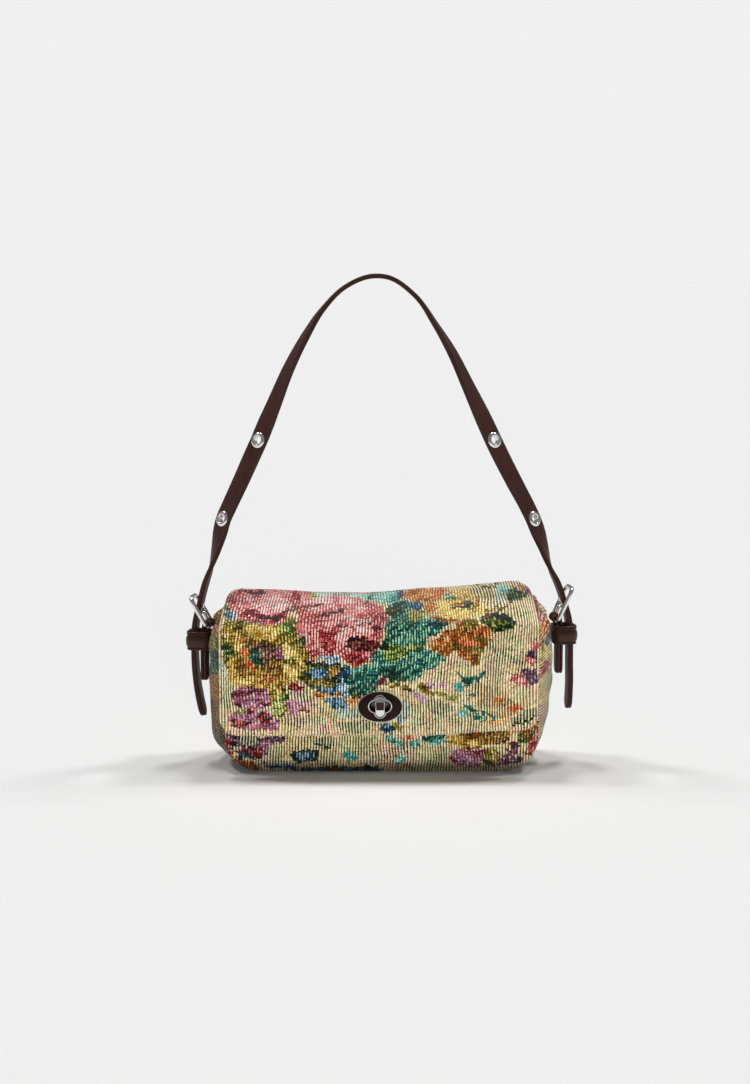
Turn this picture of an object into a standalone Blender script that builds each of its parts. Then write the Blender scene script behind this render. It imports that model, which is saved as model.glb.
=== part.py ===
"""Mini shoulder bag: tapestry body with a front flap, oval turn lock, and a
leather strap buckled to a tab on each side.

Metres, +Z up, the front faces -Y, the base stands on z = 0. Lengths below are
in millimetres and are turned into metres by M. The bag is drawn about the
plane of its strap (y = 0) and a parent empty centres the finished object.
"""
import bpy
import bmesh
import math
import numpy as np

M = 0.001

# ---------------------------------------------------------------- dimensions
SHIFT_X, SHIFT_Y = -0.5, 5.85         # centres the finished object on its box

HALF_W = 97.0                        # panel half width at the seams
CORNER_R = 22.0                      # lower corners of the panels
SEAM_Y = 30.0                        # gusset half depth
CLOTH = 1.9                          # tapestry thickness
GAP = 0.35                           # between neighbouring layers
SIDE_DENT = 5.6                      # how deep the tabs press into the gusset
# how far the gusset stands past the seams at mid depth, by height; the bag
# sits a little fuller at its left lower corner
SWELL_L = [(0, 0.0), (5, 2.7), (10, 7.2), (15, 9.4), (20, 9.8), (26, 9.8),
           (40, 10.6), (52, 11.3), (64, 12.2), (76, 12.4), (84, 11.4), (100, 10.6)]
SWELL_R = [(0, 0.0), (5, 0.7), (10, 2.3), (15, 4.0), (20, 5.4), (26, 7.0),
           (34, 8.8), (44, 10.2), (54, 11.2), (64, 12.2), (76, 12.4), (84, 11.4),
           (100, 10.6)]
RISE_L, RISE_R = 3.6, 7.4            # its rim stands higher in the middle
RIM_L, RIM_R = -1.0, 1.4             # and the rim lies this far out
LEAN = 10.0                          # the gusset's top turns in over this height
FRONT_TOP, BACK_TOP = 91.0, 102.0    # body height at the front and the back
BULGE_FRONT, BULGE_BACK = 3.0, 2.2   # panels swell by this

# flap: outer surface in section (y, z), from the back seam to the lip
FLAP_HALF_W = 97.0
FLAP_REAR_HALF_W = 94.5              # the flap is narrower at the back seam
FLAP_TOP = [(33.0, 106.2), (26.0, 109.4), (14.0, 111.2), (0.0, 110.6),
            (-14.0, 107.6), (-27.0, 102.4), (-35.0, 98.0), (-39.4, 94.8)]
FLAP_FRONT = [(-39.4, 94.8), (-40.9, 86.0), (-41.5, 74.0), (-41.7, 60.0),
              (-41.7, 45.0), (-41.6, 33.0), (-41.2, 25.0)]
FLAP_CORNER_R = 12.0
FLAP_OUTER_T, FLAP_LINING_T = 1.8, 1.0
HINGE_GAP = 0.45                     # each flap piece stops this short of a fold

# turn lock, drawn about an axis along y
LOCK_X, LOCK_Z = -0.6, 44.1
PLATE_A, PLATE_B = 14.0, 9.9         # half axes of the oval face
PLATE_T = 1.4
PLATE_DROP = 0.5                     # the oval sits this far under the axis
LOBE_X, LOBE_UP, LOBE_DOWN = 6.6, 6.4, 7.1   # slot reach from the axis
SLOT_HX, SLOT_HV = 2.9, 3.2          # half breadth of the slot's two arms
KNOB_H, KNOB_W, KNOB_T = 11.8, 5.6, 1.9
SHAFT_R = 1.9

# strap
STRAP_W = 12.0
PLY_T, PLY_GAP = 1.25, 0.3
STRAP_FOLD_Z = 128.0                 # the strap bends about this height
ARCH_END_R = 6.0
END_CLEAR = 7.0                      # strap ends stop this far under the fold
LEFT_LEG = [(-4.3, 305.4, 0.0), (-21.6, 299.0, 0.0), (-35.8, 285.2, 5.0),
            (-47.5, 267.1, 18.0), (-56.6, 249.9, 28.0), (-66.8, 225.7, 44.0),
            (-72.6, 211.8, 56.0), (-76.0, 203.7, 57.0), (-79.6, 195.8, 57.0),
            (-88.2, 176.9, 52.0), (-95.2, 162.0, 47.0), (-98.6, 154.4, 46.0),
            (-100.6, 147.0, 44.0), (-102.9, 137.5, 32.0), (-106.0, 126.2, 15.0)]
RIGHT_LEG = [(3.1, 304.9, 0.0), (20.9, 293.5, 0.0), (33.9, 275.3, 8.0),
             (44.0, 258.6, 20.0), (54.2, 237.6, 34.0), (66.2, 212.2, 55.0),
             (70.0, 204.0, 57.0), (73.8, 196.2, 57.0), (83.2, 178.0, 52.0),
             (92.0, 161.6, 47.0), (95.3, 154.7, 46.0), (98.2, 147.5, 44.0),
             (101.6, 138.0, 32.0), (105.4, 126.2, 15.0)]
EYELET_L = [(-76.0, 203.7), (-98.6, 154.4)]
EYELET_R = [(70.0, 204.0), (95.3, 154.7)]
EYELET_HOLE_R, EYELET_TUBE_R, EYELET_R_OUT = 2.5, 2.95, 4.9
LEATHER_HOLE_R = 3.3

# side assemblies: x outward from the middle, z up, in the plane of the strap
SIDE = {
    "left": dict(
        sign=-1, yaw=8.0, bar=(108.5, 87.9), top=(118.4, 105.1),
        end=[(106.0, 126.2), (107.4, 121.6), (109.9, 114.6), (112.2, 106.5),
             (114.0, 99.1), (116.0, 91.9), (117.1, 84.5), (117.4, 76.0),
             (117.3, 63.4), (116.6, 53.6), (115.3, 43.9), (113.7, 35.7),
             (112.1, 29.0)],
        tab_bottom=(111.2, 52.3), keeper=(71.9, 82.9), keeper_x=114.3),
    "right": dict(
        sign=1, yaw=8.0, bar=(110.0, 91.6), top=(119.1, 111.0),
        end=[(105.4, 126.2), (107.3, 121.4), (110.4, 115.2), (113.0, 108.6),
             (115.2, 101.6), (117.4, 94.6), (118.6, 87.6), (119.0, 79.4),
             (119.2, 63.3), (119.4, 50.4), (119.1, 41.0), (118.7, 33.5)],
        tab_bottom=(112.2, 56.8), keeper=(75.6, 86.6), keeper_x=115.3),
}
WIRE_R = 1.4
FRAME_IN_W = 13.6                    # between the frame's long sides
FRAME_TOP_R, FRAME_BOTTOM_R = 4.4, 1.7   # centre-line corner radii
TAB_W, TAB_PLY = 12.0, 1.9
TAB_JOIN = 5.0                       # the plies meet this far under the bar
KEEPER_WALL, KEEPER_IN_Y, KEEPER_IN_X = 1.9, 12.8, 11.4
PRONG_R = 0.9

BROWN = (0.045, 0.020, 0.018)
CLOTH_RGB = (0.47, 0.39, 0.24)

# ------------------------------------------------------------------- helpers
for ob in list(bpy.data.objects):
    bpy.data.objects.remove(ob, do_unlink=True)


def material(name, rgb, rough=0.6, metal=0.0):
    mat = bpy.data.materials.new(name)
    mat.use_nodes = True
    bsdf = mat.node_tree.nodes.get("Principled BSDF")
    bsdf.inputs["Base Color"].default_value = (*rgb, 1.0)
    bsdf.inputs["Roughness"].default_value = rough
    bsdf.inputs["Metallic"].default_value = metal
    mat.diffuse_color = (*rgb, 1.0)
    return mat


root = bpy.data.objects.new("bag_origin", None)
bpy.context.scene.collection.objects.link(root)
root.location = (SHIFT_X * M, SHIFT_Y * M, 0.0)


def empty(name, at, parent=root):
    """An empty at a point given in the bag's own millimetres."""
    e = bpy.data.objects.new(name, None)
    bpy.context.scene.collection.objects.link(e)
    e.parent = parent
    base = np.array(e.parent.get("at", (0.0, 0.0, 0.0)))
    e.location = tuple((np.array(at) - base) * M)
    e["at"] = tuple(float(v) for v in at)
    return e


def make(name, verts, faces, mat, parent=root, sharp=40.0):
    """A mesh object from points in the bag's millimetres; its origin is its
    parent's, so a moving piece turns about its joint's axis."""
    base = np.array(parent.get("at", (0.0, 0.0, 0.0)))
    mesh = bpy.data.meshes.new(name)
    pts = [tuple((np.array(v) - base) * M) for v in verts]
    mesh.from_pydata(pts, [], [tuple(int(i) for i in f) for f in faces])
    bm = bmesh.new()
    bm.from_mesh(mesh)
    bmesh.ops.recalc_face_normals(bm, faces=bm.faces)
    bm.to_mesh(mesh)
    bm.free()
    mesh.materials.append(mat)
    if sharp:
        mesh.shade_smooth()
        mesh.set_sharp_from_angle(angle=math.radians(sharp))
    ob = bpy.data.objects.new(name, mesh)
    bpy.context.scene.collection.objects.link(ob)
    ob.parent = parent
    return ob


def grid_solid(outer, inner):
    """Verts and faces of the closed slab between two grids of points."""
    outer, inner = np.asarray(outer), np.asarray(inner)
    n, m, _ = outer.shape
    verts = list(outer.reshape(-1, 3)) + list(inner.reshape(-1, 3))
    o = lambda i, j: i * m + j
    q = lambda i, j: n * m + i * m + j
    faces = []
    for i in range(n - 1):
        for j in range(m - 1):
            faces.append((o(i, j), o(i + 1, j), o(i + 1, j + 1), o(i, j + 1)))
            faces.append((q(i, j), q(i, j + 1), q(i + 1, j + 1), q(i + 1, j)))
    for i in range(n - 1):
        faces.append((o(i, 0), q(i, 0), q(i + 1, 0), o(i + 1, 0)))
        faces.append((o(i, m - 1), o(i + 1, m - 1), q(i + 1, m - 1), q(i, m - 1)))
    for j in range(m - 1):
        faces.append((o(0, j), o(0, j + 1), q(0, j + 1), q(0, j)))
        faces.append((o(n - 1, j), q(n - 1, j), q(n - 1, j + 1), o(n - 1, j + 1)))
    return verts, faces


def loop_stack(loops, closed=False, caps=True):
    """Verts and faces of a body made of rings of equal count. closed joins
    the last ring to the first, as in a torus."""
    loops = [np.asarray(l) for l in loops]
    k = len(loops[0])
    verts = [p for l in loops for p in l]
    faces = []
    n = len(loops)
    for i in range(n if closed else n - 1):
        a, b = i * k, ((i + 1) % n) * k
        for j in range(k):
            j2 = (j + 1) % k
            faces.append((a + j, a + j2, b + j2, b + j))
    if caps and not closed:
        faces.append(tuple(range(k - 1, -1, -1)))
        faces.append(tuple((n - 1) * k + j for j in range(k)))
    return verts, faces


def smooth_path(points, n):
    """n points at equal spacing on a smooth curve through the given ones; any
    further columns, such as a twist angle, are carried along."""
    p = np.asarray(points, float)
    t = np.concatenate([[0.0], np.cumsum(
        np.maximum(np.linalg.norm(np.diff(p[:, :2], axis=0), axis=1), 1e-6))])
    slope = np.zeros_like(p)
    for i in range(len(p)):
        if i == 0:
            slope[i] = (p[1] - p[0]) / (t[1] - t[0])
        elif i == len(p) - 1:
            slope[i] = (p[-1] - p[-2]) / (t[-1] - t[-2])
        else:
            a = (p[i] - p[i - 1]) / (t[i] - t[i - 1])
            b = (p[i + 1] - p[i]) / (t[i + 1] - t[i])
            h0, h1 = t[i] - t[i - 1], t[i + 1] - t[i]
            slope[i] = (a * h1 + b * h0) / (h0 + h1)

    def at(u):
        i = int(min(max(np.searchsorted(t, u) - 1, 0), len(p) - 2))
        h = t[i + 1] - t[i]
        s = (u - t[i]) / h
        h00, h10 = 2 * s**3 - 3 * s**2 + 1, s**3 - 2 * s**2 + s
        h01, h11 = -2 * s**3 + 3 * s**2, s**3 - s**2
        return h00 * p[i] + h10 * h * slope[i] + h01 * p[i + 1] + h11 * h * slope[i + 1]

    fine = np.array([at(u) for u in np.linspace(0, t[-1], 600)])
    d = np.concatenate([[0.0], np.cumsum(
        np.linalg.norm(np.diff(fine[:, :2], axis=0), axis=1))])
    want = np.linspace(0, d[-1], n)
    return np.stack([np.interp(want, d, fine[:, c]) for c in range(p.shape[1])], 1)


def unit(v):
    v = np.asarray(v, float)
    return v / np.linalg.norm(v)


def cutter(name, verts, faces):
    ob = make(name, verts, faces, CUT, root, sharp=0)
    ob.hide_render = True
    ob.display_type = "WIRE"
    return ob


def cut(ob, *tools, op="DIFFERENCE"):
    for tool in tools:
        mod = ob.modifiers.new("cut_" + tool.name, "BOOLEAN")
        mod.operation = op
        mod.object = tool
        mod.solver = "EXACT"


def prism(profile, centre, u, v, w, lo, hi):
    """An extruded outline: points (a, b) along u and v, from lo to hi on w."""
    c, u, v, w = (np.asarray(k, float) for k in (centre, u, v, w))
    rings = [[c + a * u + b * v + h * w for a, b in profile] for h in (lo, hi)]
    return loop_stack(rings)


def lathe(profile, centre, u, v, w, n=18):
    """A ring: (radius, height) points of a closed profile round w."""
    c, u, v, w = (np.asarray(k, float) for k in (centre, u, v, w))
    rings = []
    for i in range(n):
        a = 2 * math.pi * i / n
        d = math.cos(a) * u + math.sin(a) * v
        rings.append([c + r * d + h * w for r, h in profile])
    return loop_stack(rings, closed=True)


def circle(r, n=20, x=0.0, y=0.0):
    return [(x + r * math.cos(2 * math.pi * i / n),
             y + r * math.sin(2 * math.pi * i / n)) for i in range(n)]


def oval(a, b, n=32):
    return [(a * math.cos(2 * math.pi * i / n),
             b * math.sin(2 * math.pi * i / n)) for i in range(n)]


X, Y, Z = np.eye(3)
CUT = material("cutter", (0.8, 0.1, 0.1))

# ---------------------------------------------------------------------- body


def half_width(z, inset=0.0):
    """Half width of the panel outline at a height, with round lower corners."""
    z = max(z, inset)
    r = CORNER_R - inset
    if z >= CORNER_R:
        return HALF_W - inset
    return HALF_W - CORNER_R + math.sqrt(max(r * r - (CORNER_R - z) ** 2, 0.0))


def bottom_z(x, inset=0.0):
    r, ax = CORNER_R - inset, abs(x) - (HALF_W - CORNER_R)
    if ax <= 0:
        return inset
    return CORNER_R - math.sqrt(max(r * r - ax * ax, 0.0))


def columns(half, corner, n_flat, n_corner):
    """x positions, closer together over the rounded corners."""
    flat = np.linspace(-(half - corner), half - corner, n_flat)
    arc = [half - corner + corner * math.sin(math.pi / 2 * k / n_corner)
           for k in range(1, n_corner + 1)]
    return np.array([-a for a in reversed(arc)] + list(flat) + arc)


def panel_y(x, z, base, amount, top):
    """Outer surface of a panel: flat at its border, swelling in the middle."""
    fx = max(0.0, 1 - (abs(x) / HALF_W) ** 3.0)
    zz = min(max(z / top, 0.0), 1.0)
    fz = math.sin(math.pi * min(max(zz, 0.0), 1.0)) ** 0.7
    return base + amount * fx * fz


def panel(name, side, top, amount, mat, base, thick, inset, nx, nc, nz,
          parent=root):
    """A tapestry panel or its interlining. side is -1 at the front."""
    xs = columns(HALF_W - inset, CORNER_R - inset, nx, nc)
    outer, inner = [], []
    for x in xs:
        zb = bottom_z(x, inset)
        zt = top
        ro, ri = [], []
        for k in range(nz + 1):
            z = zb + (zt - zb) * k / nz
            y = panel_y(x, z, base, amount, top)
            ro.append((x, side * y, z))
            ri.append((x, side * (y - thick), z))
        outer.append(ro)
        inner.append(ri)
    v, f = grid_solid(outer, inner)
    return make(name, v, f, mat, parent)


PANEL_BASE = SEAM_Y + GAP + CLOTH
cloth_f = material("front_cloth", CLOTH_RGB, 0.85)
cloth_b = material("back_cloth", CLOTH_RGB, 0.85)
cloth_g = material("gusset_cloth", CLOTH_RGB, 0.85)
foam_f = material("front_foam", (0.75, 0.74, 0.70), 0.9)
foam_b = material("back_foam", (0.75, 0.74, 0.70), 0.9)

front = panel("front_panel", -1, FRONT_TOP, BULGE_FRONT, cloth_f,
              PANEL_BASE, CLOTH, 0.0, 7, 5, 6)
back = panel("back_panel", 1, BACK_TOP, BULGE_BACK, cloth_b,
             PANEL_BASE, CLOTH, 0.0, 7, 5, 6)
FOAM_BASE = SEAM_Y                    # outer face of the interlining
FOAM_T = 0.9
FOAM_INSET = CLOTH + 0.6
foam1 = panel("front_interlining", -1, FRONT_TOP - 2.0, BULGE_FRONT * 0.9,
              foam_f, FOAM_BASE, FOAM_T, FOAM_INSET, 7, 3, 5)
foam2 = panel("back_interlining", 1, BACK_TOP - 2.0, BULGE_BACK * 0.9,
              foam_b, FOAM_BASE, FOAM_T, FOAM_INSET, 5, 3, 4)


def side_swell(z, table):
    """How far the gusset stands past the seams at mid depth."""
    zs, bs = [a for a, _ in table], [b for _, b in table]
    return float(np.mean([np.interp(z + d, zs, bs) for d in (-2.0, 0.0, 2.0)]))


def side_dent(y, z):
    """The tab and the keeper press the gusset in."""
    u = min(max((z - 55.0) / 14.0, 0.0), 1.0)
    return SIDE_DENT * math.exp(-(y / 9.5) ** 4) * u * u * (3 - 2 * u)


def side_offset(y, z, table, bow, rise, rim):
    """The swell less the dent, turning in towards the rim."""
    u = min(max((z - gusset_top(y, rise)) / LEAN + 1.0, 0.0), 1.0)
    lean = u * u * (3 - 2 * u)
    return (side_swell(z, table) * bow - side_dent(y, z)) * (1 - lean) + rim * lean * bow


def gusset_top(y, rise):
    t = (y + SEAM_Y) / (2 * SEAM_Y)
    return FRONT_TOP - 1.0 + (BACK_TOP - FRONT_TOP) * t \
        + rise * max(math.cos(math.pi / 2 * y / SEAM_Y), 0.0)


ys = np.array([-1.0, -0.8, -0.5, -0.17, 0.17, 0.5, 0.8, 1.0]) * SEAM_Y
stations = [("side", val) for val in (0.0, 0.07, 0.15, 0.25, 0.4, 0.55, 0.7, 0.85)]
stations += [("corner", math.pi / 2 * k / 5) for k in range(6)]
stations.append(("flat", 0.0))


def half_strip(table, rise, rim):
    """One side of the strip from its rim down to the middle of the base."""
    half = []
    for kind, val in stations:
        ro, ri = [], []
        for y in ys:
            bow = math.cos(math.pi / 2 * y / SEAM_Y) ** 0.75 if abs(y) < SEAM_Y else 0.0
            if kind == "side":
                z0 = gusset_top(y, rise)
                z = z0 + (CORNER_R - z0) * val
                px, pz, nx, nz = -HALF_W, z, -1.0, 0.0
            elif kind == "corner":
                px = -(HALF_W - CORNER_R) - CORNER_R * math.cos(val)
                pz = CORNER_R - CORNER_R * math.sin(val)
                nx, nz = -math.cos(val), -math.sin(val)
            else:
                px, pz, nx, nz = 0.0, 0.0, 0.0, -1.0
            b = 0.0 if kind == "flat" else side_offset(y, pz, table, bow, rise, rim)
            sx = b if nx else 0.0
            ro.append((px - sx, y, pz))
            ri.append((px - sx - nx * CLOTH, y, pz - nz * CLOTH))
        half.append((ro, ri))
    return half


right = []
for ro, ri in reversed(half_strip(SWELL_R, RISE_R, RIM_R)[:-1]):
    right.append(([(-x, y, z) for x, y, z in ro], [(-x, y, z) for x, y, z in ri]))
allst = half_strip(SWELL_L, RISE_L, RIM_L) + right
v, f = grid_solid([a for a, _ in allst], [b for _, b in allst])
gusset = make("gusset", v, f, cloth_g)

board_mat = material("base_board_mat", (0.20, 0.15, 0.10), 0.8)
v, f = prism([(-72, -24), (72, -24), (72, 24), (-72, 24)],
             (0, 0, 0), X, Y, Z, CLOTH + 0.5, CLOTH + 1.9)
base_board = make("base_board", v, f, board_mat, sharp=20)

lining_mat = material("lining_mat", (0.10, 0.07, 0.06), 0.8)
LINING_T = 0.8
LINING_Y = FOAM_BASE - FOAM_T - 0.35


def lining_loop(z, off, n=28):
    hx = half_width(z, 3.2) - 0.4 - off + float(np.interp(
        z, [0, 9, 16, 28, 52, 69, 88], [0, 1.3, 3.0, 5.3, 7.7, 7.6, 1.7]))
    hy = LINING_Y - off
    pts = []
    for i in range(n):
        a = 2 * math.pi * (i + 0.5) / n
        c, s = math.cos(a), math.sin(a)
        pts.append((hx * math.copysign(abs(c) ** 0.22, c),
                    hy * math.copysign(abs(s) ** 0.22, s), z))
    return pts


LIN_Z0 = CLOTH + 2.4
heights = [LIN_Z0, 9.0, 16.0, 28.0, 52.0, 69.0, FRONT_TOP - 3.0]
outer_l = [lining_loop(z, 0.0) for z in heights]
inner_l = [lining_loop(z, LINING_T) for z in reversed(heights)]
inner_l[-1] = [(x, y, LIN_Z0 + LINING_T) for x, y, z in
               lining_loop(LIN_Z0 + LINING_T, LINING_T)]
v, f = loop_stack(outer_l + inner_l)
lining = make("lining", v, f, lining_mat)

# the band that finishes the mouth, inside the top edge of the lining
facing_mat = material("mouth_facing_mat", BROWN, 0.6)
zf0, zf1 = FRONT_TOP - 14.0, FRONT_TOP - 2.5
rings = [lining_loop(zf0, LINING_T + 0.4), lining_loop(zf1, LINING_T + 0.4),
         lining_loop(zf1, LINING_T + 1.3), lining_loop(zf0, LINING_T + 1.3)]
v, f = loop_stack(rings, closed=True)
facing = make("mouth_facing", v, f, facing_mat)

# ---------------------------------------------------------------------- flap
rear_axis = empty("flap_rear_axis", (0.0, *FLAP_TOP[0]))
front_axis = empty("flap_front_axis", (0.0, *FLAP_FRONT[0]), rear_axis)


def section_frames(points, n):
    p = smooth_path(points, n)
    t = np.gradient(p, axis=0)
    t = t / np.linalg.norm(t, axis=1)[:, None]
    normal = np.stack([-t[:, 1], t[:, 0]], 1)        # left of the direction
    return p, t, normal


p_top, t_top, n_top = section_frames(FLAP_TOP, 9)
p_frt, t_frt, n_frt = section_frames(FLAP_FRONT, 10)
# walking from the back over the top to the front, outside is on the right
n_top, n_frt = -n_top, -n_frt
if n_top[4][1] < 0:
    n_top = -n_top
if n_frt[4][0] > 0:
    n_frt = -n_frt
mitre = unit(n_top[-1] + n_frt[0])
mitre_len = 1.0 / max(0.5, float(mitre @ n_frt[0]))


def flap_sheet(name, p, t, nrm, depth0, depth1, mat, parent, start_gap,
               end_gap, mitre_at=None, corner=False, inset=0.0):
    """A flap layer between two depths below the outer surface."""
    xs = (columns(FLAP_HALF_W - inset, FLAP_CORNER_R - inset, 7, 4) if corner
          else np.linspace(-(FLAP_HALF_W - inset), FLAP_HALF_W - inset, 7))
    outer, inner = [], []
    for x in xs:
        ro, ri = [], []
        cut_up = 0.0
        if corner:
            ax = abs(x) - (FLAP_HALF_W - FLAP_CORNER_R)
            r = FLAP_CORNER_R - inset
            if ax > 0:
                cut_up = r - math.sqrt(max(r * r - ax * ax, 0.0))
            cut_up += inset
        total = float(np.sum(np.linalg.norm(np.diff(p, axis=0), axis=1)))
        s = np.concatenate([[0], np.cumsum(np.linalg.norm(np.diff(p, axis=0), axis=1))])
        s0, s1 = start_gap, total - end_gap - cut_up
        for k in range(len(p)):
            u = s0 + (s1 - s0) * k / (len(p) - 1)
            q = np.array([np.interp(u, s, p[:, 0]), np.interp(u, s, p[:, 1])])
            nn = unit([np.interp(u, s, nrm[:, 0]), np.interp(u, s, nrm[:, 1])])
            scale = 1.0
            if mitre_at == "end" and k == len(p) - 1 or \
               mitre_at == "start" and k == 0:
                nn, scale = mitre, mitre_len
            a, b = q - nn * depth0 * scale, q - nn * depth1 * scale
            taper = 1.0 if corner else (FLAP_REAR_HALF_W + (
                FLAP_HALF_W - FLAP_REAR_HALF_W) * (u / total) ** 2) / FLAP_HALF_W
            ro.append((x * taper, a[0], a[1]))
            ri.append((x * taper, b[0], b[1]))
        outer.append(ro)
        inner.append(ri)
    v, f = grid_solid(outer, inner)
    return make(name, v, f, mat, parent)


cloth_t = material("flap_top_cloth", CLOTH_RGB, 0.85)
cloth_v = material("flap_front_cloth", CLOTH_RGB, 0.85)
lin_t = material("flap_top_lining_mat", (0.10, 0.07, 0.06), 0.8)
lin_v = material("flap_front_lining_mat", (0.10, 0.07, 0.06), 0.8)
D1 = FLAP_OUTER_T
D2 = D1 + 0.3
D3 = D2 + FLAP_LINING_T
flap_top_outer = flap_sheet("flap_top_outer", p_top, t_top, n_top, 0.0, D1,
                            cloth_t, rear_axis, HINGE_GAP, HINGE_GAP, "end")
flap_top_lining = flap_sheet("flap_top_lining", p_top, t_top, n_top, D2, D3,
                             lin_t, rear_axis, 1.0, HINGE_GAP, "end", inset=1.5)
flap_front_outer = flap_sheet("flap_front_outer", p_frt, t_frt, n_frt, 0.0, D1,
                              cloth_v, front_axis, HINGE_GAP, 0.0, "start", True)
flap_front_lining = flap_sheet("flap_front_lining", p_frt, t_frt, n_frt, D2, D3,
                               lin_v, front_axis, HINGE_GAP, 0.6, "start", True, 1.5)

# ----------------------------------------------------------------- turn lock
silver = dict(rgb=(0.78, 0.77, 0.75), rough=0.22, metal=1.0)


def outline_slot(grow=0.0, n=10):
    """Four-lobed outline: a lying arm and a standing arm, joined."""
    a, b = SLOT_HX + grow, SLOT_HV + grow
    rx, up, dn = LOBE_X + grow, LOBE_UP + grow, LOBE_DOWN + grow
    pts = []

    def arc(cx, cz, r, a0, a1):
        for i in range(n // 2 + 1):
            t = math.radians(a0 + (a1 - a0) * i / (n // 2))
            pts.append((cx + r * math.cos(t), cz + r * math.sin(t)))
    arc(rx - a, 0.0, a, -58, 58)
    arc(0.0, up - b, b, 32, 148)
    arc(-(rx - a), 0.0, a, 122, 238)
    arc(0.0, -(dn - b), b, 212, 328)
    return pts


face_y = float(np.interp(LOCK_Z, p_frt[::-1, 1], p_frt[::-1, 0]))   # flap surface
lock_c = (LOCK_X, 0.0, LOCK_Z)
plate_c = (LOCK_X, 0.0, LOCK_Z - PLATE_DROP)
slot_hole = outline_slot(0.0)
PLATE_Y0 = -face_y + 0.3
plate_mat = material("lock_plate_mat", (0.030, 0.014, 0.012), 0.35)
v, f = prism(oval(PLATE_A - 0.9, PLATE_B - 0.9), plate_c, X, Z, -Y,
             PLATE_Y0, PLATE_Y0 + PLATE_T)
lock_plate = make("lock_plate", v, f, plate_mat, front_axis)
v, f = prism(outline_slot(0.85), lock_c, X, Z, -Y, PLATE_Y0 - 2, PLATE_Y0 + 6)
cut(lock_plate, cutter("cut_plate_slot", v, f))


def ring_from(outlines, centre, mat, name, parent):
    """A ring from four matching outlines with heights, in a closed section."""
    c = np.asarray(centre, float)
    loops = [[c + a * X + b * Z - h * Y for a, b in out] for out, h in outlines]
    v, f = loop_stack(loops, closed=True)
    return make(name, v, f, mat, parent)


bez_mat = material("lock_bezel_mat", **silver)
H0 = PLATE_Y0
lock_bezel = ring_from([
    (oval(PLATE_A, PLATE_B), H0), (oval(PLATE_A, PLATE_B), H0 + 1.0),
    (oval(PLATE_A - 0.25, PLATE_B - 0.25), H0 + 1.35),
    (oval(PLATE_A - 0.58, PLATE_B - 0.58), H0 + 1.35),
    (oval(PLATE_A - 0.58, PLATE_B - 0.58), H0)],
    plate_c, bez_mat, "lock_bezel", front_axis)
rim_mat = material("lock_eyelet_rim_mat", **silver)
lock_rim = ring_from([
    (outline_slot(0.55), H0 + 0.2), (outline_slot(0.55), H0 + 1.6),
    (outline_slot(0.42), H0 + 1.9), (outline_slot(0.14), H0 + 1.9),
    (outline_slot(0.0), H0 + 1.6), (outline_slot(0.0), H0 + 0.2)],
    lock_c, rim_mat, "lock_eyelet_rim", front_axis)

# cloth of the flap is cut out under the plate, wider than the slot
v, f = prism(outline_slot(1.2), (LOCK_X, 0.0, LOCK_Z - 0.4), X, Z, -Y,
             -face_y - 7, -face_y + 4)
hole_tool = cutter("cut_flap_slot", v, f)
cut(flap_front_outer, hole_tool)
cut(flap_front_lining, hole_tool)

# washer that the plate is clenched to, inside the flap
WASH_Y1 = -face_y - D3 - 0.45
wash_mat = material("lock_back_washer_mat", **silver)
lock_washer = ring_from([
    (oval(PLATE_A - 2.4, PLATE_B + 0.3), WASH_Y1 - 0.5),
    (oval(PLATE_A - 2.4, PLATE_B + 0.3), WASH_Y1),
    (oval(8.6, 9.1), WASH_Y1), (oval(8.6, 9.1), WASH_Y1 - 0.5)],
    plate_c, wash_mat, "lock_back_washer", front_axis)

# knob side, on the front panel
knob_axis = empty("knob_axis", (LOCK_X, face_y, LOCK_Z))
skin_y = panel_y(LOCK_X, LOCK_Z, PANEL_BASE, BULGE_FRONT, FRONT_TOP)
foam_in = panel_y(LOCK_X, LOCK_Z, FOAM_BASE, BULGE_FRONT * 0.9, FRONT_TOP - 2.0) - FOAM_T
v, f = prism(circle(4.2, 16), lock_c, X, Z, -Y, 20, 60)
post_hole = cutter("cut_post", v, f)
cut(front, post_hole)
cut(foam1, post_hole)
BASE_Y0 = skin_y + 0.25
kb_mat = material("knob_base_mat", **silver)
v, f = lathe([(SHAFT_R + 0.35, BASE_Y0 - 4.6), (SHAFT_R + 0.35, BASE_Y0 + 1.0),
              (6.2, BASE_Y0 + 1.0), (6.6, BASE_Y0 + 0.7), (6.6, BASE_Y0),
              (3.7, BASE_Y0), (3.7, BASE_Y0 - 4.6)], lock_c, X, Z, -Y, 20)
knob_base = make("knob_base", v, f, kb_mat)
W0 = foam_in - 0.4
kw_mat = material("knob_washer_mat", **silver)
v, f = lathe([(4.0, W0 - 0.5), (4.0, W0), (7.2, W0), (7.2, W0 - 0.5)],
             lock_c, X, Z, -Y, 20)
knob_washer = make("knob_washer", v, f, kw_mat)
ks_mat = material("knob_spring_mat", (0.35, 0.36, 0.38), 0.35, 1.0)
S1 = BASE_Y0 - 4.6 - 0.3
v, f = lathe([(SHAFT_R + 0.3, S1 - 0.35), (SHAFT_R + 0.3, S1),
              (4.4, S1), (4.4, S1 - 0.35)], lock_c, X, Z, -Y, 16)
knob_spring = make("knob_spring", v, f, ks_mat)


def pill(w, h, n=8):
    r = w / 2
    pts = [(r * math.cos(math.pi * i / n), h / 2 - r + r * math.sin(math.pi * i / n))
           for i in range(n + 1)]
    pts += [(-x, -z) for x, z in pts]
    return pts


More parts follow.
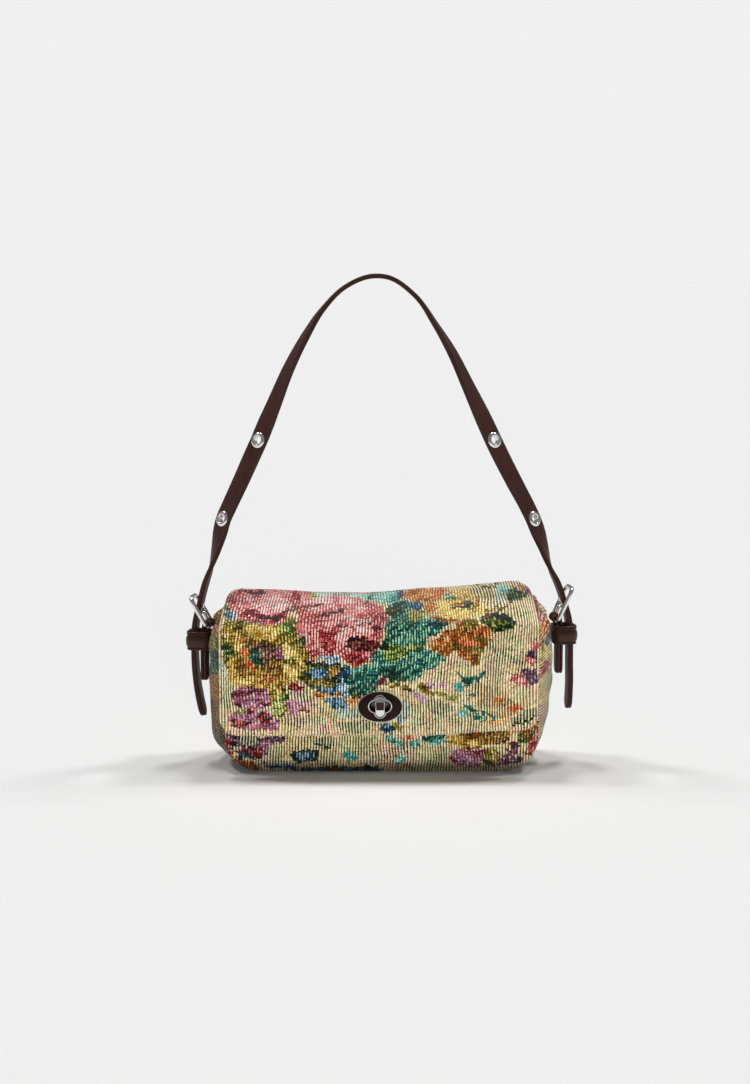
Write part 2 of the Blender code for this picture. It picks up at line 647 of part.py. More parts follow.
K0 = H0 + 1.9 + 0.35                 # inner face of the pill, clear of the rim
knob_mat = material("turn_knob_mat", **silver)
c = np.array(lock_c)
rings = []
for grow, h in ((-0.4, K0), (0.0, K0 + 0.4), (0.0, K0 + 1.0),
                (-0.5, K0 + 1.6), (-1.2, K0 + KNOB_T)):
    rings.append([c + a * X + b * Z - h * Y for a, b in
                  pill(KNOB_W + 2 * grow, KNOB_H + 2 * grow)])
v, f = loop_stack(rings)
knob = make("turn_knob", v, f, knob_mat, knob_axis)
SQ = 1.45
v, f = prism([(-SQ, -SQ), (SQ, -SQ), (SQ, SQ), (-SQ, SQ)], lock_c, X, Z, -Y,
             K0 - 2, K0 + 6)
cut(knob, cutter("cut_knob_square", v, f))
shaft_mat = material("knob_shaft_mat", (0.16, 0.13, 0.11), 0.35, 1.0)
sq = SQ - 0.2
sq_ring = []
nsh = 12
for i in range(nsh):
    a = 2 * math.pi * i / nsh
    m = max(abs(math.cos(a)), abs(math.sin(a)))
    sq_ring.append((sq * math.cos(a) / m, sq * math.sin(a) / m))
rnd = lambda r: [(r * math.cos(2 * math.pi * i / nsh),
                  r * math.sin(2 * math.pi * i / nsh)) for i in range(nsh)]
rings = []
for out, h in ((rnd(2.8), S1 - 1.25), (rnd(3.0), S1 - 0.65),
               (rnd(SHAFT_R), S1 - 0.65), (rnd(SHAFT_R), K0 - 0.3),
               (sq_ring, K0 - 0.3), (sq_ring, K0 + KNOB_T - 0.3)):
    rings.append([c + a * X + b * Z - h * Y for a, b in out])
v, f = loop_stack(rings)
knob_shaft = make("knob_shaft", v, f, shaft_mat, knob_axis)

# --------------------------------------------------------------------- strap
strap_axis = empty("strap_fold_axis", (0.0, 0.0, STRAP_FOLD_Z))


def strap_frames(path):
    """Centre, along, outward face normal and width direction at each station.
    The third column is the twist: 0 has the width along y, and the outer face
    turns to the front as it grows."""
    p = np.asarray(path)
    t2 = np.gradient(p[:, :2], axis=0)
    t2 /= np.linalg.norm(t2, axis=1)[:, None]
    out = []
    for (x, z, tw), (tx, tz) in zip(p, t2):
        along = np.array([tx, 0.0, tz])
        n0 = np.array([tz, 0.0, -tx])              # in plane, right of travel
        out.append((np.array([x, 0.0, z]), along, n0, tw))
    return out


def ribbon_rings(frames, lo, hi, flip, width=STRAP_W, trim=None):
    """Rings of a strap ply between two depths from the middle surface, lo to
    hi towards the outer face."""
    rings = []
    for k, (cpt, along, n0, tw) in enumerate(frames):
        n_out = n0 * flip
        a = math.radians(tw)
        nn = math.cos(a) * n_out + math.sin(a) * (-Y)
        ww = np.cross(along, nn)
        ww = ww / np.linalg.norm(ww)
        if ww @ Y < 0:
            ww = -ww
        w = width / 2 if trim is None else trim[k]
        rings.append([cpt - ww * w + nn * lo, cpt + ww * w + nn * lo,
                      cpt + ww * w + nn * hi, cpt - ww * w + nn * hi])
    return rings


def ribbon_body(rings):
    """Joins the rings of a ply. Both wide faces are split along the same
    diagonal, so that twisted neighbours stay parallel."""
    verts = [p for r in rings for p in r]
    n = len(rings)
    faces = [(3, 2, 1, 0), tuple(4 * (n - 1) + k for k in range(4))]
    for i in range(n - 1):
        a, b = 4 * i, 4 * (i + 1)
        faces += [(a, a + 1, b + 1), (a, b + 1, b),
                  (a + 1, a + 2, b + 2, b + 1),
                  (a + 2, a + 3, b + 2), (a + 3, b + 3, b + 2),
                  (a + 3, a, b, b + 3)]
    return verts, faces


left = smooth_path(LEFT_LEG, 60)
rght = smooth_path(RIGHT_LEG, 60)
full = np.concatenate([left[::-1], rght])
# the two legs meet at the apex in one even curve
path = smooth_path(np.concatenate([full[::4][:-1], full[-1:]]), 240)
keep = []
axis_z = STRAP_FOLD_Z
for row in path:
    keep.append(row[1] >= axis_z)
arch_rows = path[np.array(keep)]


def arch_station(rows):
    """Add the rounded ends that turn about the fold axis."""
    frames = strap_frames(rows)
    widths = [STRAP_W / 2] * len(frames)
    for end in (0, -1):
        cpt, along, n0, tw = frames[end]
        down = -along if end == -1 else along
        down = down if down[2] < 0 else -down
        extra, ew = [], []
        for ang in (25, 50, 72, 86):
            a = math.radians(ang)
            extra.append((cpt + down * ARCH_END_R * math.sin(a), along, n0, tw))
            ew.append(ARCH_END_R * math.cos(a))
        if end == 0:
            frames = extra[::-1] + frames
            widths = ew[::-1] + widths
        else:
            frames = frames + extra
            widths = widths + ew
    return frames, widths


step = arch_rows[np.linspace(0, len(arch_rows) - 1, 44).round().astype(int)]
frames, widths = arch_station(step)
HALF_T = PLY_GAP / 2 + PLY_T
out_mat = material("strap_arch_outer_mat", BROWN, 0.5)
in_mat = material("strap_arch_inner_mat", BROWN, 0.6)
# travelling from the left end over the apex to the right end, the outer face
# lies on the left of the travel
v, f = ribbon_body(ribbon_rings(frames, PLY_GAP / 2, HALF_T, -1, trim=widths))
arch_outer = make("strap_arch_outer", v, f, out_mat, strap_axis)
v, f = ribbon_body(ribbon_rings(frames, -HALF_T, -PLY_GAP / 2, -1, trim=widths))
arch_inner = make("strap_arch_inner", v, f, in_mat, strap_axis)


def face_frame(rows, x, z, flip):
    """Centre, outer normal, width and along directions nearest a point."""
    fr = strap_frames(rows)
    k = int(np.argmin([(r[0] - x) ** 2 + (r[1] - z) ** 2 for r in rows]))
    cpt, along, n0, tw = fr[k]
    a = math.radians(tw)
    nn = math.cos(a) * n0 * flip + math.sin(a) * (-Y)
    ww = np.cross(along, nn)
    return cpt, nn, ww / np.linalg.norm(ww), along


def eyelet(centre, nn, ww, along, n=14, lift=0.5):
    h = HALF_T + lift
    prof = [(EYELET_HOLE_R, -h), (EYELET_HOLE_R, h),
            (EYELET_HOLE_R + 1.2, h + 0.6), (EYELET_R_OUT, h),
            (EYELET_TUBE_R, h), (EYELET_TUBE_R, -h),
            (EYELET_R_OUT, -h), (EYELET_HOLE_R + 1.2, -h - 0.6)]
    return lathe(prof, centre, ww, along, nn, n)


for tag, (x, z) in zip(("left_upper", "left_lower", "right_upper", "right_lower"),
                       EYELET_L + EYELET_R):
    cpt, nn, ww, along = face_frame(path, x, z, -1)
    v, f = eyelet(cpt, nn, ww, along)
    make("strap_eyelet_" + tag, v, f,
         material("strap_eyelet_%s_mat" % tag, **silver), strap_axis)
    v, f = prism(circle(LEATHER_HOLE_R, 16), cpt, ww, along, nn, -4, 4)
    tool = cutter("cut_eye_" + tag, v, f)
    cut(arch_outer, tool)
    cut(arch_inner, tool)

# ------------------------------------------------------------ side assemblies
for side, d in SIDE.items():
    sg = d["sign"]
    yaw = math.radians(d["yaw"]) * sg
    px = 113.0 * sg                              # yaw about an upright here
    RX = np.array([math.cos(yaw), math.sin(yaw), 0.0]) * sg   # outward
    RY = np.array([-math.sin(yaw), math.cos(yaw), 0.0])        # to the back

    def P(x, y, z, RX=RX, RY=RY, px=px):
        return np.array([px, 0, 0]) + RX * (x - 113.0) + RY * y + Z * z

    bx, bz = d["bar"]
    tx, tz = d["top"]
    bar_axis = empty("buckle_%s_axis" % side, P(bx, 0, bz))
    up = unit(np.array([tx - bx, tz - bz]))
    length = math.hypot(tx - bx, tz - bz)
    nrm = np.array([up[1], -up[0]])              # outward of the frame's plane

    # wire frame: a rounded rectangle in the plane of bar and top
    hw = FRAME_IN_W / 2 + WIRE_R
    line = []
    for sy, at_top, a0 in ((1, True, 0), (-1, True, 90), (-1, False, 180),
                           (1, False, 270)):
        rc, turns = (FRAME_TOP_R, 5) if at_top else (FRAME_BOTTOM_R, 3)
        cy, cu = sy * (hw - rc), (length - rc if at_top else rc)
        for i in range(turns):
            a = math.radians(a0 + 90 * i / (turns - 1))
            line.append((cy + rc * math.cos(a), cu + rc * math.sin(a)))
    line = np.array(line)
    n = len(line)
    rings = []
    for i in range(n):
        tan = unit(line[(i + 1) % n] - line[i - 1])
        side_dir = np.array([tan[1], -tan[0]])   # in plane, outwards
        ring = []
        for k in range(8):
            a = 2 * math.pi * (k + 0.5) / 8
            off = line[i] + side_dir * WIRE_R * math.cos(a)
            h = WIRE_R * math.sin(a)
            xx = bx + up[0] * off[1] + nrm[0] * h
            zz = bz + up[1] * off[1] + nrm[1] * h
            ring.append(P(xx, off[0], zz))
        rings.append(ring)
    v, f = loop_stack(rings, closed=True)
    fm = material("buckle_frame_%s_mat" % side, **silver)
    make("buckle_frame_" + side, v, f, fm, bar_axis)

    # prong: an eye on the lower bar, a bent tongue, its tip on the top bar
    pm = material("buckle_prong_%s_mat" % side, **silver)
    q = lambda u, h: (bx + up[0] * u + nrm[0] * h, bz + up[1] * u + nrm[1] * h)
    tongue = [q(1.9, 0.0), q(4.6, -0.9), q(7.2, -0.9), q(10.0, 0.6),
              q(13.0, 2.2), q(16.5, 2.75), q(length + 0.4, 2.75)]
    tp = smooth_path([(a, b) for a, b in tongue], 12)
    fine_tongue = smooth_path(tongue, 120)
    tg = np.gradient(tp, axis=0)
    tg /= np.linalg.norm(tg, axis=1)[:, None]
    rings = []
    for i, ((a, b), (ta, tb)) in enumerate(zip(tp, tg)):
        r = PRONG_R * (0.75 if i == len(tp) - 1 else 1.0)
        ring = []
        for k in range(8):
            g = 2 * math.pi * (k + 0.5) / 8
            ring.append(P(a + tb * r * math.cos(g), r * math.sin(g),
                          b - ta * r * math.cos(g)))
        rings.append(ring)
    v1, f1 = loop_stack(rings)
    prong = make("buckle_prong_" + side, v1, f1, pm, bar_axis)
    ri, ro = WIRE_R + 0.25, WIRE_R + 1.25
    hw2 = 1.15
    rings = []
    for k in range(16):
        g = 2 * math.pi * k / 16
        e = np.array([math.cos(g), math.sin(g)])
        rings.append([P(bx + e[0] * r, y, bz + e[1] * r) for r, y in
                      ((ri, -hw2), (ri, hw2), (ro, hw2), (ro, -hw2))])
    v2, f2 = loop_stack(rings, closed=True)
    eye = cutter("prong_eye_" + side, v2, f2)
    cut(prong, eye, op="UNION")

    # strap end: comes down inside the top bar, crosses the frame to the
    # outside, passes the tab and hangs
    end = [(a, b, 0.0) for a, b in d["end"]]
    rows = smooth_path(end, 90)
    rows = rows[rows[:, 1] <= STRAP_FOLD_Z - END_CLEAR]
    pick = rows[np.linspace(0, len(rows) - 1, 20).round().astype(int)]

    def end_ring(r, i, rows, lo, hi, w, P=P):
        tan = unit(rows[min(i + 1, len(rows) - 1)][:2] - rows[max(i - 1, 0)][:2])
        nx, nz = -tan[1], tan[0]                 # outward of a downward strap
        if nx < 0:
            nx, nz = -nx, -nz
        x, z = r[0], r[1]
        return [P(x + nx * h, y, z + nz * h) for h, y in
                ((lo, -w), (lo, w), (hi, w), (hi, -w))]

    for ply, lo, hi in (("outer", PLY_GAP / 2, HALF_T),
                        ("inner", -HALF_T, -PLY_GAP / 2)):
        rings = []
        m = len(pick)
        for i, r in enumerate(pick):
            rings.append(end_ring(r, i, pick, lo, hi, STRAP_W / 2 - 0.2))
        # rounded tip
        tip, before = pick[-1], pick[-2]
        tan = unit(tip[:2] - before[:2])
        ext = []
        for ang in (30, 58, 80):
            a = math.radians(ang)
            ext.append((tip[:2] + tan * 5.0 * math.sin(a), (STRAP_W / 2 - 0.2) * math.cos(a)))
        nx, nz = -tan[1], tan[0]
        if nx < 0:
            nx, nz = -nx, -nz
        for (ex, ez), w in ext:
            rings.append([P(ex + nx * h, y, ez + nz * h) for h, y in
                          ((lo, -w), (lo, w), (hi, w), (hi, -w))])
        v, f = loop_stack(rings)
        mt = material("strap_end_%s_%s_mat" % (ply, side), BROWN, 0.5)
        ob = make("strap_end_%s_%s" % (ply, side), v, f, mt)
        d[ply] = ob
    # eyelet where the prong goes through
    k = int(np.argmin([min(np.hypot(r[0] - g[0], r[1] - g[1]) for g in fine_tongue)
                       for r in rows]))
    tan = unit(rows[min(k + 3, len(rows) - 1)][:2] - rows[max(k - 3, 0)][:2])
    nx, nz = -tan[1], tan[0]
    if nx < 0:
        nx, nz = -nx, -nz
    cpt = P(rows[k][0], 0, rows[k][1])
    nn = unit(P(113 + nx, 0, nz) - P(113, 0, 0))
    al = unit(P(113 + tan[0], 0, tan[1]) - P(113, 0, 0))
    v, f = eyelet(cpt, nn, RY, al, lift=0.45)
    make("strap_end_eyelet_" + side, v, f,
         material("strap_end_eyelet_%s_mat" % side, **silver))
    v, f = prism(circle(LEATHER_HOLE_R, 16), cpt, RY, al, nn, -3, 3)
    tool = cutter("cut_end_eye_" + side, v, f)
    cut(d["outer"], tool)
    cut(d["inner"], tool)

    # tab: a leather band folded round the lower bar, both plies hanging
    tbx, tbz = d["tab_bottom"]
    r_in, r_out = WIRE_R + 0.3, WIRE_R + 0.3 + TAB_PLY
    gap = 0.45
    zs = np.linspace(0, 1, 5)
    outline_out, outline_in = [], []
    # inner (bag side) leg, up round the bar, down the outer leg
    cx_at = lambda t: bx + (tbx - bx) * (t ** 1.0)

    def leg(t, off):
        z = bz + (tbz - bz) * t
        s = min(1.0, (bz - z) / TAB_JOIN)
        s = s * s * (3 - 2 * s)
        full_w = r_out * (1 - s) + (TAB_PLY + gap / 2) * s
        thin_w = r_in * (1 - s) + (gap / 2) * s
        xc = bx + (tbx - bx) * s
        return (xc + off * full_w, z), (xc + off * thin_w, z)

    drop = bz - tbz
    ts = [1.0, 0.6, TAB_JOIN / drop, 0.8 * TAB_JOIN / drop,
          0.6 * TAB_JOIN / drop, 0.4 * TAB_JOIN / drop, 0.2 * TAB_JOIN / drop]
    pts_o, pts_i = [], []
    for t in ts:
        o, i_ = leg(t, -1)
        pts_o.append(o)
        pts_i.append(i_)
    for k in range(9):
        a = math.pi - math.pi * k / 8
        pts_o.append((bx + r_out * math.cos(a), bz + r_out * math.sin(a)))
        pts_i.append((bx + r_in * math.cos(a), bz + r_in * math.sin(a)))
    for t in reversed(ts):
        o, i_ = leg(t, 1)
        pts_o.append(o)
        pts_i.append(i_)
    rings = [[P(o[0], -TAB_W / 2, o[1]), P(o[0], TAB_W / 2, o[1]),
              P(i_[0], TAB_W / 2, i_[1]), P(i_[0], -TAB_W / 2, i_[1])]
             for o, i_ in zip(pts_o, pts_i)]
    v, f = loop_stack(rings)
    tm = material("tab_%s_mat" % side, BROWN, 0.55)
    tab = make("tab_" + side, v, f, tm)
    # slot in the fold for the prong's eye
    v, f = prism([(bx - 7, bz - 4.0), (bx + 7, bz - 4.0), (bx + 7, bz + 7), (bx - 7, bz + 7)],
                 P(113, 0, 0) - RX * 113, RX, Z, RY, -1.75, 1.75)
    cut(tab, cutter("cut_tab_" + side, v, f))

    # keeper: a loop round the tab and the strap end
    z0, z1 = d["keeper"]
    kx = d["keeper_x"]
    hx, hy = KEEPER_IN_X / 2, KEEPER_IN_Y / 2
    w = KEEPER_WALL

    def round_rect(ax, ay, r, n=4):
        pts = []
        for cx, cy, a0 in ((ax - r, ay - r, 0), (-(ax - r), ay - r, 90),
                           (-(ax - r), -(ay - r), 180), (ax - r, -(ay - r), 270)):
            for i in range(n + 1):
                a = math.radians(a0 + 90 * i / n)
                pts.append((cx + r * math.cos(a), cy + r * math.sin(a)))
        return pts
    rings = []
    for (ax, ay, r), z in (((hx, hy, 1.2), z0), ((hx, hy, 1.2), z1),
                           ((hx + w, hy + w, 3.0), z1), ((hx + w, hy + w, 3.0), z0)):
        rings.append([P(kx + a, b, z) for a, b in round_rect(ax, ay, r)])
    v, f = loop_stack(rings, closed=True)
    km = material("keeper_%s_mat" % side, BROWN, 0.55)
    k_axis = empty("keeper_%s_axis" % side, P(kx, 0, (z0 + z1) / 2))
    make("keeper_" + side, v, f, km, k_axis)

bpy.context.view_layer.update()
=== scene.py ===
"""Looks of the mini shoulder bag: woven floral cloth, dark leather strap and
tabs, polished silver fittings. Lengths are in millimetres in the bag's own
frame and become metres in W()."""
import math

import bmesh
import bpy
import numpy as np
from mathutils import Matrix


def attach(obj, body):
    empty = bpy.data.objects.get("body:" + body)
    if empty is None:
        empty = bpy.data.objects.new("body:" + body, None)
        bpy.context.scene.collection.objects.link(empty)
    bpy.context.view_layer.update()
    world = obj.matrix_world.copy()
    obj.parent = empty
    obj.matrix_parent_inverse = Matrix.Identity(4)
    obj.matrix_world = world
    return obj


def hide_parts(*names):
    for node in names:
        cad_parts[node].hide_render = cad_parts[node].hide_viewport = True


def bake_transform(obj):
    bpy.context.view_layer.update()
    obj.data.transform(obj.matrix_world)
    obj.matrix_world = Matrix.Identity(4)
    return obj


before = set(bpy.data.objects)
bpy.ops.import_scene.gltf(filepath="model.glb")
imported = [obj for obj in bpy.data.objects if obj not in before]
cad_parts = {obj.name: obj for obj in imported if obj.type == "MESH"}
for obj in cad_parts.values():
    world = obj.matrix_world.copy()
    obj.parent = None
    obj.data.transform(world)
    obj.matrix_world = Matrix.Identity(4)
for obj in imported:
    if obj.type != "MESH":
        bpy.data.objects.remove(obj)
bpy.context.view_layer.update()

# ------------------------------------------------------------------- camera
scene = bpy.context.scene
cam_data = bpy.data.cameras.new("view_camera")
cam_data.sensor_fit = "VERTICAL"
cam_data.sensor_height = 36.0
cam_data.sensor_width = 36.0
cam_data.lens = 66.75
cam_data.clip_start, cam_data.clip_end = 0.05, 200.0
cam = bpy.data.objects.new("view_camera", cam_data)
scene.collection.objects.link(cam)
cam.location = (-0.0042, -1.24415, 0.31)
cam.rotation_euler = (math.radians(82.25), 0.0, 0.0)
scene.camera = cam
scene.view_settings.view_transform = "Standard"
scene.view_settings.look = "None"

CAM_D, CAM_H, CAM_X, CAM_F = 1250.0, 310.0, -3.7, 2010.0
CAM_T = math.radians(7.75)


def design_plane(p):
    """Where the printed design of a front facing cloth lies: the bag was laid
    out from one viewing point, so the design is drawn in that view."""
    d = np.asarray(p, float) - np.array([CAM_X, -CAM_D, CAM_H])
    dep = d[..., 1] * math.cos(CAM_T) - d[..., 2] * math.sin(CAM_T)
    up = d[..., 1] * math.sin(CAM_T) + d[..., 2] * math.cos(CAM_T)
    return 375 + CAM_F * d[..., 0] / dep, 542 - CAM_F * up / dep


# ------------------------------------------------------------------ helpers
SX, SY = -0.5, 5.85
X, Y, Z = np.eye(3)


def W(p):
    return (np.asarray(p, float) + np.array([SX, SY, 0.0])) * 0.001


def unit(v):
    v = np.asarray(v, float)
    return v / np.linalg.norm(v)


def step(x, lo, hi):
    t = np.clip((np.asarray(x, float) - lo) / (hi - lo), 0, 1)
    return t * t * (3 - 2 * t)


def smooth_path(points, n):
    p = np.asarray(points, float)
    t = np.concatenate([[0.0], np.cumsum(
        np.maximum(np.linalg.norm(np.diff(p[:, :2], axis=0), axis=1), 1e-6))])
    slope = np.zeros_like(p)
    for i in range(len(p)):
        if i == 0:
            slope[i] = (p[1] - p[0]) / (t[1] - t[0])
        elif i == len(p) - 1:
            slope[i] = (p[-1] - p[-2]) / (t[-1] - t[-2])
        else:
            a = (p[i] - p[i - 1]) / (t[i] - t[i - 1])
            b = (p[i + 1] - p[i]) / (t[i + 1] - t[i])
            h0, h1 = t[i] - t[i - 1], t[i + 1] - t[i]
            slope[i] = (a * h1 + b * h0) / (h0 + h1)

    def at(u):
        i = int(min(max(np.searchsorted(t, u) - 1, 0), len(p) - 2))
        h = t[i + 1] - t[i]
        s = (u - t[i]) / h
        h00, h10 = 2 * s**3 - 3 * s**2 + 1, s**3 - 2 * s**2 + s
        h01, h11 = -2 * s**3 + 3 * s**2, s**3 - s**2
        return h00 * p[i] + h10 * h * slope[i] + h01 * p[i + 1] + h11 * h * slope[i + 1]

    fine = np.array([at(u) for u in np.linspace(0, t[-1], max(600, 2 * n))])
    d = np.concatenate([[0.0], np.cumsum(
        np.linalg.norm(np.diff(fine[:, :2], axis=0), axis=1))])
    want = np.linspace(0, d[-1], n)
    return np.stack([np.interp(want, d, fine[:, c]) for c in range(p.shape[1])], 1)


def piece(name, pts, faces, mat, body, replaces=(), sharp=38.0, parts=None):
    """A mesh piece from points in millimetres, riding on a body. parts gives
    a material number for each face."""
    me = bpy.data.meshes.new(name)
    me.from_pydata([tuple(p) for p in W(pts)], [], [tuple(map(int, f)) for f in faces])
    mats = mat if isinstance(mat, (list, tuple)) else [mat]
    for k in mats:
        me.materials.append(k)
    bm = bmesh.new()
    bm.from_mesh(me)
    bmesh.ops.recalc_face_normals(bm, faces=bm.faces)
    bm.to_mesh(me)
    bm.free()
    if parts is not None:
        me.polygons.foreach_set("material_index", np.asarray(parts, np.int32))
    me.shade_smooth()
    if sharp:
        me.set_sharp_from_angle(angle=math.radians(sharp))
    ob = bpy.data.objects.new(name, me)
    scene.collection.objects.link(ob)
    if body:
        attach(ob, body)
    if replaces:
        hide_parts(*replaces)
    return ob


def rings(loops, closed=False, caps=True):
    k, n = len(loops[0]), len(loops)
    verts = [p for l in loops for p in l]
    faces = []
    for i in range(n if closed else n - 1):
        a, b = i * k, ((i + 1) % n) * k
        for j in range(k):
            j2 = (j + 1) % k
            faces.append((a + j, a + j2, b + j2, b + j))
    if caps and not closed:
        faces.append(tuple(range(k - 1, -1, -1)))
        faces.append(tuple((n - 1) * k + j for j in range(k)))
    return verts, faces


def helper(name, verts, faces):
    """A hidden shape for cutting, gone before the script ends."""
    me = bpy.data.meshes.new(name)
    me.from_pydata([tuple(p) for p in W(verts)], [], [tuple(map(int, f)) for f in faces])
    bm = bmesh.new()
    bm.from_mesh(me)
    bmesh.ops.recalc_face_normals(bm, faces=bm.faces)
    bm.to_mesh(me)
    bm.free()
    ob = bpy.data.objects.new(name, me)
    scene.collection.objects.link(ob)
    ob.hide_render = True
    return ob


def settle(ob, sharp=38.0):
    """Turn the modifiers into mesh."""
    dg = bpy.context.evaluated_depsgraph_get()
    me = bpy.data.meshes.new_from_object(ob.evaluated_get(dg))
    old = ob.data
    ob.modifiers.clear()
    ob.data = me
    me.name = ob.name
    bpy.data.meshes.remove(old)
    me.shade_smooth()
    if sharp:
        me.set_sharp_from_angle(angle=math.radians(sharp))


def cut_with(ob, tools, op="DIFFERENCE"):
    for t in tools:
        m = ob.modifiers.new("cut", "BOOLEAN")
        m.operation, m.object, m.solver = op, t, "EXACT"


def drop(*obs):
    for o in obs:
        me = o.data
        bpy.data.objects.remove(o, do_unlink=True)
        bpy.data.meshes.remove(me)


def tube(path, r, n=10, closed=False, taper=None):
    """Rings of a round bar along points."""
    p = np.asarray(path, float)
    m = len(p)
    t = np.roll(p, -1, 0) - np.roll(p, 1, 0) if closed else np.gradient(p, axis=0)
    t /= np.linalg.norm(t, axis=1)[:, None]
    ref = Y if abs(t[0] @ Y) < 0.9 else Z
    a = unit(np.cross(t[0], ref))
    out = []
    for i in range(m):
        a = unit(a - (a @ t[i]) * t[i])
        b = np.cross(t[i], a)
        rr = r * (1 if taper is None else taper[i])
        out.append([p[i] + rr * (math.cos(q) * a + math.sin(q) * b)
                    for q in 2 * np.pi * np.arange(n) / n])
    return rings(out, closed=closed)


def lathe(profile, centre, u, v, w, n=40):
    c, u, v, w = (np.asarray(k, float) for k in (centre, u, v, w))
    loops = []
    for i in range(n):
        a = 2 * math.pi * i / n
        d = math.cos(a) * u + math.sin(a) * v
        loops.append([c + r * d + h * w for r, h in profile])
    return rings(loops, closed=True)


def join(parts):
    verts, faces = [], []
    for v, f in parts:
        k = len(verts)
        verts += list(v)
        faces += [tuple(i + k for i in q) for q in f]
    return verts, faces


# ------------------------------------------------------------ woven pattern
# Every motif is drawn in a plane whose unit is about 0.6 mm.
YARNS = {                       # shadow, body and light yarn of each colour
    "pinkL": ((148, 72, 76), (214, 146, 142), (255, 232, 224)),
    "pink": ((112, 40, 46), (190, 108, 108), (250, 222, 210)),
    "rose": ((84, 22, 28), (164, 78, 82), (238, 190, 180)),
    "red": ((56, 8, 12), (144, 46, 52), (222, 150, 140)),
    "maroon": ((26, 8, 8), (86, 32, 34), (170, 116, 104)),
    "mint": ((92, 132, 116), (166, 204, 188), (246, 252, 244)),
    "cyan": ((26, 84, 80), (94, 160, 150), (206, 238, 224)),
    "teal": ((6, 46, 40), (44, 112, 102), (186, 220, 186)),
    "tealD": ((4, 32, 32), (30, 84, 78), (150, 190, 162)),
    "green": ((28, 50, 18), (92, 116, 50), (206, 214, 146)),
    "dkgreen": ((8, 24, 14), (44, 72, 44), (158, 168, 122)),
    "lgreen": ((84, 96, 50), (156, 166, 108), (226, 228, 184)),
    "olive": ((46, 38, 6), (128, 112, 46), (212, 194, 132)),
    "yellow": ((112, 86, 38), (208, 180, 110), (252, 238, 186)),
    "gold": ((76, 54, 10), (172, 138, 66), (240, 218, 156)),
    "ochre": ((54, 36, 10), (132, 98, 44), (212, 184, 128)),
    "orange": ((110, 60, 26), (196, 132, 84), (244, 206, 164)),
    "flame": ((108, 36, 18), (196, 94, 60), (240, 184, 144)),
    "rust": ((66, 32, 8), (156, 98, 50), (230, 186, 136)),
    "brown": ((36, 24, 14), (100, 78, 56), (184, 156, 124)),
    "mauve": ((80, 36, 52), (162, 116, 132), (230, 198, 200)),
    "purple": ((36, 20, 34), (106, 82, 98), (184, 162, 164)),
    "lav": ((112, 74, 98), (180, 146, 166), (236, 214, 216)),
    "blue": ((10, 28, 46), (64, 98, 126), (178, 204, 212)),
    "blueL": ((34, 54, 74), (120, 148, 168), (226, 238, 240)),
    "navy": ((6, 10, 12), (34, 50, 56), (132, 146, 138)),
    "aqua": ((56, 108, 98), (124, 178, 166), (220, 240, 226)),
    "wine": ((46, 14, 20), (116, 62, 70), (200, 150, 148)),
    "taupe": ((58, 38, 34), (138, 108, 96), (212, 184, 164)),
    "sand": ((112, 90, 52), (184, 158, 110), (236, 220, 184)),
    "peach": ((118, 76, 48), (198, 152, 116), (244, 216, 188)),
    "straw": ((104, 84, 30), (186, 158, 88), (242, 224, 168)),
    "moss": ((62, 68, 28), (146, 142, 86), (216, 212, 158)),
}
MATES = {                       # yarns that cross each colour in short runs
    "pinkL": ("pink", "mint"), "pink": ("rose", "pinkL"), "rose": ("maroon", "pink"),
    "red": ("maroon", "rose"), "maroon": ("navy", "red"), "mint": ("cyan", "lgreen"),
    "cyan": ("teal", "mint"), "teal": ("tealD", "cyan"), "tealD": ("dkgreen", "blue"),
    "green": ("dkgreen", "lgreen"), "dkgreen": ("navy", "green"),
    "lgreen": ("olive", "yellow"), "olive": ("dkgreen", "gold"),
    "yellow": ("gold", "olive"), "gold": ("ochre", "yellow"), "ochre": ("brown", "gold"),
    "orange": ("rust", "yellow"), "flame": ("rust", "orange"), "rust": ("ochre", "orange"),
    "brown": ("navy", "ochre"), "mauve": ("wine", "lav"), "purple": ("navy", "mauve"),
    "lav": ("mauve", "pinkL"), "blue": ("navy", "teal"), "blueL": ("blue", "mint"),
    "navy": ("dkgreen", "blue"), "aqua": ("cyan", "mint"), "wine": ("maroon", "mauve"),
    "taupe": ("brown", "mauve"), "sand": ("ochre", "straw"), "peach": ("rust", "sand"),
    "straw": ("ochre", "yellow"), "moss": ("olive", "lgreen"),
}


class Lattice:
    """Smooth value noise on a fixed lattice, the same on every run."""

    def __init__(self, seed):
        self.t = np.random.default_rng(seed).random((256, 256))

    def __call__(self, x, y):
        xi, yi = np.floor(x).astype(int), np.floor(y).astype(int)
        fx, fy = x - xi, y - yi
        fx, fy = fx * fx * (3 - 2 * fx), fy * fy * (3 - 2 * fy)
        t = self.t
        a = t[yi & 255, xi & 255]
        b = t[yi & 255, (xi + 1) & 255]
        c = t[(yi + 1) & 255, xi & 255]
        d = t[(yi + 1) & 255, (xi + 1) & 255]
        return (a * (1 - fx) + b * fx) * (1 - fy) + (c * (1 - fx) + d * fx) * fy

    def cell(self, i, j):
        return self.t[np.asarray(j) & 255, np.asarray(i) & 255]


N1, N2, N3, N4, N5 = (Lattice(s) for s in (11, 23, 37, 51, 68))


def part(u0, v0, k):
    """A drawing board: k of its units go to one unit of the design."""
    return lambda x, y: (u0 + x / k, v0 + y / k)


def inside(poly, u, v):
    """Even-odd test of points against a closed outline."""
    res = np.zeros(u.shape, bool)
    n = len(poly)
    for i in range(n):
        x0, y0 = poly[i]
        x1, y1 = poly[(i + 1) % n]
        if y0 == y1:
            continue
        hit = ((y0 > v) != (y1 > v)) & (u < (x1 - x0) * (v - y0) / (y1 - y0) + x0)
        res ^= hit
    return res


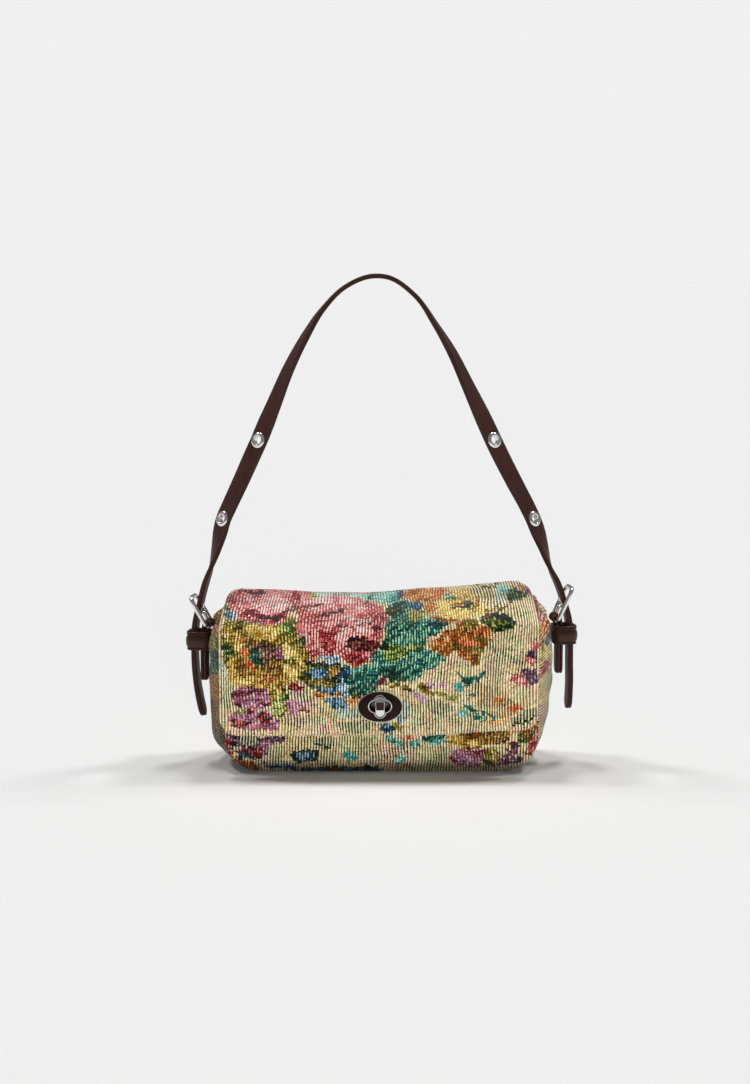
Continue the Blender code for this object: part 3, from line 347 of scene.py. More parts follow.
def round_off(points, steps=3):
    """Corner cutting, which turns a rough outline into a soft one."""
    p = [np.array(q, float) for q in points]
    for _ in range(steps - 1):
        out = []
        for i in range(len(p)):
            a, b = p[i], p[(i + 1) % len(p)]
            out += [a * 0.75 + b * 0.25, a * 0.25 + b * 0.75]
        p = out
    return p


# kind, colour, lightness shift, where, numbers
LOW_L = part(215, 625, 9.375)          # flap, lower left
TOP_L = part(222, 586, 9.375)          # flap, upper left
MID = part(290, 600, 9.375)            # flap, middle
TOP_R = part(375, 580, 9.091)          # flap, upper right
LOW_R = part(375, 640, 9.091)          # flap, lower right
BAND_L = part(215, 722, 9.091)         # band under the flap, left
BAND_R = part(375, 715, 8.824)         # and right
RIBBED = 1.0                           # the colour shows only between the ribs
SHAPES = []


def blob(at, yarn, shift, *pts, dash=None):
    SHAPES.append(("poly", yarn, shift, round_off([at(*q) for q in pts]), dash))


def spot(at, yarn, shift, cx, cy, rx, ry, turn=0, dash=None):
    c, d = at(cx, cy), at(cx + 100, cy)
    k = (d[0] - c[0]) / 100
    SHAPES.append(("oval", yarn, shift, (c[0], c[1], rx * k, ry * k,
                                         math.radians(turn)), dash))


def stroke(at, yarn, shift, width, *pts, dash=None):
    k = (at(100, 0)[0] - at(0, 0)[0]) / 100
    SHAPES.append(("line", yarn, shift, ([at(*q) for q in pts], width * k), dash))


# ---- flap: olive and green behind the yellow flower
blob(LOW_L, "olive", -.02, (60, -60), (420, -70), (740, -100), (860, 60), (880, 330),
     (860, 520), (690, 560), (480, 600), (240, 560), (110, 420), (60, 200))
blob(TOP_L, "olive", 0, (20, 330), (200, 330), (300, 350), (430, 380), (560, 320),
     (700, 270), (720, 470), (700, 560), (20, 560))
spot(TOP_L, "green", .03, 620, 400, 70, 60)
blob(TOP_L, "blue", 0, (20, 170), (150, 190), (160, 330), (20, 330), dash=RIBBED)
spot(TOP_L, "dkgreen", -.04, 50, 200, 50, 30)
spot(TOP_L, "blue", .02, 60, 270, 40, 44)
blob(LOW_L, "dkgreen", -.06, (60, 170), (120, 165), (190, 240), (170, 290), (70, 270))
spot(LOW_L, "dkgreen", -.05, 110, 290, 50, 20)
blob(LOW_L, "dkgreen", -.04, (740, 110), (850, 120), (870, 180), (800, 190))
# the yellow flower
blob(LOW_L, "yellow", -.02, (75, 55), (180, 60), (250, 115), (275, 190), (250, 245),
     (160, 200), (90, 130), dash=.62)
blob(LOW_L, "yellow", .02, (290, 20), (430, 0), (560, 10), (625, 60), (560, 155),
     (440, 160), (380, 130), (300, 70), dash=.35)
blob(LOW_L, "yellow", .05, (640, 150), (700, 160), (770, 240), (850, 320), (880, 430),
     (815, 445), (740, 370), (650, 330), (640, 240), dash=.5)
stroke(LOW_L, "olive", -.06, 22, (650, 335), (740, 340), (820, 400))
blob(LOW_L, "yellow", .02, (620, 340), (700, 380), (800, 460), (780, 545), (700, 520),
     (640, 430), dash=.3)
blob(LOW_L, "gold", .02, (110, 320), (200, 300), (240, 340), (230, 420), (130, 430),
     (110, 380))
blob(LOW_L, "gold", -.02, (120, 420), (350, 430), (620, 430), (700, 500), (690, 565),
     (520, 560), (420, 605), (280, 590), (170, 565), (120, 500), dash=.55)
blob(LOW_L, "ochre", 0, (390, 420), (600, 400), (700, 470), (640, 530), (480, 510),
     dash=.35)
spot(LOW_L, "rust", .02, 500, 500, 60, 36, dash=.5)
blob(LOW_L, "yellow", .03, (130, 500), (300, 520), (420, 560), (480, 570), (400, 612),
     (240, 590), (140, 550), dash=.4)
blob(LOW_L, "brown", .02, (260, 140), (400, 145), (560, 180), (640, 240), (645, 330),
     (570, 395), (470, 405), (400, 340), (330, 245), (280, 200))
blob(LOW_L, "taupe", .03, (380, 205), (470, 190), (560, 250), (540, 340), (460, 310),
     (400, 250), dash=.3)
spot(LOW_L, "mauve", -.02, 600, 270, 36, 70, dash=.2)
blob(LOW_L, "ochre", -.02, (480, 330), (600, 330), (640, 370), (560, 420), (470, 400))
spot(LOW_L, "orange", -.02, 255, 140, 46, 26)
blob(LOW_L, "tealD", -.02, (310, 230), (385, 222), (455, 330), (440, 385), (380, 395),
     (335, 310), dash=.12)
spot(LOW_L, "flame", .02, 270, 258, 34, 26)
blob(LOW_L, "ochre", -.03, (160, 330), (300, 300), (340, 400), (290, 440), (180, 430))
blob(LOW_L, "flame", 0, (275, 325), (335, 310), (385, 400), (360, 445), (300, 405))
spot(LOW_L, "aqua", 0, 75, 390, 26, 46)
stroke(LOW_L, "olive", -.08, 20, (300, 120), (420, 150), (560, 175), (640, 200))
# left edge and the green bush
blob(LOW_L, "lgreen", 0, (50, 460), (115, 470), (155, 600), (165, 760), (110, 830),
     (55, 800), dash=RIBBED)
spot(LOW_L, "aqua", .02, 70, 500, 30, 50, dash=RIBBED)
blob(LOW_L, "olive", -.02, (485, 575), (640, 560), (700, 640), (700, 800), (650, 870),
     (540, 850), (510, 720), dash=.35)
spot(LOW_L, "lgreen", 0, 585, 785, 60, 70, dash=.5)
spot(LOW_L, "green", .04, 640, 700, 40, 50)
stroke(LOW_L, "yellow", .04, 26, (520, 600), (590, 590), (600, 690), dash=.6)
# mauve flowers
blob(LOW_L, "mauve", .01, (160, 625), (260, 585), (480, 595), (515, 690), (505, 770),
     (380, 795), (230, 765), (150, 700), dash=.28)
blob(LOW_L, "wine", -.02, (270, 585), (490, 585), (490, 635), (380, 640), (290, 625))
spot(LOW_L, "wine", -.04, 210, 740, 46, 20)
spot(LOW_L, "maroon", .02, 470, 740, 66, 18)
stroke(LOW_L, "lav", .10, 16, (220, 765), (320, 752), (420, 760))
spot(LOW_L, "lgreen", .02, 250, 815, 50, 22)
spot(LOW_L, "red", .04, 325, 800, 40, 30)
blob(LOW_L, "mauve", .03, (105, 835), (250, 825), (500, 790), (545, 860), (610, 920),
     (610, 985), (400, 995), (230, 985), (150, 930), dash=.3)
blob(LOW_L, "maroon", .05, (160, 890), (260, 880), (320, 930), (270, 970), (170, 965))
spot(LOW_L, "red", .05, 235, 925, 46, 28)
spot(LOW_L, "maroon", .02, 465, 885, 64, 52)
spot(LOW_L, "pinkL", -.04, 380, 950, 60, 20)
blob(LOW_L, "red", -.04, (690, 545), (760, 540), (840, 600), (840, 650), (740, 625),
     (690, 600))
spot(LOW_L, "mauve", .04, 800, 620, 50, 22)
blob(LOW_L, "lav", .03, (700, 630), (860, 640), (950, 720), (900, 800), (760, 740),
     dash=RIBBED)
blob(LOW_L, "mauve", .05, (650, 720), (750, 690), (810, 760), (800, 860), (720, 860),
     (675, 800), dash=.35)
spot(LOW_L, "maroon", .02, 845, 800, 50, 24)
spot(LOW_L, "rust", 0, 850, 790, 26, 14)
blob(LOW_L, "lav", .04, (740, 870), (860, 860), (860, 960), (750, 970), dash=RIBBED)
blob(LOW_L, "lgreen", .03, (870, 860), (1060, 880), (1060, 950), (880, 940), dash=RIBBED)
blob(LOW_L, "pink", .10, (940, 945), (1100, 935), (1100, 1010), (950, 1005), dash=RIBBED)
blob(LOW_L, "straw", 0, (600, 880), (740, 870), (740, 1010), (600, 1010), dash=RIBBED)
blob(LOW_L, "straw", .03, (930, 760), (1180, 770), (1220, 860), (1000, 880), dash=RIBBED)
# blue flower
blob(LOW_L, "dkgreen", -.02, (860, 330), (1000, 350), (1200, 400), (1250, 560),
     (1260, 700), (1100, 660), (960, 620), (860, 580), (840, 480))
blob(LOW_L, "blue", 0, (880, 430), (1040, 400), (1060, 480), (960, 505), (890, 480))
blob(LOW_L, "blue", -.04, (1140, 400), (1290, 410), (1280, 520), (1180, 510), dash=.2)
blob(LOW_L, "green", 0, (880, 360), (990, 385), (980, 410), (890, 400))
spot(LOW_L, "gold", .03, 1095, 440, 44, 44, 40)
spot(LOW_L, "olive", 0, 1000, 540, 90, 22)
spot(LOW_L, "gold", 0, 1050, 540, 60, 18)
blob(LOW_L, "blue", -.02, (960, 580), (1080, 590), (1250, 600), (1250, 690), (1100, 650),
     (980, 625), dash=.35)
blob(LOW_L, "blueL", 0, (1170, 520), (1250, 540), (1250, 600), (1180, 590), dash=.6)
spot(LOW_L, "gold", .04, 1150, 655, 46, 22)
blob(LOW_L, "blueL", .02, (960, 275), (1000, 250), (1165, 290), (1190, 350), (1020, 355),
     dash=.75)
stroke(LOW_L, "navy", .03, 20, (880, 340), (1020, 358), (1180, 365))
blob(LOW_L, "blue", .02, (1010, 700), (1120, 690), (1250, 720), (1240, 775), (1060, 775),
     dash=.5)
spot(LOW_L, "orange", .06, 1000, 655, 60, 22, dash=.5)
spot(LOW_L, "orange", .08, 1285, 718, 46, 22)
blob(LOW_L, "blueL", .02, (1130, 760), (1240, 770), (1350, 830), (1340, 890), (1200, 860),
     (1130, 820), dash=RIBBED)
blob(LOW_L, "blue", 0, (1250, 760), (1330, 800), (1380, 870), (1300, 880), dash=RIBBED)
spot(LOW_L, "aqua", .02, 1180, 850, 60, 30, dash=RIBBED)
blob(LOW_L, "dkgreen", 0, (1130, 930), (1200, 900), (1400, 960), (1480, 990), (1400, 1010),
     (1200, 990), dash=RIBBED)
# ---- first rose
blob(TOP_L, "pink", .03, (35, 115), (90, 55), (200, 20), (420, 20), (700, 30), (850, 50),
     (860, 110), (770, 165), (690, 210), (610, 290), (530, 360), (400, 375), (240, 355),
     (160, 295), (110, 210), (45, 170), dash=.45)
stroke(TOP_L, "maroon", -.08, 34, (190, 48), (290, 58), (390, 48), dash=.1)
spot(TOP_L, "red", .10, 85, 125, 34, 40)
blob(TOP_L, "pinkL", .04, (220, 130), (350, 95), (560, 90), (640, 130), (640, 205),
     (540, 262), (400, 272), (330, 225), (230, 235), dash=.68)
blob(TOP_L, "pinkL", 0, (420, 30), (640, 40), (660, 90), (440, 90), dash=.3)
stroke(TOP_L, "taupe", 0, 12, (190, 200), (250, 192), (310, 196), dash=.1)
spot(TOP_L, "pinkL", .04, 230, 175, 50, 30, dash=.2)
stroke(TOP_L, "red", -.06, 46, (190, 262), (300, 262), (380, 290), (470, 302), (590, 280),
       dash=.25)
stroke(TOP_L, "maroon", -.02, 26, (330, 290), (460, 300), (560, 292), dash=.1)
stroke(TOP_L, "red", -.02, 14, (250, 270), (300, 225), (360, 215), dash=.1)
stroke(TOP_L, "maroon", .04, 16, (540, 272), (620, 225), (700, 205), dash=.1)
blob(TOP_L, "rose", .06, (150, 300), (300, 305), (500, 325), (560, 310), (430, 378),
     (260, 350), dash=.3)
spot(TOP_L, "mauve", .04, 350, 345, 80, 18, dash=.2)
blob(TOP_L, "red", .05, (645, 60), (700, 45), (735, 80), (745, 165), (690, 165), dash=.15)
blob(TOP_L, "pink", .12, (740, 60), (840, 60), (840, 125), (755, 145), dash=.25)
blob(TOP_L, "taupe", .03, (620, 190), (740, 170), (730, 240), (640, 240), dash=.4)
# ---- colours along the top, left of the middle
blob(TOP_L, "mint", 0, (850, 50), (1000, 35), (1200, 50), (1380, 60), (1520, 66),
     (1520, 140), (1380, 120), (1250, 105), (1130, 92), (980, 105), (880, 130), dash=.3)
spot(TOP_L, "lgreen", .02, 865, 95, 36, 32)
blob(TOP_L, "cyan", 0, (1120, 55), (1230, 62), (1210, 95), (1110, 86))
spot(TOP_L, "dkgreen", .02, 1405, 100, 46, 24)
# ---- second rose
blob(MID, "pink", -.01, (45, 250), (90, 130), (80, 50), (180, 0), (310, -30), (490, -50),
     (680, -10), (800, 30), (900, 110), (930, 180), (910, 260), (870, 330), (820, 400),
     (840, 470), (780, 560), (700, 600), (600, 630), (520, 600), (460, 520), (330, 510),
     (230, 560), (170, 480), (150, 380), (60, 330), dash=.52)
blob(MID, "pinkL", -.02, (120, 30), (200, -10), (420, -40), (640, -10), (600, 60),
     (430, 60), (300, 90), (190, 140), (130, 110), dash=.62)
blob(MID, "rose", .04, (210, 170), (330, 100), (480, 60), (520, 120), (380, 160),
     (260, 200), dash=.5)
stroke(MID, "maroon", .02, 28, (270, 155), (340, 130), (430, 110), (540, 108), dash=.12)
stroke(MID, "taupe", .08, 14, (330, 118), (420, 92), (510, 90), dash=.05)
stroke(MID, "maroon", .06, 22, (120, 90), (200, 60), (300, 20), dash=.3)
blob(MID, "pinkL", 0, (520, 60), (700, 50), (730, 130), (640, 180), (560, 230),
     (500, 190), dash=.3)
blob(MID, "pinkL", -.06, (620, 170), (740, 130), (760, 230), (640, 240), dash=.6)
stroke(MID, "maroon", .02, 12, (440, 245), (560, 262), (680, 232), (850, 240), dash=.05)
stroke(MID, "taupe", .04, 12, (620, 205), (700, 190), (780, 235), dash=.05)
blob(MID, "rose", .02, (740, 90), (860, 130), (900, 230), (860, 290), (780, 280),
     (760, 180), dash=.4)
blob(MID, "wine", 0, (760, 250), (850, 240), (880, 290), (790, 300), dash=.2)
blob(MID, "pinkL", -.05, (50, 220), (120, 210), (170, 300), (150, 370), (70, 330), dash=.3)
blob(MID, "rose", .03, (360, 250), (470, 240), (440, 330), (370, 400), (330, 340), dash=.5)
blob(MID, "pinkL", 0, (440, 260), (580, 260), (760, 270), (820, 320), (720, 340),
     (560, 340), (530, 420), (450, 420), dash=.85)
blob(MID, "maroon", -.02, (520, 410), (560, 345), (680, 335), (710, 380), (830, 370),
     (855, 430), (760, 485), (680, 478), (560, 475), dash=.22)
blob(MID, "maroon", -.12, (530, 400), (600, 340), (690, 345), (640, 400), (560, 430),
     dash=.08)
blob(MID, "red", 0, (700, 370), (830, 370), (840, 420), (740, 450), dash=.35)
stroke(MID, "taupe", .02, 14, (590, 400), (680, 405), (760, 440), dash=.1)
stroke(MID, "taupe", .06, 12, (600, 440), (690, 450), dash=.1)
blob(MID, "maroon", -.1, (600, 450), (720, 450), (740, 480), (620, 485), dash=.1)
blob(MID, "red", .03, (285, 425), (370, 365), (440, 385), (425, 505), (340, 495),
     dash=.15)
blob(MID, "pink", .04, (340, 400), (400, 380), (430, 440), (390, 480), (345, 450),
     dash=.2)
blob(MID, "rose", .02, (160, 440), (260, 430), (280, 500), (240, 570), (190, 560), dash=.5)
blob(MID, "red", .04, (480, 520), (600, 505), (745, 535), (725, 590), (620, 635),
     (520, 600), dash=.5)
blob(MID, "taupe", .02, (730, 540), (800, 470), (850, 470), (830, 560), (760, 620),
     dash=.15)
# ---- teal under the second rose and the tangle beside the lock
blob(LOW_L, "teal", 0, (1260, 420), (1330, 390), (1520, 360), (1540, 640), (1400, 640),
     (1290, 700), (1240, 600), dash=.4)
blob(LOW_L, "tealD", 0, (1280, 560), (1420, 540), (1420, 640), (1300, 680), dash=.35)
# ---- big leaves
blob(TOP_R, "tealD", 0, (100, 250), (190, 205), (330, 185), (440, 190), (430, 265),
     (300, 275), (150, 335), (110, 300), dash=.15)
blob(TOP_R, "dkgreen", -.06, (100, 250), (220, 220), (250, 270), (150, 340), (100, 310),
     dash=.15)
blob(TOP_R, "blue", .02, (260, 200), (430, 195), (425, 250), (300, 250), dash=.12)
blob(TOP_R, "teal", -.01, (100, 380), (160, 330), (250, 275), (360, 260), (440, 275),
     (445, 350), (520, 350), (620, 375), (710, 405), (610, 460), (490, 520), (435, 600),
     (490, 640), (560, 675), (670, 712), (560, 765), (480, 835), (400, 885), (280, 925),
     (120, 925), (90, 860), (-20, 840), (-40, 740), (0, 680), (60, 600), (110, 520),
     (90, 440), dash=.46)
blob(TOP_R, "moss", -.04, (290, 280), (430, 270), (450, 360), (330, 400), dash=.75)
blob(TOP_R, "green", 0, (60, 640), (130, 560), (230, 600), (330, 640), (250, 700),
     (150, 760), (60, 700), dash=.55)
spot(TOP_R, "green", .02, 350, 610, 60, 40, dash=.7)
spot(TOP_R, "dkgreen", -.12, 85, 600, 44, 34, dash=.1)
blob(TOP_R, "tealD", -.02, (-10, 800), (120, 790), (250, 860), (240, 925), (110, 920),
     (0, 850), dash=.2)
blob(TOP_R, "tealD", -.01, (480, 360), (620, 385), (690, 408), (580, 450), (470, 440),
     dash=.12)
# ---- upper right
blob(TOP_R, "cyan", .02, (-60, 130), (60, 110), (240, 100), (250, 190), (150, 235),
     (60, 205), (-40, 190), dash=.4)
spot(TOP_R, "mint", 0, 40, 160, 70, 30, dash=.4)
spot(TOP_R, "blue", .02, 235, 130, 34, 40, dash=.1)
blob(TOP_R, "orange", .02, (235, 140), (330, 85), (620, 70), (650, 110), (560, 190),
     (450, 190), (330, 185), dash=.3)
spot(TOP_R, "flame", .06, 560, 110, 70, 30)
blob(TOP_R, "orange", 0, (445, 180), (570, 190), (580, 250), (520, 330), (455, 320),
     dash=.62)
blob(TOP_R, "rust", 0, (460, 320), (620, 330), (760, 350), (740, 400), (640, 390),
     (520, 355), dash=.2)
spot(TOP_R, "lgreen", 0, 480, 310, 60, 22, dash=.2)
blob(TOP_R, "yellow", .03, (560, 200), (640, 175), (700, 85), (830, 75), (990, 55),
     (1010, 130), (940, 160), (960, 220), (1010, 250), (1000, 305), (860, 345),
     (720, 375), (600, 325), (550, 260), dash=.45)
blob(TOP_R, "yellow", .10, (560, 230), (680, 200), (700, 300), (860, 300), (850, 345),
     (720, 370), (600, 320), dash=.3)
stroke(TOP_R, "rust", .02, 20, (730, 220), (780, 208), (830, 215), dash=.1)
stroke(TOP_R, "brown", 0, 20, (690, 262), (740, 250), (810, 250), dash=.1)
spot(TOP_R, "navy", .02, 850, 222, 44, 34, -30, dash=.35)
spot(TOP_R, "rust", .03, 925, 200, 22, 50, dash=.1)
spot(TOP_R, "cyan", .02, 668, 148, 40, 18)
blob(TOP_R, "straw", 0, (880, 50), (1090, 40), (1100, 120), (1060, 230), (1000, 230),
     (930, 150), dash=RIBBED)
stroke(TOP_R, "ochre", -.04, 40, (880, 90), (960, 90), dash=RIBBED)
stroke(TOP_R, "dkgreen", -.05, 22, (985, 75), (1050, 60), (1120, 45), dash=.3)
spot(TOP_R, "brown", -.05, 925, 45, 20, 12)
blob(TOP_R, "aqua", .04, (1110, 60), (1240, 45), (1240, 110), (1185, 200), (1110, 205),
     (1070, 130), dash=RIBBED)
spot(TOP_R, "aqua", .06, 1160, 90, 50, 30)
blob(TOP_R, "dkgreen", -.02, (1185, 110), (1250, 80), (1320, 110), (1400, 105),
     (1400, 160), (1300, 175), (1240, 190), (1195, 200), dash=.25)
blob(TOP_R, "wine", .04, (1300, 35), (1400, 45), (1440, 130), (1380, 110), (1300, 75),
     dash=.3)
spot(TOP_R, "orange", .04, 1340, 60, 40, 20)
# dark leaf
stroke(TOP_R, "olive", .02, 26, (1010, 275), (1090, 258), (1190, 240))
blob(TOP_R, "dkgreen", 0, (950, 370), (1010, 290), (1090, 300), (1180, 300), (1240, 350),
     (1310, 410), (1230, 450), (1110, 485), (1050, 465), (1000, 400), dash=.15)
blob(TOP_R, "taupe", -.02, (970, 340), (1020, 285), (1080, 300), (1050, 350), (990, 370),
     dash=.1)
stroke(TOP_R, "green", .04, 26, (1080, 355), (1130, 390), (1190, 400))
stroke(TOP_R, "olive", .05, 14, (1110, 380), (1170, 390))
spot(TOP_R, "yellow", .10, 1082, 415, 22, 18)
# green haze on the ground
blob(TOP_R, "lgreen", 0, (1185, 445), (1300, 440), (1290, 560), (1210, 570), dash=RIBBED)
blob(TOP_R, "lgreen", .03, (1330, 270), (1430, 260), (1430, 360), (1340, 350), dash=RIBBED)
blob(TOP_R, "moss", .03, (1070, 690), (1170, 700), (1160, 780), (1080, 770), dash=RIBBED)
blob(TOP_R, "lgreen", .06, (1120, 520), (1200, 540), (1190, 600), (1120, 590), dash=RIBBED)
# rust flower
blob(TOP_R, "rust", 0, (470, 600), (560, 525), (640, 470), (740, 430), (740, 370),
     (840, 350), (950, 400), (1045, 450), (1070, 530), (1010, 620), (880, 640),
     (970, 665), (950, 740), (900, 795), (840, 720), (770, 700), (750, 640), (690, 640),
     (650, 710), (560, 665), dash=.38)
blob(TOP_R, "olive", -.02, (780, 360), (950, 350), (950, 420), (870, 440), (790, 460),
     dash=.3)
blob(TOP_R, "olive", -.03, (860, 510), (960, 500), (1040, 540), (1000, 580), (900, 560),
     dash=.2)
blob(TOP_R, "olive", -.04, (690, 560), (760, 570), (760, 640), (700, 630), dash=.15)
blob(TOP_R, "moss", 0, (870, 600), (1010, 610), (1000, 665), (890, 660), dash=.3)
blob(TOP_R, "ochre", -.04, (860, 690), (970, 680), (950, 760), (890, 770), dash=.15)
blob(TOP_R, "ochre", -.03, (480, 610), (640, 640), (660, 680), (560, 665), dash=.2)
blob(TOP_R, "orange", -.02, (480, 590), (560, 520), (680, 480), (690, 580), (600, 610),
     dash=.5)
blob(TOP_R, "flame", .02, (750, 545), (860, 540), (920, 590), (850, 610), (760, 600),
     dash=.5)
blob(TOP_R, "orange", -.02, (780, 660), (880, 670), (870, 730), (800, 715), dash=.5)
blob(TOP_R, "flame", 0, (960, 430), (1040, 450), (1060, 540), (990, 500), dash=.4)
# hatched sprig, mauve and pink at the right side
stroke(TOP_R, "dkgreen", 0, 44, (1045, 580), (1110, 645), (1190, 680), (1270, 730),
       (1330, 742), dash=RIBBED)
stroke(TOP_R, "dkgreen", .03, 22, (1180, 615), (1290, 640), dash=RIBBED)
spot(TOP_R, "green", .04, 1060, 600, 30, 40, dash=RIBBED)
blob(TOP_R, "purple", 0, (1360, 650), (1440, 620), (1480, 680), (1470, 770), (1390, 730),
     dash=.25)
blob(TOP_R, "pink", 0, (1350, 710), (1440, 690), (1475, 760), (1400, 775), dash=.35)
spot(TOP_R, "pink", .06, 1465, 590, 40, 50, dash=.5)
blob(TOP_R, "purple", .02, (1310, 830), (1380, 805), (1480, 810), (1490, 960),
     (1380, 930), (1330, 880), dash=.25)
blob(TOP_R, "pink", -.02, (1200, 890), (1290, 845), (1370, 880), (1390, 950), (1320, 985),
     (1260, 940), dash=.4)
# ---- lower right
stroke(LOW_R, "taupe", -.02, 40, (20, 400), (110, 395), dash=.2)
stroke(LOW_R, "olive", 0, 34, (130, 412), (250, 432), (320, 465), dash=.3)
stroke(LOW_R, "moss", -.03, 40, (390, 420), (460, 480), (600, 505), (720, 535), dash=.35)
stroke(LOW_R, "ochre", -.02, 20, (420, 400), (480, 440), dash=.2)
blob(LOW_R, "lav", -.02, (450, 375), (510, 372), (560, 420), (490, 440), dash=.1)
spot(LOW_R, "lav", .05, 600, 415, 50, 16, dash=.6)
blob(LOW_R, "lav", .02, (325, 480), (400, 488), (485, 560), (440, 582), (360, 525),
     dash=.35)
blob(LOW_R, "teal", -.01, (735, 285), (800, 328), (880, 338), (940, 305), (1030, 288),
     (985, 342), (900, 372), (840, 445), (815, 385), (755, 345), dash=.12)
blob(LOW_R, "teal", .02, (850, 450), (910, 470), (940, 530), (880, 520), dash=.3)
blob(LOW_R, "aqua", -.02, (690, 400), (760, 385), (820, 430), (800, 480), (730, 460),
     dash=.3)
blob(LOW_R, "ochre", -.02, (890, 390), (960, 385), (1060, 440), (1190, 450), (1240, 560),
     (1350, 600), (1240, 690), (1120, 730), (1000, 670), (920, 560), dash=RIBBED)
blob(LOW_R, "olive", -.04, (1000, 440), (1180, 445), (1180, 500), (1040, 500),
     dash=RIBBED)
spot(LOW_R, "rust", .03, 1140, 545, 66, 34, dash=.7)
blob(LOW_R, "flame", -.02, (1190, 600), (1340, 600), (1330, 650), (1220, 660), dash=.8)
blob(LOW_R, "orange", .02, (1000, 720), (1150, 690), (1240, 700), (1140, 770), (1010, 770),
     dash=.6)
blob(LOW_R, "dkgreen", .02, (470, 570), (560, 535), (700, 590), (730, 660), (610, 715),
     (500, 650), dash=RIBBED)
blob(LOW_R, "blue", .03, (235, 560), (330, 570), (310, 650), (250, 720), (200, 720),
     dash=RIBBED)
spot(LOW_R, "blue", 0, 225, 690, 30, 60, 30, dash=.7)
spot(LOW_R, "green", .04, 305, 610, 28, 34, dash=RIBBED)
blob(LOW_R, "lgreen", .04, (290, 680), (460, 690), (440, 800), (300, 790), dash=RIBBED)
blob(LOW_R, "moss", .02, (300, 600), (420, 590), (440, 660), (330, 680), dash=RIBBED)
blob(LOW_R, "aqua", -.02, (740, 650), (800, 615), (850, 660), (820, 730), (750, 715),
     dash=.25)
stroke(LOW_R, "teal", 0, 32, (820, 600), (900, 630), (980, 655), (1100, 708), dash=.2)
stroke(LOW_R, "teal", .01, 36, (870, 640), (930, 700), (990, 740), dash=.25)
blob(LOW_R, "dkgreen", 0, (1235, 785), (1260, 710), (1380, 635), (1490, 605),
     (1490, 690), (1370, 745), dash=RIBBED)
stroke(LOW_R, "dkgreen", -.04, 16, (1250, 780), (1380, 740), (1480, 680), dash=.2)
blob(LOW_R, "blue", -.01, (35, 800), (100, 775), (180, 800), (175, 850), (60, 855),
     dash=.45)
spot(LOW_R, "blueL", 0, 110, 790, 60, 20, dash=RIBBED)
spot(LOW_R, "olive", .02, 225, 800, 36, 40, 40, dash=.4)

# ---- middle: the tangle between the rose and the lock
CEN = part(290, 640, 10.453)
stroke(CEN, "dkgreen", 0, 30, (190, 240), (330, 270), (520, 290), (620, 300), dash=.15)
blob(CEN, "teal", 0, (600, 300), (700, 280), (860, 250), (950, 330), (955, 380),
     (905, 400), (915, 470), (880, 510), (760, 550), (690, 600), (640, 600), (600, 520),
     (590, 420), dash=.38)
blob(CEN, "tealD", 0, (620, 480), (760, 460), (900, 430), (905, 500), (780, 540),
     (690, 600), (620, 600), dash=.3)
blob(CEN, "blue", .02, (200, 310), (300, 290), (380, 310), (400, 390), (300, 400),
     (210, 370), dash=.5)
blob(CEN, "blue", -.04, (530, 300), (640, 290), (640, 400), (560, 420), (500, 370),
     dash=.25)
blob(CEN, "gold", .02, (385, 290), (500, 285), (520, 330), (480, 380), (400, 350),
     dash=.3)
stroke(CEN, "olive", 0, 40, (150, 400), (260, 430), (460, 440), dash=.3)
stroke(CEN, "dkgreen", -.02, 28, (160, 460), (260, 490), (300, 520), dash=.3)
blob(CEN, "blue", 0, (280, 500), (380, 480), (470, 500), (440, 550), (330, 550), dash=.5)
blob(CEN, "blueL", .02, (480, 440), (600, 440), (620, 580), (540, 600), (490, 520),
     dash=.7)
blob(CEN, "blue", .02, (330, 630), (450, 610), (590, 620), (600, 690), (540, 720),
     (400, 700), dash=.5)
blob(CEN, "dkgreen", 0, (620, 560), (740, 540), (720, 620), (640, 640), dash=.5)
spot(CEN, "orange", .04, 340, 590, 60, 24, dash=.5)
spot(CEN, "orange", .06, 660, 635, 50, 30, dash=.5)
blob(CEN, "tealD", .04, (620, 690), (720, 700), (780, 820), (700, 830), (640, 780),
     dash=RIBBED)
blob(CEN, "aqua", .02, (470, 740), (600, 730), (640, 790), (520, 820), dash=RIBBED)
blob(CEN, "dkgreen", .02, (520, 870), (640, 850), (820, 870), (840, 960), (700, 985),
     (560, 975), dash=RIBBED)
blob(CEN, "blue", 0, (920, 900), (1010, 880), (1100, 900), (1090, 960), (950, 970),
     dash=.5)
spot(CEN, "olive", .02, 1110, 880, 50, 40, dash=.5)
blob(CEN, "blue", .02, (1160, 620), (1240, 600), (1260, 720), (1220, 860), (1140, 860),
     (1170, 760), dash=RIBBED)
stroke(CEN, "olive", -.02, 36, (1000, 480), (1120, 470), (1250, 520), dash=.3)
stroke(CEN, "olive", 0, 34, (1370, 500), (1460, 540), (1560, 580), dash=.35)
blob(CEN, "lav", 0, (1410, 440), (1470, 425), (1530, 480), (1450, 510), dash=.2)
blob(CEN, "lav", .03, (1260, 550), (1330, 550), (1460, 620), (1400, 660), (1300, 600),
     dash=.4)
blob(CEN, "wine", .02, (925, 390), (1000, 380), (1010, 460), (940, 480), dash=.3)
blob(CEN, "green", .04, (90, 520), (200, 500), (220, 640), (120, 650), dash=RIBBED)
blob(CEN, "lgreen", .02, (190, 800), (350, 790), (350, 880), (210, 880), dash=RIBBED)
blob(CEN, "mauve", .06, (60, 820), (140, 810), (150, 900), (80, 900), dash=RIBBED)
blob(CEN, "pink", .04, (300, 890), (430, 880), (430, 960), (300, 960), dash=RIBBED)

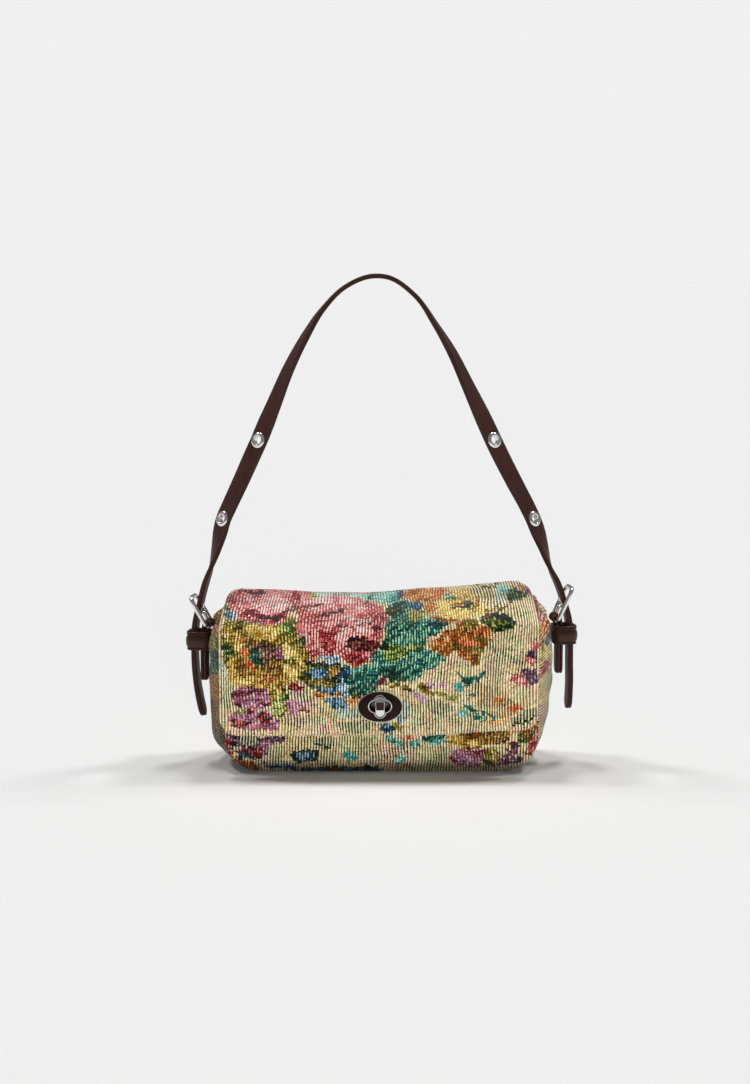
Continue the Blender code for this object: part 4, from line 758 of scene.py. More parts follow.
# ---- band under the flap, drawn for the front panel
FLAP_SHAPES, SHAPES = SHAPES, []
blob(BAND_L, "straw", -.02, (620, 60), (1120, 60), (1120, 380), (640, 360), dash=RIBBED)
blob(BAND_L, "moss", .02, (1110, 60), (1480, 60), (1480, 300), (1120, 300), dash=RIBBED)
blob(BAND_R, "peach", 0, (0, 150), (420, 200), (420, 470), (0, 470), dash=RIBBED)
blob(BAND_L, "purple", 0, (30, 90), (220, 100), (380, 140), (560, 120), (660, 105),
     (650, 155), (530, 225), (480, 300), (350, 340), (240, 305), (110, 240), (40, 160),
     dash=.25)
blob(BAND_L, "navy", 0, (215, 105), (390, 110), (390, 220), (230, 230), dash=RIBBED)
blob(BAND_L, "mauve", .03, (400, 170), (520, 150), (510, 250), (420, 260), dash=.3)
blob(BAND_L, "olive", -.05, (150, 200), (230, 210), (230, 260), (160, 250), dash=RIBBED)
blob(BAND_L, "rose", 0, (60, 130), (140, 120), (150, 240), (80, 240), dash=.3)
spot(BAND_L, "red", .02, 110, 275, 60, 30, 30)
blob(BAND_L, "wine", 0, (230, 235), (330, 225), (330, 290), (250, 290), dash=.2)
spot(BAND_L, "red", .03, 380, 275, 46, 30)
blob(BAND_L, "tealD", .03, (180, 300), (320, 290), (320, 335), (215, 345), dash=.2)
blob(BAND_L, "rust", -.02, (60, 290), (140, 330), (260, 350), (380, 375), (400, 430),
     (240, 420), (100, 360), dash=.35)
spot(BAND_L, "flame", -.04, 230, 375, 50, 20)
blob(BAND_L, "moss", -.04, (490, 200), (620, 200), (660, 330), (520, 355), (480, 290),
     dash=RIBBED)
blob(BAND_L, "dkgreen", 0, (890, 190), (950, 120), (1060, 130), (1110, 200),
     (1010, 240), (920, 230), dash=RIBBED)
stroke(BAND_L, "dkgreen", -.05, 20, (900, 195), (980, 210), (1060, 240), dash=.2)
blob(BAND_L, "navy", .02, (680, 290), (760, 250), (900, 245), (965, 275), (930, 345),
     (820, 370), (710, 350), dash=.3)
blob(BAND_L, "blue", .03, (720, 290), (800, 268), (920, 285), (890, 345), (760, 340),
     dash=.72)
blob(BAND_L, "blue", 0, (395, 345), (520, 340), (760, 385), (770, 440), (500, 430),
     dash=RIBBED)
blob(BAND_L, "blue", -.06, (440, 380), (700, 400), (760, 440), (500, 430), dash=.5)
blob(BAND_L, "moss", -.02, (970, 310), (1110, 320), (1110, 400), (980, 395),
     dash=RIBBED)
blob(BAND_L, "cyan", 0, (1170, 290), (1225, 235), (1280, 310), (1230, 385), (1175, 350),
     dash=.25)
stroke(BAND_L, "cyan", .04, 20, (1160, 320), (1290, 330), dash=.3)
stroke(BAND_L, "dkgreen", -.02, 26, (1360, 370), (1430, 320), (1490, 280), dash=RIBBED)
# navy along the band's bottom edge: partly the cloth's own navy, partly painted shade at the
# base
blob(BAND_L, "navy", -.02, (700, 430), (900, 415), (1080, 395), (1250, 410),
     (1500, 390), (1560, 500), (700, 500), dash=.35)
blob(BAND_L, "ochre", -.05, (1010, 400), (1160, 395), (1170, 440), (1020, 445), dash=.3)
# right half
blob(BAND_R, "moss", 0, (320, 290), (600, 265), (650, 330), (640, 460), (430, 460),
     dash=RIBBED)
blob(BAND_R, "green", .04, (470, 350), (620, 340), (620, 440), (480, 450), dash=RIBBED)
blob(BAND_R, "cyan", .02, (55, 200), (180, 185), (250, 240), (245, 305), (180, 275),
     (120, 230), dash=.45)
blob(BAND_R, "cyan", 0, (295, 245), (390, 195), (405, 260), (330, 295), dash=.3)
spot(BAND_R, "flame", -.02, 300, 200, 32, 18)
blob(BAND_R, "tealD", .02, (400, 205), (480, 165), (640, 145), (650, 180), (520, 225),
     (440, 240), dash=.2)
blob(BAND_R, "aqua", -.02, (440, 225), (640, 190), (640, 240), (470, 270), dash=.4)
blob(BAND_R, "cyan", .02, (165, 345), (300, 345), (260, 415), (190, 420), dash=.3)
stroke(BAND_R, "dkgreen", -.02, 22, (-30, 420), (60, 380), (110, 350), dash=RIBBED)
blob(BAND_R, "gold", .04, (640, 165), (800, 190), (960, 280), (890, 330), (770, 290),
     (650, 260), dash=.4)
blob(BAND_R, "ochre", -.01, (640, 140), (850, 120), (1110, 100), (1190, 150),
     (1190, 250), (1050, 275), (900, 255), (790, 190), dash=.5)
spot(BAND_R, "flame", -.08, 885, 145, 50, 26)
spot(BAND_R, "brown", -.05, 1010, 140, 90, 24, -6)
blob(BAND_R, "orange", .02, (1160, 110), (1260, 100), (1240, 165), (1180, 170), dash=.5)
blob(BAND_R, "olive", -.03, (1230, 170), (1320, 90), (1420, 80), (1420, 190),
     (1310, 260), dash=.3)
spot(BAND_R, "dkgreen", -.04, 1320, 215, 46, 24, -30)
spot(BAND_R, "blue", 0, 1385, 120, 22, 26, dash=.2)
blob(BAND_R, "olive", -.02, (950, 290), (1060, 285), (1120, 350), (1080, 450),
     (970, 450), dash=.45)
stroke(BAND_R, "yellow", .03, 16, (1040, 320), (1050, 380), dash=.8)
blob(BAND_R, "mauve", -.02, (640, 350), (760, 285), (960, 300), (970, 440), (820, 465),
     (680, 440), dash=.28)
blob(BAND_R, "wine", -.02, (750, 290), (960, 300), (960, 345), (800, 330), dash=.15)
spot(BAND_R, "lav", .02, 820, 400, 70, 30, dash=.3)
blob(BAND_R, "maroon", .05, (1180, 240), (1280, 235), (1270, 300), (1190, 300), dash=.2)
blob(BAND_R, "mauve", -.04, (1150, 290), (1270, 300), (1240, 350), (1160, 340), dash=.2)
blob(BAND_R, "purple", 0, (1080, 365), (1250, 355), (1320, 400), (1180, 455),
     (1090, 440), dash=.25)
blob(BAND_R, "lgreen", .02, (1270, 240), (1390, 240), (1370, 360), (1280, 370),
     dash=RIBBED)
stroke(BAND_R, "rose", .03, 60, (1440, 0), (1450, 120), (1410, 240), (1350, 340), dash=.3)
BAND_SHAPES, SHAPES = SHAPES, []


def seg_dist(pts, u, v):
    best = np.full(u.shape, 1e9)
    for (x0, y0), (x1, y1) in zip(pts[:-1], pts[1:]):
        dx, dy = x1 - x0, y1 - y0
        t = np.clip(((u - x0) * dx + (v - y0) * dy) / (dx * dx + dy * dy + 1e-9), 0, 1)
        best = np.minimum(best, np.hypot(u - x0 - t * dx, v - y0 - t * dy))
    return best


NAMES = list(YARNS)
TABLE = np.array([YARNS[n] for n in NAMES], float)
GROUND_YARNS = [NAMES.index(n) for n in ("peach", "sand", "moss")]
CREAM = (240.0, 229.0, 199.0)
CONTRAST, LOWER = 1.28, 15.0
MATE = np.array([[NAMES.index(a) for a in MATES[n]] for n in NAMES])


def motifs(shapes, u, v):
    """Yarn number (-1 is the striped ground), lightness shift and dash share
    at points of the design plane."""
    wu = u + 2.6 * (N1(u / 4.6, v / 4.6) - 0.5) + 1.6 * (N2(u / 2.0, v / 2.0) - 0.5)
    wv = v + 2.4 * (N3(u / 4.6, v / 4.6) - 0.5) + 1.6 * (N4(u / 2.0, v / 2.0) - 0.5)
    frill = N5(u / 1.7 + 9.0, v / 1.9) - 0.5
    yarn = np.full(u.shape, -1)
    shift = np.zeros(u.shape)
    dash = np.full(u.shape, 0.42)
    for kind, name, sh, data, dd in shapes:
        if kind == "poly":
            p = np.array(data)
            lo, hi = p.min(0) - 1, p.max(0) + 1
            box = (wu > lo[0]) & (wu < hi[0]) & (wv > lo[1]) & (wv < hi[1])
            if not box.any():
                continue
            m = np.zeros(u.shape, bool)
            m[box] = inside(data, wu[box], wv[box])
        elif kind == "oval":
            cx, cy, rx, ry, a = data
            du, dv = wu - cx, wv - cy
            p, q = du * math.cos(a) + dv * math.sin(a), -du * math.sin(a) + dv * math.cos(a)
            m = np.sqrt((p / rx) ** 2 + (q / ry) ** 2) < 1.02 + frill * 0.75
        else:
            pts, w = data
            m = seg_dist(pts, wu, wv) < w / 2 * (1.0 + frill * 0.7)
        if not m.any():
            continue
        yarn[m] = NAMES.index(name)
        shift[m] = sh
        dash[m] = 0.42 if dd is None else dd
    return yarn, shift, dash


def weave(shapes, u, v, fx, fs, rib=1.7636, pick=0.87):
    """sRGB colours of small cells of cloth. u, v place them in the design,
    fx runs across the ribs and fs along them, in millimetres."""
    ri, pj = np.floor(fx / rib).astype(int), np.floor(fs / pick).astype(int)
    ph = fx / rib - ri                     # place across the rib
    pp = fs / pick - pj
    sub = np.clip(np.floor(ph * 4).astype(int), 0, 3)
    # a motif's edge steps by whole ribs and picks, and teeth run along the ribs
    tooth = 4.4 * (N1(ri * 7.31, v / 7.0) - 0.5)
    slip = 2.6 * (N2(u / 8.0, pj * 5.13) - 0.5)
    yarn, shift, dash = motifs(shapes, u + (0.5 - ph) * rib * 0.9 + slip,
                               v + (0.5 - pp) * pick * 0.9 + tooth)
    # short runs of a neighbouring yarn along the picks
    run = N5.cell((ri + (pj * 5) % 7) // 3, pj * 3 + 1)
    y = np.maximum(yarn, 0)
    y = np.where(run > 0.86, MATE[y, 0], np.where(run < 0.07, MATE[y, 1], y))
    grain = N3.cell(ri * 4 + sub, pj * 2 + (pp > 0.5))
    speck = N4.cell(ri * 4 + sub + 91, pj * 2 + (pp > 0.5) + 17)
    slow = N4(u / 8.0, v / 8.0) - 0.5
    line = pp > 0.5
    # light floats lie on the ribs, with a dark line beside each: painted shade in the groove
    # beside the rib
    float_ = 0.55 * N1(ri * 5.77 + 2.5, fs / 2.6 + ri * 3.7) + 0.45 * (
        0.5 + 0.5 * np.sin(2 * math.pi * (fs / 6.1 + ri * 0.27
                                          + 2.2 * N2(u / 21.0, v / 17.0))))
    float_ = np.clip((float_ - 0.5) * 1.3 + 0.5, 0, 1)
    on = float_ > 1 - dash * (1.0 + 0.9 * slow) - 0.05
    level = np.choose(sub, [0.46, 0.56, 0.48, 0.22])
    lit = np.choose(sub, [0.34, 1.0, 0.86, 0.12])
    val = np.where(on, lit, level) + shift * 1.3 + slow * 0.26
    val = val + (grain - 0.5) * 0.44 - line * 0.10
    val = np.where(speck > 0.93, val - 0.42, np.where(speck < 0.05, val + 0.40, val))
    val = np.clip(val, 0, 1.0)
    d, m, l = TABLE[y, 0], TABLE[y, 1], TABLE[y, 2]
    t = val[..., None]
    col = np.where(t < 0.5, d + (m - d) * (t / 0.5), m + (l - m) * ((t - 0.5) / 0.5))
    # between the ribs of the ground lies sand, peach or straw, by turns
    turn = N2(ri * 3.3 + 0.5, v / 15.0)
    kind = np.where(turn < 0.34, GROUND_YARNS[0], np.where(turn < 0.70, GROUND_YARNS[1],
                                                           GROUND_YARNS[2]))
    ry = np.where(yarn < 0, kind, y)
    strong = np.where(yarn < 0, 0.0, 1.0)
    deep, flat, lite = TABLE[ry, 0], TABLE[ry, 1], TABLE[ry, 2]
    cream = np.array(CREAM)
    wv = (grain - 0.5) * 44 + (float_ - 0.5) * 40 + slow * 26 - line * 14
    rib_hi = cream + wv[..., None] * np.array([1.0, 0.98, 0.86])
    rib_lo = cream * 0.50 + lite * 0.50 + (wv - 16)[..., None]
    patch = N2(u / 15.0 + 3.0, v / 12.0) - 0.5
    gap_v = np.clip(0.56 + (grain - 0.5) * 0.95 + shift * 1.4 - line * 0.24
                    - strong * 0.22 + slow * 0.5 + patch * 1.1, -0.15, 1.3)[..., None]
    gap = deep + (flat - deep) * gap_v
    side = gap * 0.76 + lite * 0.24 - (strong * 18)[..., None]
    rib_hi = rib_hi * (1 - 0.16 * strong[..., None]) + lite * 0.16 * strong[..., None]
    s_ = sub[..., None]
    gc = np.where(s_ == 1, rib_hi, np.where(s_ == 2, rib_lo, np.where(s_ == 3, gap, side)))
    gc = np.where((speck > 0.92)[..., None] & (s_ != 1), gc * 0.45, gc)
    ribbed = (yarn < 0) | (dash > 0.95)
    out = np.where(ribbed[..., None], gc, col)
    # odd dark picks everywhere
    fleck = N5.cell(ri * 3 + 1, pj * 5 + 2) > 0.95
    out = np.where((fleck & (sub != 1))[..., None], out * 0.52, out)
    out = 118 + (out - 118) * CONTRAST - LOWER
    return np.clip(out, 4, 254)


# ---------------------------------------------------------------- materials


class Nodes:
    """Short way to wire a material."""

    def __init__(self, name):
        self.mat = bpy.data.materials.new(name)
        self.mat.use_nodes = True
        self.t = self.mat.node_tree
        self.bsdf = self.t.nodes["Principled BSDF"]

    def add(self, kind, inputs=None, **props):
        n = self.t.nodes.new(kind)
        for k, v in props.items():
            setattr(n, k, v)
        for k, v in (inputs or {}).items():
            self.put(n.inputs[k], v)
        return n

    def put(self, socket, v):
        if isinstance(v, bpy.types.NodeSocket):
            self.t.links.new(v, socket)
        else:
            socket.default_value = v

    def math(self, op, a, b=0.0, clamp=False):
        n = self.add("ShaderNodeMath", operation=op, use_clamp=clamp)
        self.put(n.inputs[0], a)
        self.put(n.inputs[1], b)
        return n.outputs[0]

    def coords(self, scale=(1, 1, 1)):
        g = self.add("ShaderNodeNewGeometry")
        c = self.add("ShaderNodeTexCoord")
        m = self.add("ShaderNodeMapping", {"Vector": c.outputs["Object"]})
        m.inputs["Scale"].default_value = scale
        return m.outputs[0]

    def noise(self, vec, scale, detail=4.0, rough=0.55):
        n = self.add("ShaderNodeTexNoise", {"Vector": vec, "Scale": scale,
                                            "Detail": detail, "Roughness": rough})
        return n.outputs[0]

    def ramp(self, fac, stops):
        n = self.add("ShaderNodeValToRGB", {"Fac": fac})
        e = n.color_ramp.elements
        while len(e) < len(stops):
            e.new(0.5)
        for k, (pos, col) in zip(e, stops):
            k.position = pos
            k.color = (*col, 1.0) if len(col) == 3 else col
        return n.outputs[0]

    def level(self, fac, lo, hi):
        n = self.add("ShaderNodeMapRange", {"Value": fac, "To Min": lo, "To Max": hi})
        return n.outputs[0]

    def bump(self, height, strength, dist, under=None):
        n = self.add("ShaderNodeBump", {"Height": height, "Strength": strength,
                                        "Distance": dist})
        if under is not None:
            self.put(n.inputs["Normal"], under)
        return n.outputs[0]

    def finish(self, **sockets):
        for k, v in sockets.items():
            self.put(self.bsdf.inputs[k.replace("_", " ")], v)
        return self.mat


def tapestry():
    m = Nodes("woven_tapestry")
    col = m.add("ShaderNodeAttribute", attribute_name="yarn",
                attribute_type="GEOMETRY").outputs["Color"]
    fab = m.add("ShaderNodeAttribute", attribute_name="fab",
                attribute_type="GEOMETRY").outputs["Vector"]
    xyz = m.add("ShaderNodeSeparateXYZ", {"Vector": fab})
    fx, fs = xyz.outputs[0], xyz.outputs[1]
    # yarn strands: ribs are 1.76 mm apart, picks 0.87 mm
    rib = m.math("SINE", m.math("MULTIPLY", fx, 2 * math.pi / 0.4409))
    wob = m.noise(fab, 1.1, 2.0)
    pick = m.math("SINE", m.math("ADD", m.math("MULTIPLY", fs, 2 * math.pi / 0.435),
                                 m.math("MULTIPLY", wob, 4.0)))
    twist = m.math("SINE", m.math("MULTIPLY", m.math("ADD", fs, m.math(
        "MULTIPLY", fx, 1.6)), 2 * math.pi / 0.30))
    fibre = m.noise(fab, 9.0, 3.0, 0.7)
    height = m.math("ADD", m.math("MULTIPLY", pick, 0.5), m.math("MULTIPLY", rib, 0.35))
    height = m.math("ADD", height, m.math("MULTIPLY", twist, 0.22))
    height = m.math("ADD", height, m.math("MULTIPLY", fibre, 0.9))
    # painted shade: strands are darker between than on top; they also vary a little in value
    shade = m.level(m.math("ADD", m.math("MULTIPLY", pick, 0.5), m.math(
        "MULTIPLY", fibre, 1.0)), 0.80, 1.16)
    n = m.add("ShaderNodeMapRange", {"Value": m.math("ADD", m.math(
        "MULTIPLY", pick, 0.5), m.math("MULTIPLY", fibre, 1.0)),
        "From Min": -0.2, "From Max": 1.2, "To Min": 0.78, "To Max": 1.16})
    shade = n.outputs[0]
    hue = m.add("ShaderNodeHueSaturation", {
        "Hue": m.level(m.noise(fab, 0.25, 2.0), 0.485, 0.515),
        "Saturation": m.level(m.noise(fab, 0.6, 2.0), 0.92, 1.12),
        "Value": shade, "Color": col})
    rough = m.level(fibre, 0.66, 0.92)
    b = m.bump(height, 0.55, 0.00012)
    return m.finish(Base_Color=hue.outputs[0], Roughness=rough, Normal=b,
                    Sheen_Weight=0.18, Sheen_Roughness=0.45,
                    Specular_IOR_Level=0.28)


def leather(name, dark, mid, gloss=0.42, grain=1.0, spec=0.20):
    m = Nodes(name)
    c = m.coords()
    big = m.noise(c, 38.0, 4.0)
    cells = m.add("ShaderNodeTexVoronoi", {"Vector": c, "Scale": 1150.0,
                                           "Randomness": 1.0},
                  feature="DISTANCE_TO_EDGE").outputs["Distance"]
    pores = m.noise(c, 2600.0, 3.0, 0.6)
    crease = m.noise(m.coords((1, 1, 0.35)), 420.0, 4.0, 0.6)
    fac = m.math("ADD", m.math("MULTIPLY", big, 0.6), m.math("MULTIPLY", crease, 0.4))
    col = m.ramp(fac, [(0.30, dark), (0.55, mid), (0.80, tuple(k * 1.35 for k in mid))])
    rough = m.level(m.math("ADD", m.math("MULTIPLY", pores, 0.5), m.math(
        "MULTIPLY", big, 0.5)), gloss - 0.10, gloss + 0.20)
    h = m.math("ADD", m.math("MULTIPLY", m.math("MINIMUM", cells, 0.35), 1.6),
               m.math("MULTIPLY", pores, 0.35))
    h = m.math("ADD", h, m.math("MULTIPLY", crease, 0.5))
    b = m.bump(h, 0.5 * grain, 0.00010)
    return m.finish(Base_Color=col, Roughness=rough, Normal=b,
                    Specular_IOR_Level=spec)


def thread(name, rgb):
    m = Nodes(name)
    c = m.coords()
    w = m.add("ShaderNodeTexWave", {"Vector": c, "Scale": 900.0, "Distortion": 2.0},
              bands_direction="DIAGONAL").outputs[1]
    n = m.noise(c, 1400.0, 2.0)
    col = m.ramp(n, [(0.3, tuple(k * 0.7 for k in rgb)), (0.7, rgb)])
    return m.finish(Base_Color=col, Roughness=m.level(n, 0.5, 0.75),
                    Normal=m.bump(w, 0.5, 0.00006), Specular_IOR_Level=0.35)


def metal(name, rgb, rough, wear=0.5):
    m = Nodes(name)
    c = m.coords()
    n = m.noise(c, 160.0, 5.0, 0.65)
    fine = m.noise(m.coords((1, 1, 6)), 900.0, 3.0, 0.7)
    col = m.ramp(n, [(0.25, tuple(k * 0.90 for k in rgb)), (0.7, rgb)])
    r = m.level(m.math("ADD", m.math("MULTIPLY", n, 0.5), m.math("MULTIPLY", fine, 0.5)),
                rough * (1 - wear * 0.5), rough * (1 + wear))
    return m.finish(Base_Color=col, Roughness=r, Metallic=1.0,
                    Normal=m.bump(fine, 0.04, 0.00003))


def enamel():
    m = Nodes("lock_face_enamel")
    c = m.coords()
    n = m.noise(c, 90.0, 4.0)
    col = m.ramp(n, [(0.3, (0.008, 0.0028, 0.0018)), (0.7, (0.024, 0.0080, 0.0048))])
    return m.finish(Base_Color=col, Roughness=m.level(m.noise(c, 700.0, 3.0), 0.12, 0.24),
                    Specular_IOR_Level=0.12, Coat_Weight=0.0)


def woven_plain(name, rgb, scale=1500.0):
    m = Nodes(name)
    c = m.coords()
    xyz = m.add("ShaderNodeSeparateXYZ", {"Vector": c})
    a = m.math("SINE", m.math("MULTIPLY", m.math("ADD", xyz.outputs[0], m.math(
        "MULTIPLY", xyz.outputs[1], 0.9)), scale * 6.283))
    b = m.math("SINE", m.math("MULTIPLY", xyz.outputs[2], scale * 6.283))
    w = m.math("MULTIPLY", a, b)
    n = m.noise(c, 300.0, 4.0)
    f = m.math("ADD", m.math("MULTIPLY", w, 0.12), n)
    col = m.ramp(f, [(0.25, tuple(k * 0.65 for k in rgb)), (0.75, tuple(
        min(1, k * 1.25) for k in rgb))])
    return m.finish(Base_Color=col, Roughness=m.level(n, 0.7, 0.9),
                    Normal=m.bump(f, 0.4, 0.00012), Sheen_Weight=0.1,
                    Specular_IOR_Level=0.25)


def fibrous(name, rgb):
    m = Nodes(name)
    c = m.coords((1, 1, 3))
    n = m.noise(c, 700.0, 6.0, 0.75)
    col = m.ramp(n, [(0.3, tuple(k * 0.8 for k in rgb)), (0.7, rgb)])
    return m.finish(Base_Color=col, Roughness=m.level(n, 0.8, 0.98),
                    Normal=m.bump(n, 0.5, 0.0002), Specular_IOR_Level=0.2)


MAT_CLOTH = tapestry()
LEA_D, LEA_M = (0.031, 0.0108, 0.0088), (0.052, 0.0190, 0.0162)
MAT_LEATHER = leather("brown_leather", LEA_D, LEA_M)
MAT_EDGE = leather("leather_edge_paint", tuple(k * 0.7 for k in LEA_D),
                   tuple(k * 0.75 for k in LEA_M), 0.36, 0.3)
MAT_BACK = leather("leather_flesh_side", (0.10, 0.078, 0.066), (0.17, 0.140, 0.122),
                   0.62, 0.6)
MAT_KEEPER = leather("keeper_leather", (0.026, 0.0096, 0.0062), (0.046, 0.0168, 0.0116), 0.26,
                     0.5, 0.30)
MAT_NICKEL = metal("dark_nickel", (0.10, 0.10, 0.09), 0.22)
MAT_SHAFT = leather("shaft_end_brown", (0.018, 0.0075, 0.0045), (0.034, 0.0145, 0.0090), 0.3,
                    0.2, 0.2)
MAT_THREAD = thread("strap_thread", (0.075, 0.042, 0.036))
MAT_SILVER = metal("polished_silver", (0.86, 0.855, 0.84), 0.13)
MAT_ENAMEL = enamel()
MAT_LINING = woven_plain("lining_cloth_brown", (0.085, 0.060, 0.050))
MAT_FELT = fibrous("interlining_felt", (0.66, 0.63, 0.57))
MAT_BOARD = fibrous("base_board_fibre", (0.20, 0.15, 0.10))
MAT_DARK = metal("dark_shaft_metal", (0.14, 0.105, 0.085), 0.30)
MAT_SPRING = metal("spring_steel", (0.42, 0.43, 0.45), 0.30)


# ------------------------------------------------------------ woven surfaces
RIB = 194.0 / 110
PICK = 0.87


def lin(c):
    c = np.asarray(c, float) / 255.0
    return np.where(c <= 0.04045, c / 12.92, ((c + 0.055) / 1.055) ** 2.4)


def surface_normals(P, toward):
    du, dv = np.gradient(P, axis=0), np.gradient(P, axis=1)
    n = np.cross(du, dv)
    n /= np.maximum(np.linalg.norm(n, axis=2), 1e-9)[..., None]
    sign = np.sign(np.sum(n * toward, axis=2))
    if np.mean(sign) < 0:
        n = -n
    return n


def woven(name, P, Q, FX, FS, rgb, body, replaces, toward, relief=0.13,
          coarse=6, holes=(), edge_rgb=(0.38, 0.30, 0.17)):
    """A closed piece of cloth: P is its fine outer grid, Q the inner one.
    rgb colours the cells of the outer side."""
    n, m = P.shape[:2]
    N = surface_normals(P, toward)
    ridge = np.cos(2 * np.pi * (FX / RIB - 0.53))
    beat = np.cos(2 * np.pi * (FS / PICK))
    rub = N2(FX / 2.3, FS / 1.9) - 0.5
    P = P + N * (relief * ridge + 0.045 * beat + 0.12 * rub)[..., None]
    I = sorted(set(list(range(0, n, coarse)) + [n - 1]))
    J = sorted(set(list(range(0, m, coarse)) + [m - 1]))
    verts = list(P.reshape(-1, 3))
    index = {}

    def q(i, j):
        if (i, j) not in index:
            index[(i, j)] = len(verts)
            verts.append(Q[i, j])
        return index[(i, j)]

    faces, cols = [], []
    ii, jj = np.meshgrid(np.arange(n - 1), np.arange(m - 1), indexing="ij")
    a = (ii * m + jj).ravel()
    quads = np.stack([a, a + m, a + m + 1, a + 1], 1)
    faces += [tuple(f) for f in quads.tolist()]
    cols.append(lin(rgb).reshape(-1, 3))
    k0 = len(faces)
    for x in range(len(I) - 1):
        for y in range(len(J) - 1):
            i0, i1, j0, j1 = I[x], I[x + 1], J[y], J[y + 1]
            low = list(range(i0, i1)) if j0 == 0 else [i0]
            rgt = list(range(j0, j1)) if i1 == n - 1 else [j0]
            top = list(range(i1, i0, -1)) if j1 == m - 1 else [i1]
            lft = list(range(j1, j0, -1)) if i0 == 0 else [j1]
            loop = [q(i, j0) for i in low] + [q(i1, j) for j in rgt] + \
                   [q(i, j1) for i in top] + [q(i0, j) for j in lft]
            faces.append(tuple(reversed(loop)))
    cols.append(np.tile(np.array(edge_rgb) * 0.8, (len(faces) - k0, 1)))
    k0 = len(faces)
    o = lambda i, j: i * m + j
    side = []
    for i in range(n - 1):
        faces.append((o(i, 0), q(i, 0), q(i + 1, 0), o(i + 1, 0)))
        side.append((i, 0))
        faces.append((o(i, m - 1), o(i + 1, m - 1), q(i + 1, m - 1), q(i, m - 1)))
        side.append((i, m - 2))
    for j in range(m - 1):
        faces.append((o(0, j), o(0, j + 1), q(0, j + 1), q(0, j)))
        side.append((0, j))
        faces.append((o(n - 1, j), q(n - 1, j), q(n - 1, j + 1), o(n - 1, j + 1)))
        side.append((n - 2, j))
    s = np.array(side)
    cols.append(lin(rgb[s[:, 0], s[:, 1]]) * 0.8)
    # fabric place of each vertex
    fab = np.zeros((len(verts), 3))
    fab[:n * m, 0], fab[:n * m, 1] = FX.ravel(), FS.ravel()
    for (i, j), k in index.items():
        fab[k] = (FX[i, j], FS[i, j], 1.7)
    me = bpy.data.meshes.new(name)
    me.from_pydata([tuple(p) for p in W(np.array(verts))], [], faces)
    colours = np.concatenate(cols)
    # outward faces
    pl = me.polygons
    v0 = np.array(verts)
    vol = 0.0
    f0 = quads[::97]
    nrm = np.cross(v0[f0[:, 1]] - v0[f0[:, 0]], v0[f0[:, 3]] - v0[f0[:, 0]])
    want = N.reshape(-1, 3)[f0[:, 0]]
    if np.sum(nrm * want) < 0:
        me.flip_normals()
    me.materials.append(MAT_CLOTH)
    tot = np.zeros(len(pl), np.int32)
    pl.foreach_get("loop_total", tot)
    ca = me.color_attributes.new(name="yarn", type="FLOAT_COLOR", domain="CORNER")
    flat = np.repeat(colours, tot, axis=0)
    ca.data.foreach_set("color", np.concatenate(
        [flat, np.ones((len(flat), 1))], 1).astype(np.float32).ravel())
    fa = me.attributes.new(name="fab", type="FLOAT_VECTOR", domain="POINT")
    fa.data.foreach_set("vector", fab.astype(np.float32).ravel())
    me.shade_smooth()
    ob = bpy.data.objects.new(name, me)
    scene.collection.objects.link(ob)
    if holes:
        cut_with(ob, holes)
        settle(ob, sharp=0)
    if body:
        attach(ob, body)
    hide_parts(*replaces)
    return ob


def cell_middles(A):
    return (A[:-1, :-1] + A[1:, :-1] + A[:-1, 1:] + A[1:, 1:]) / 4


def edge_drop(D, r):
    """How far a rounded edge lies under the face, by distance from it."""
    t = np.clip(D / r, 0, 1)
    return r * (1 - np.sqrt(np.clip(1 - (1 - t) ** 2, 0, 1)))


def mirror_tile(x, lo, hi):
    w = hi - lo
    t = np.mod(x - lo, 2 * w)
    return lo + np.where(t > w, 2 * w - t, t)


# ---------------------------------------------------------------- bag's body
HALF_W, CORNER_R, SEAM_Y, CLOTH, GAP = 97.0, 22.0, 30.0, 1.9, 0.35
SIDE_DENT, LEAN = 5.6, 10.0
SWELL_L = [(0, 0.0), (5, 2.7), (10, 7.2), (15, 9.4), (20, 9.8), (26, 9.8),
           (40, 10.6), (52, 11.3), (64, 12.2), (76, 12.4), (84, 11.4), (100, 10.6)]
SWELL_R = [(0, 0.0), (5, 0.7), (10, 2.3), (15, 4.0), (20, 5.4), (26, 7.0),
           (34, 8.8), (44, 10.2), (54, 11.2), (64, 12.2), (76, 12.4), (84, 11.4),
           (100, 10.6)]
FRONT_TOP, BACK_TOP, BULGE_FRONT, BULGE_BACK = 91.0, 102.0, 3.0, 2.2
PANEL_BASE = SEAM_Y + GAP + CLOTH
LOCK_X, LOCK_Z = -0.6, 44.1


def bottom_z(x, inset=0.0):
    r, ax = CORNER_R - inset, np.abs(x) - (HALF_W - CORNER_R)
    return np.where(ax <= 0, inset,
                    CORNER_R - np.sqrt(np.clip(r * r - np.clip(ax, 0, r) ** 2, 0, None)))


def half_width(z, inset=0.0):
    z = max(z, inset)
    r = CORNER_R - inset
    if z >= CORNER_R:
        return HALF_W - inset
    return HALF_W - CORNER_R + math.sqrt(max(r * r - (CORNER_R - z) ** 2, 0.0))


def panel_y(x, z, base, amount, top):
    fx_ = np.clip(1 - (np.abs(x) / HALF_W) ** 3.0, 0, None)
    zz = np.clip(z / top, 0, 1)
    return base + amount * fx_ * np.sin(np.pi * zz) ** 0.7


CREST = np.array([(-97, -6.6), (-95.5, -5.0), (-91, -4.0), (-84, -4.5), (-69, -4.2),
                  (-54, -5.2), (-39, -6.2), (-24, -6.4), (-9, -6.7), (6, -6.0),
                  (13, -4.9), (24, -3.4), (43, -2.3), (58, -1.2), (68, 0.1),
                  (80, 1.3), (86, 1.9), (90, 1.6), (94, -0.5), (97, -3.0)])


def top_sag(x):
    """The top edge isn't level: it dips behind the lock and at its corners."""
    return np.interp(x, CREST[:, 0], CREST[:, 1])


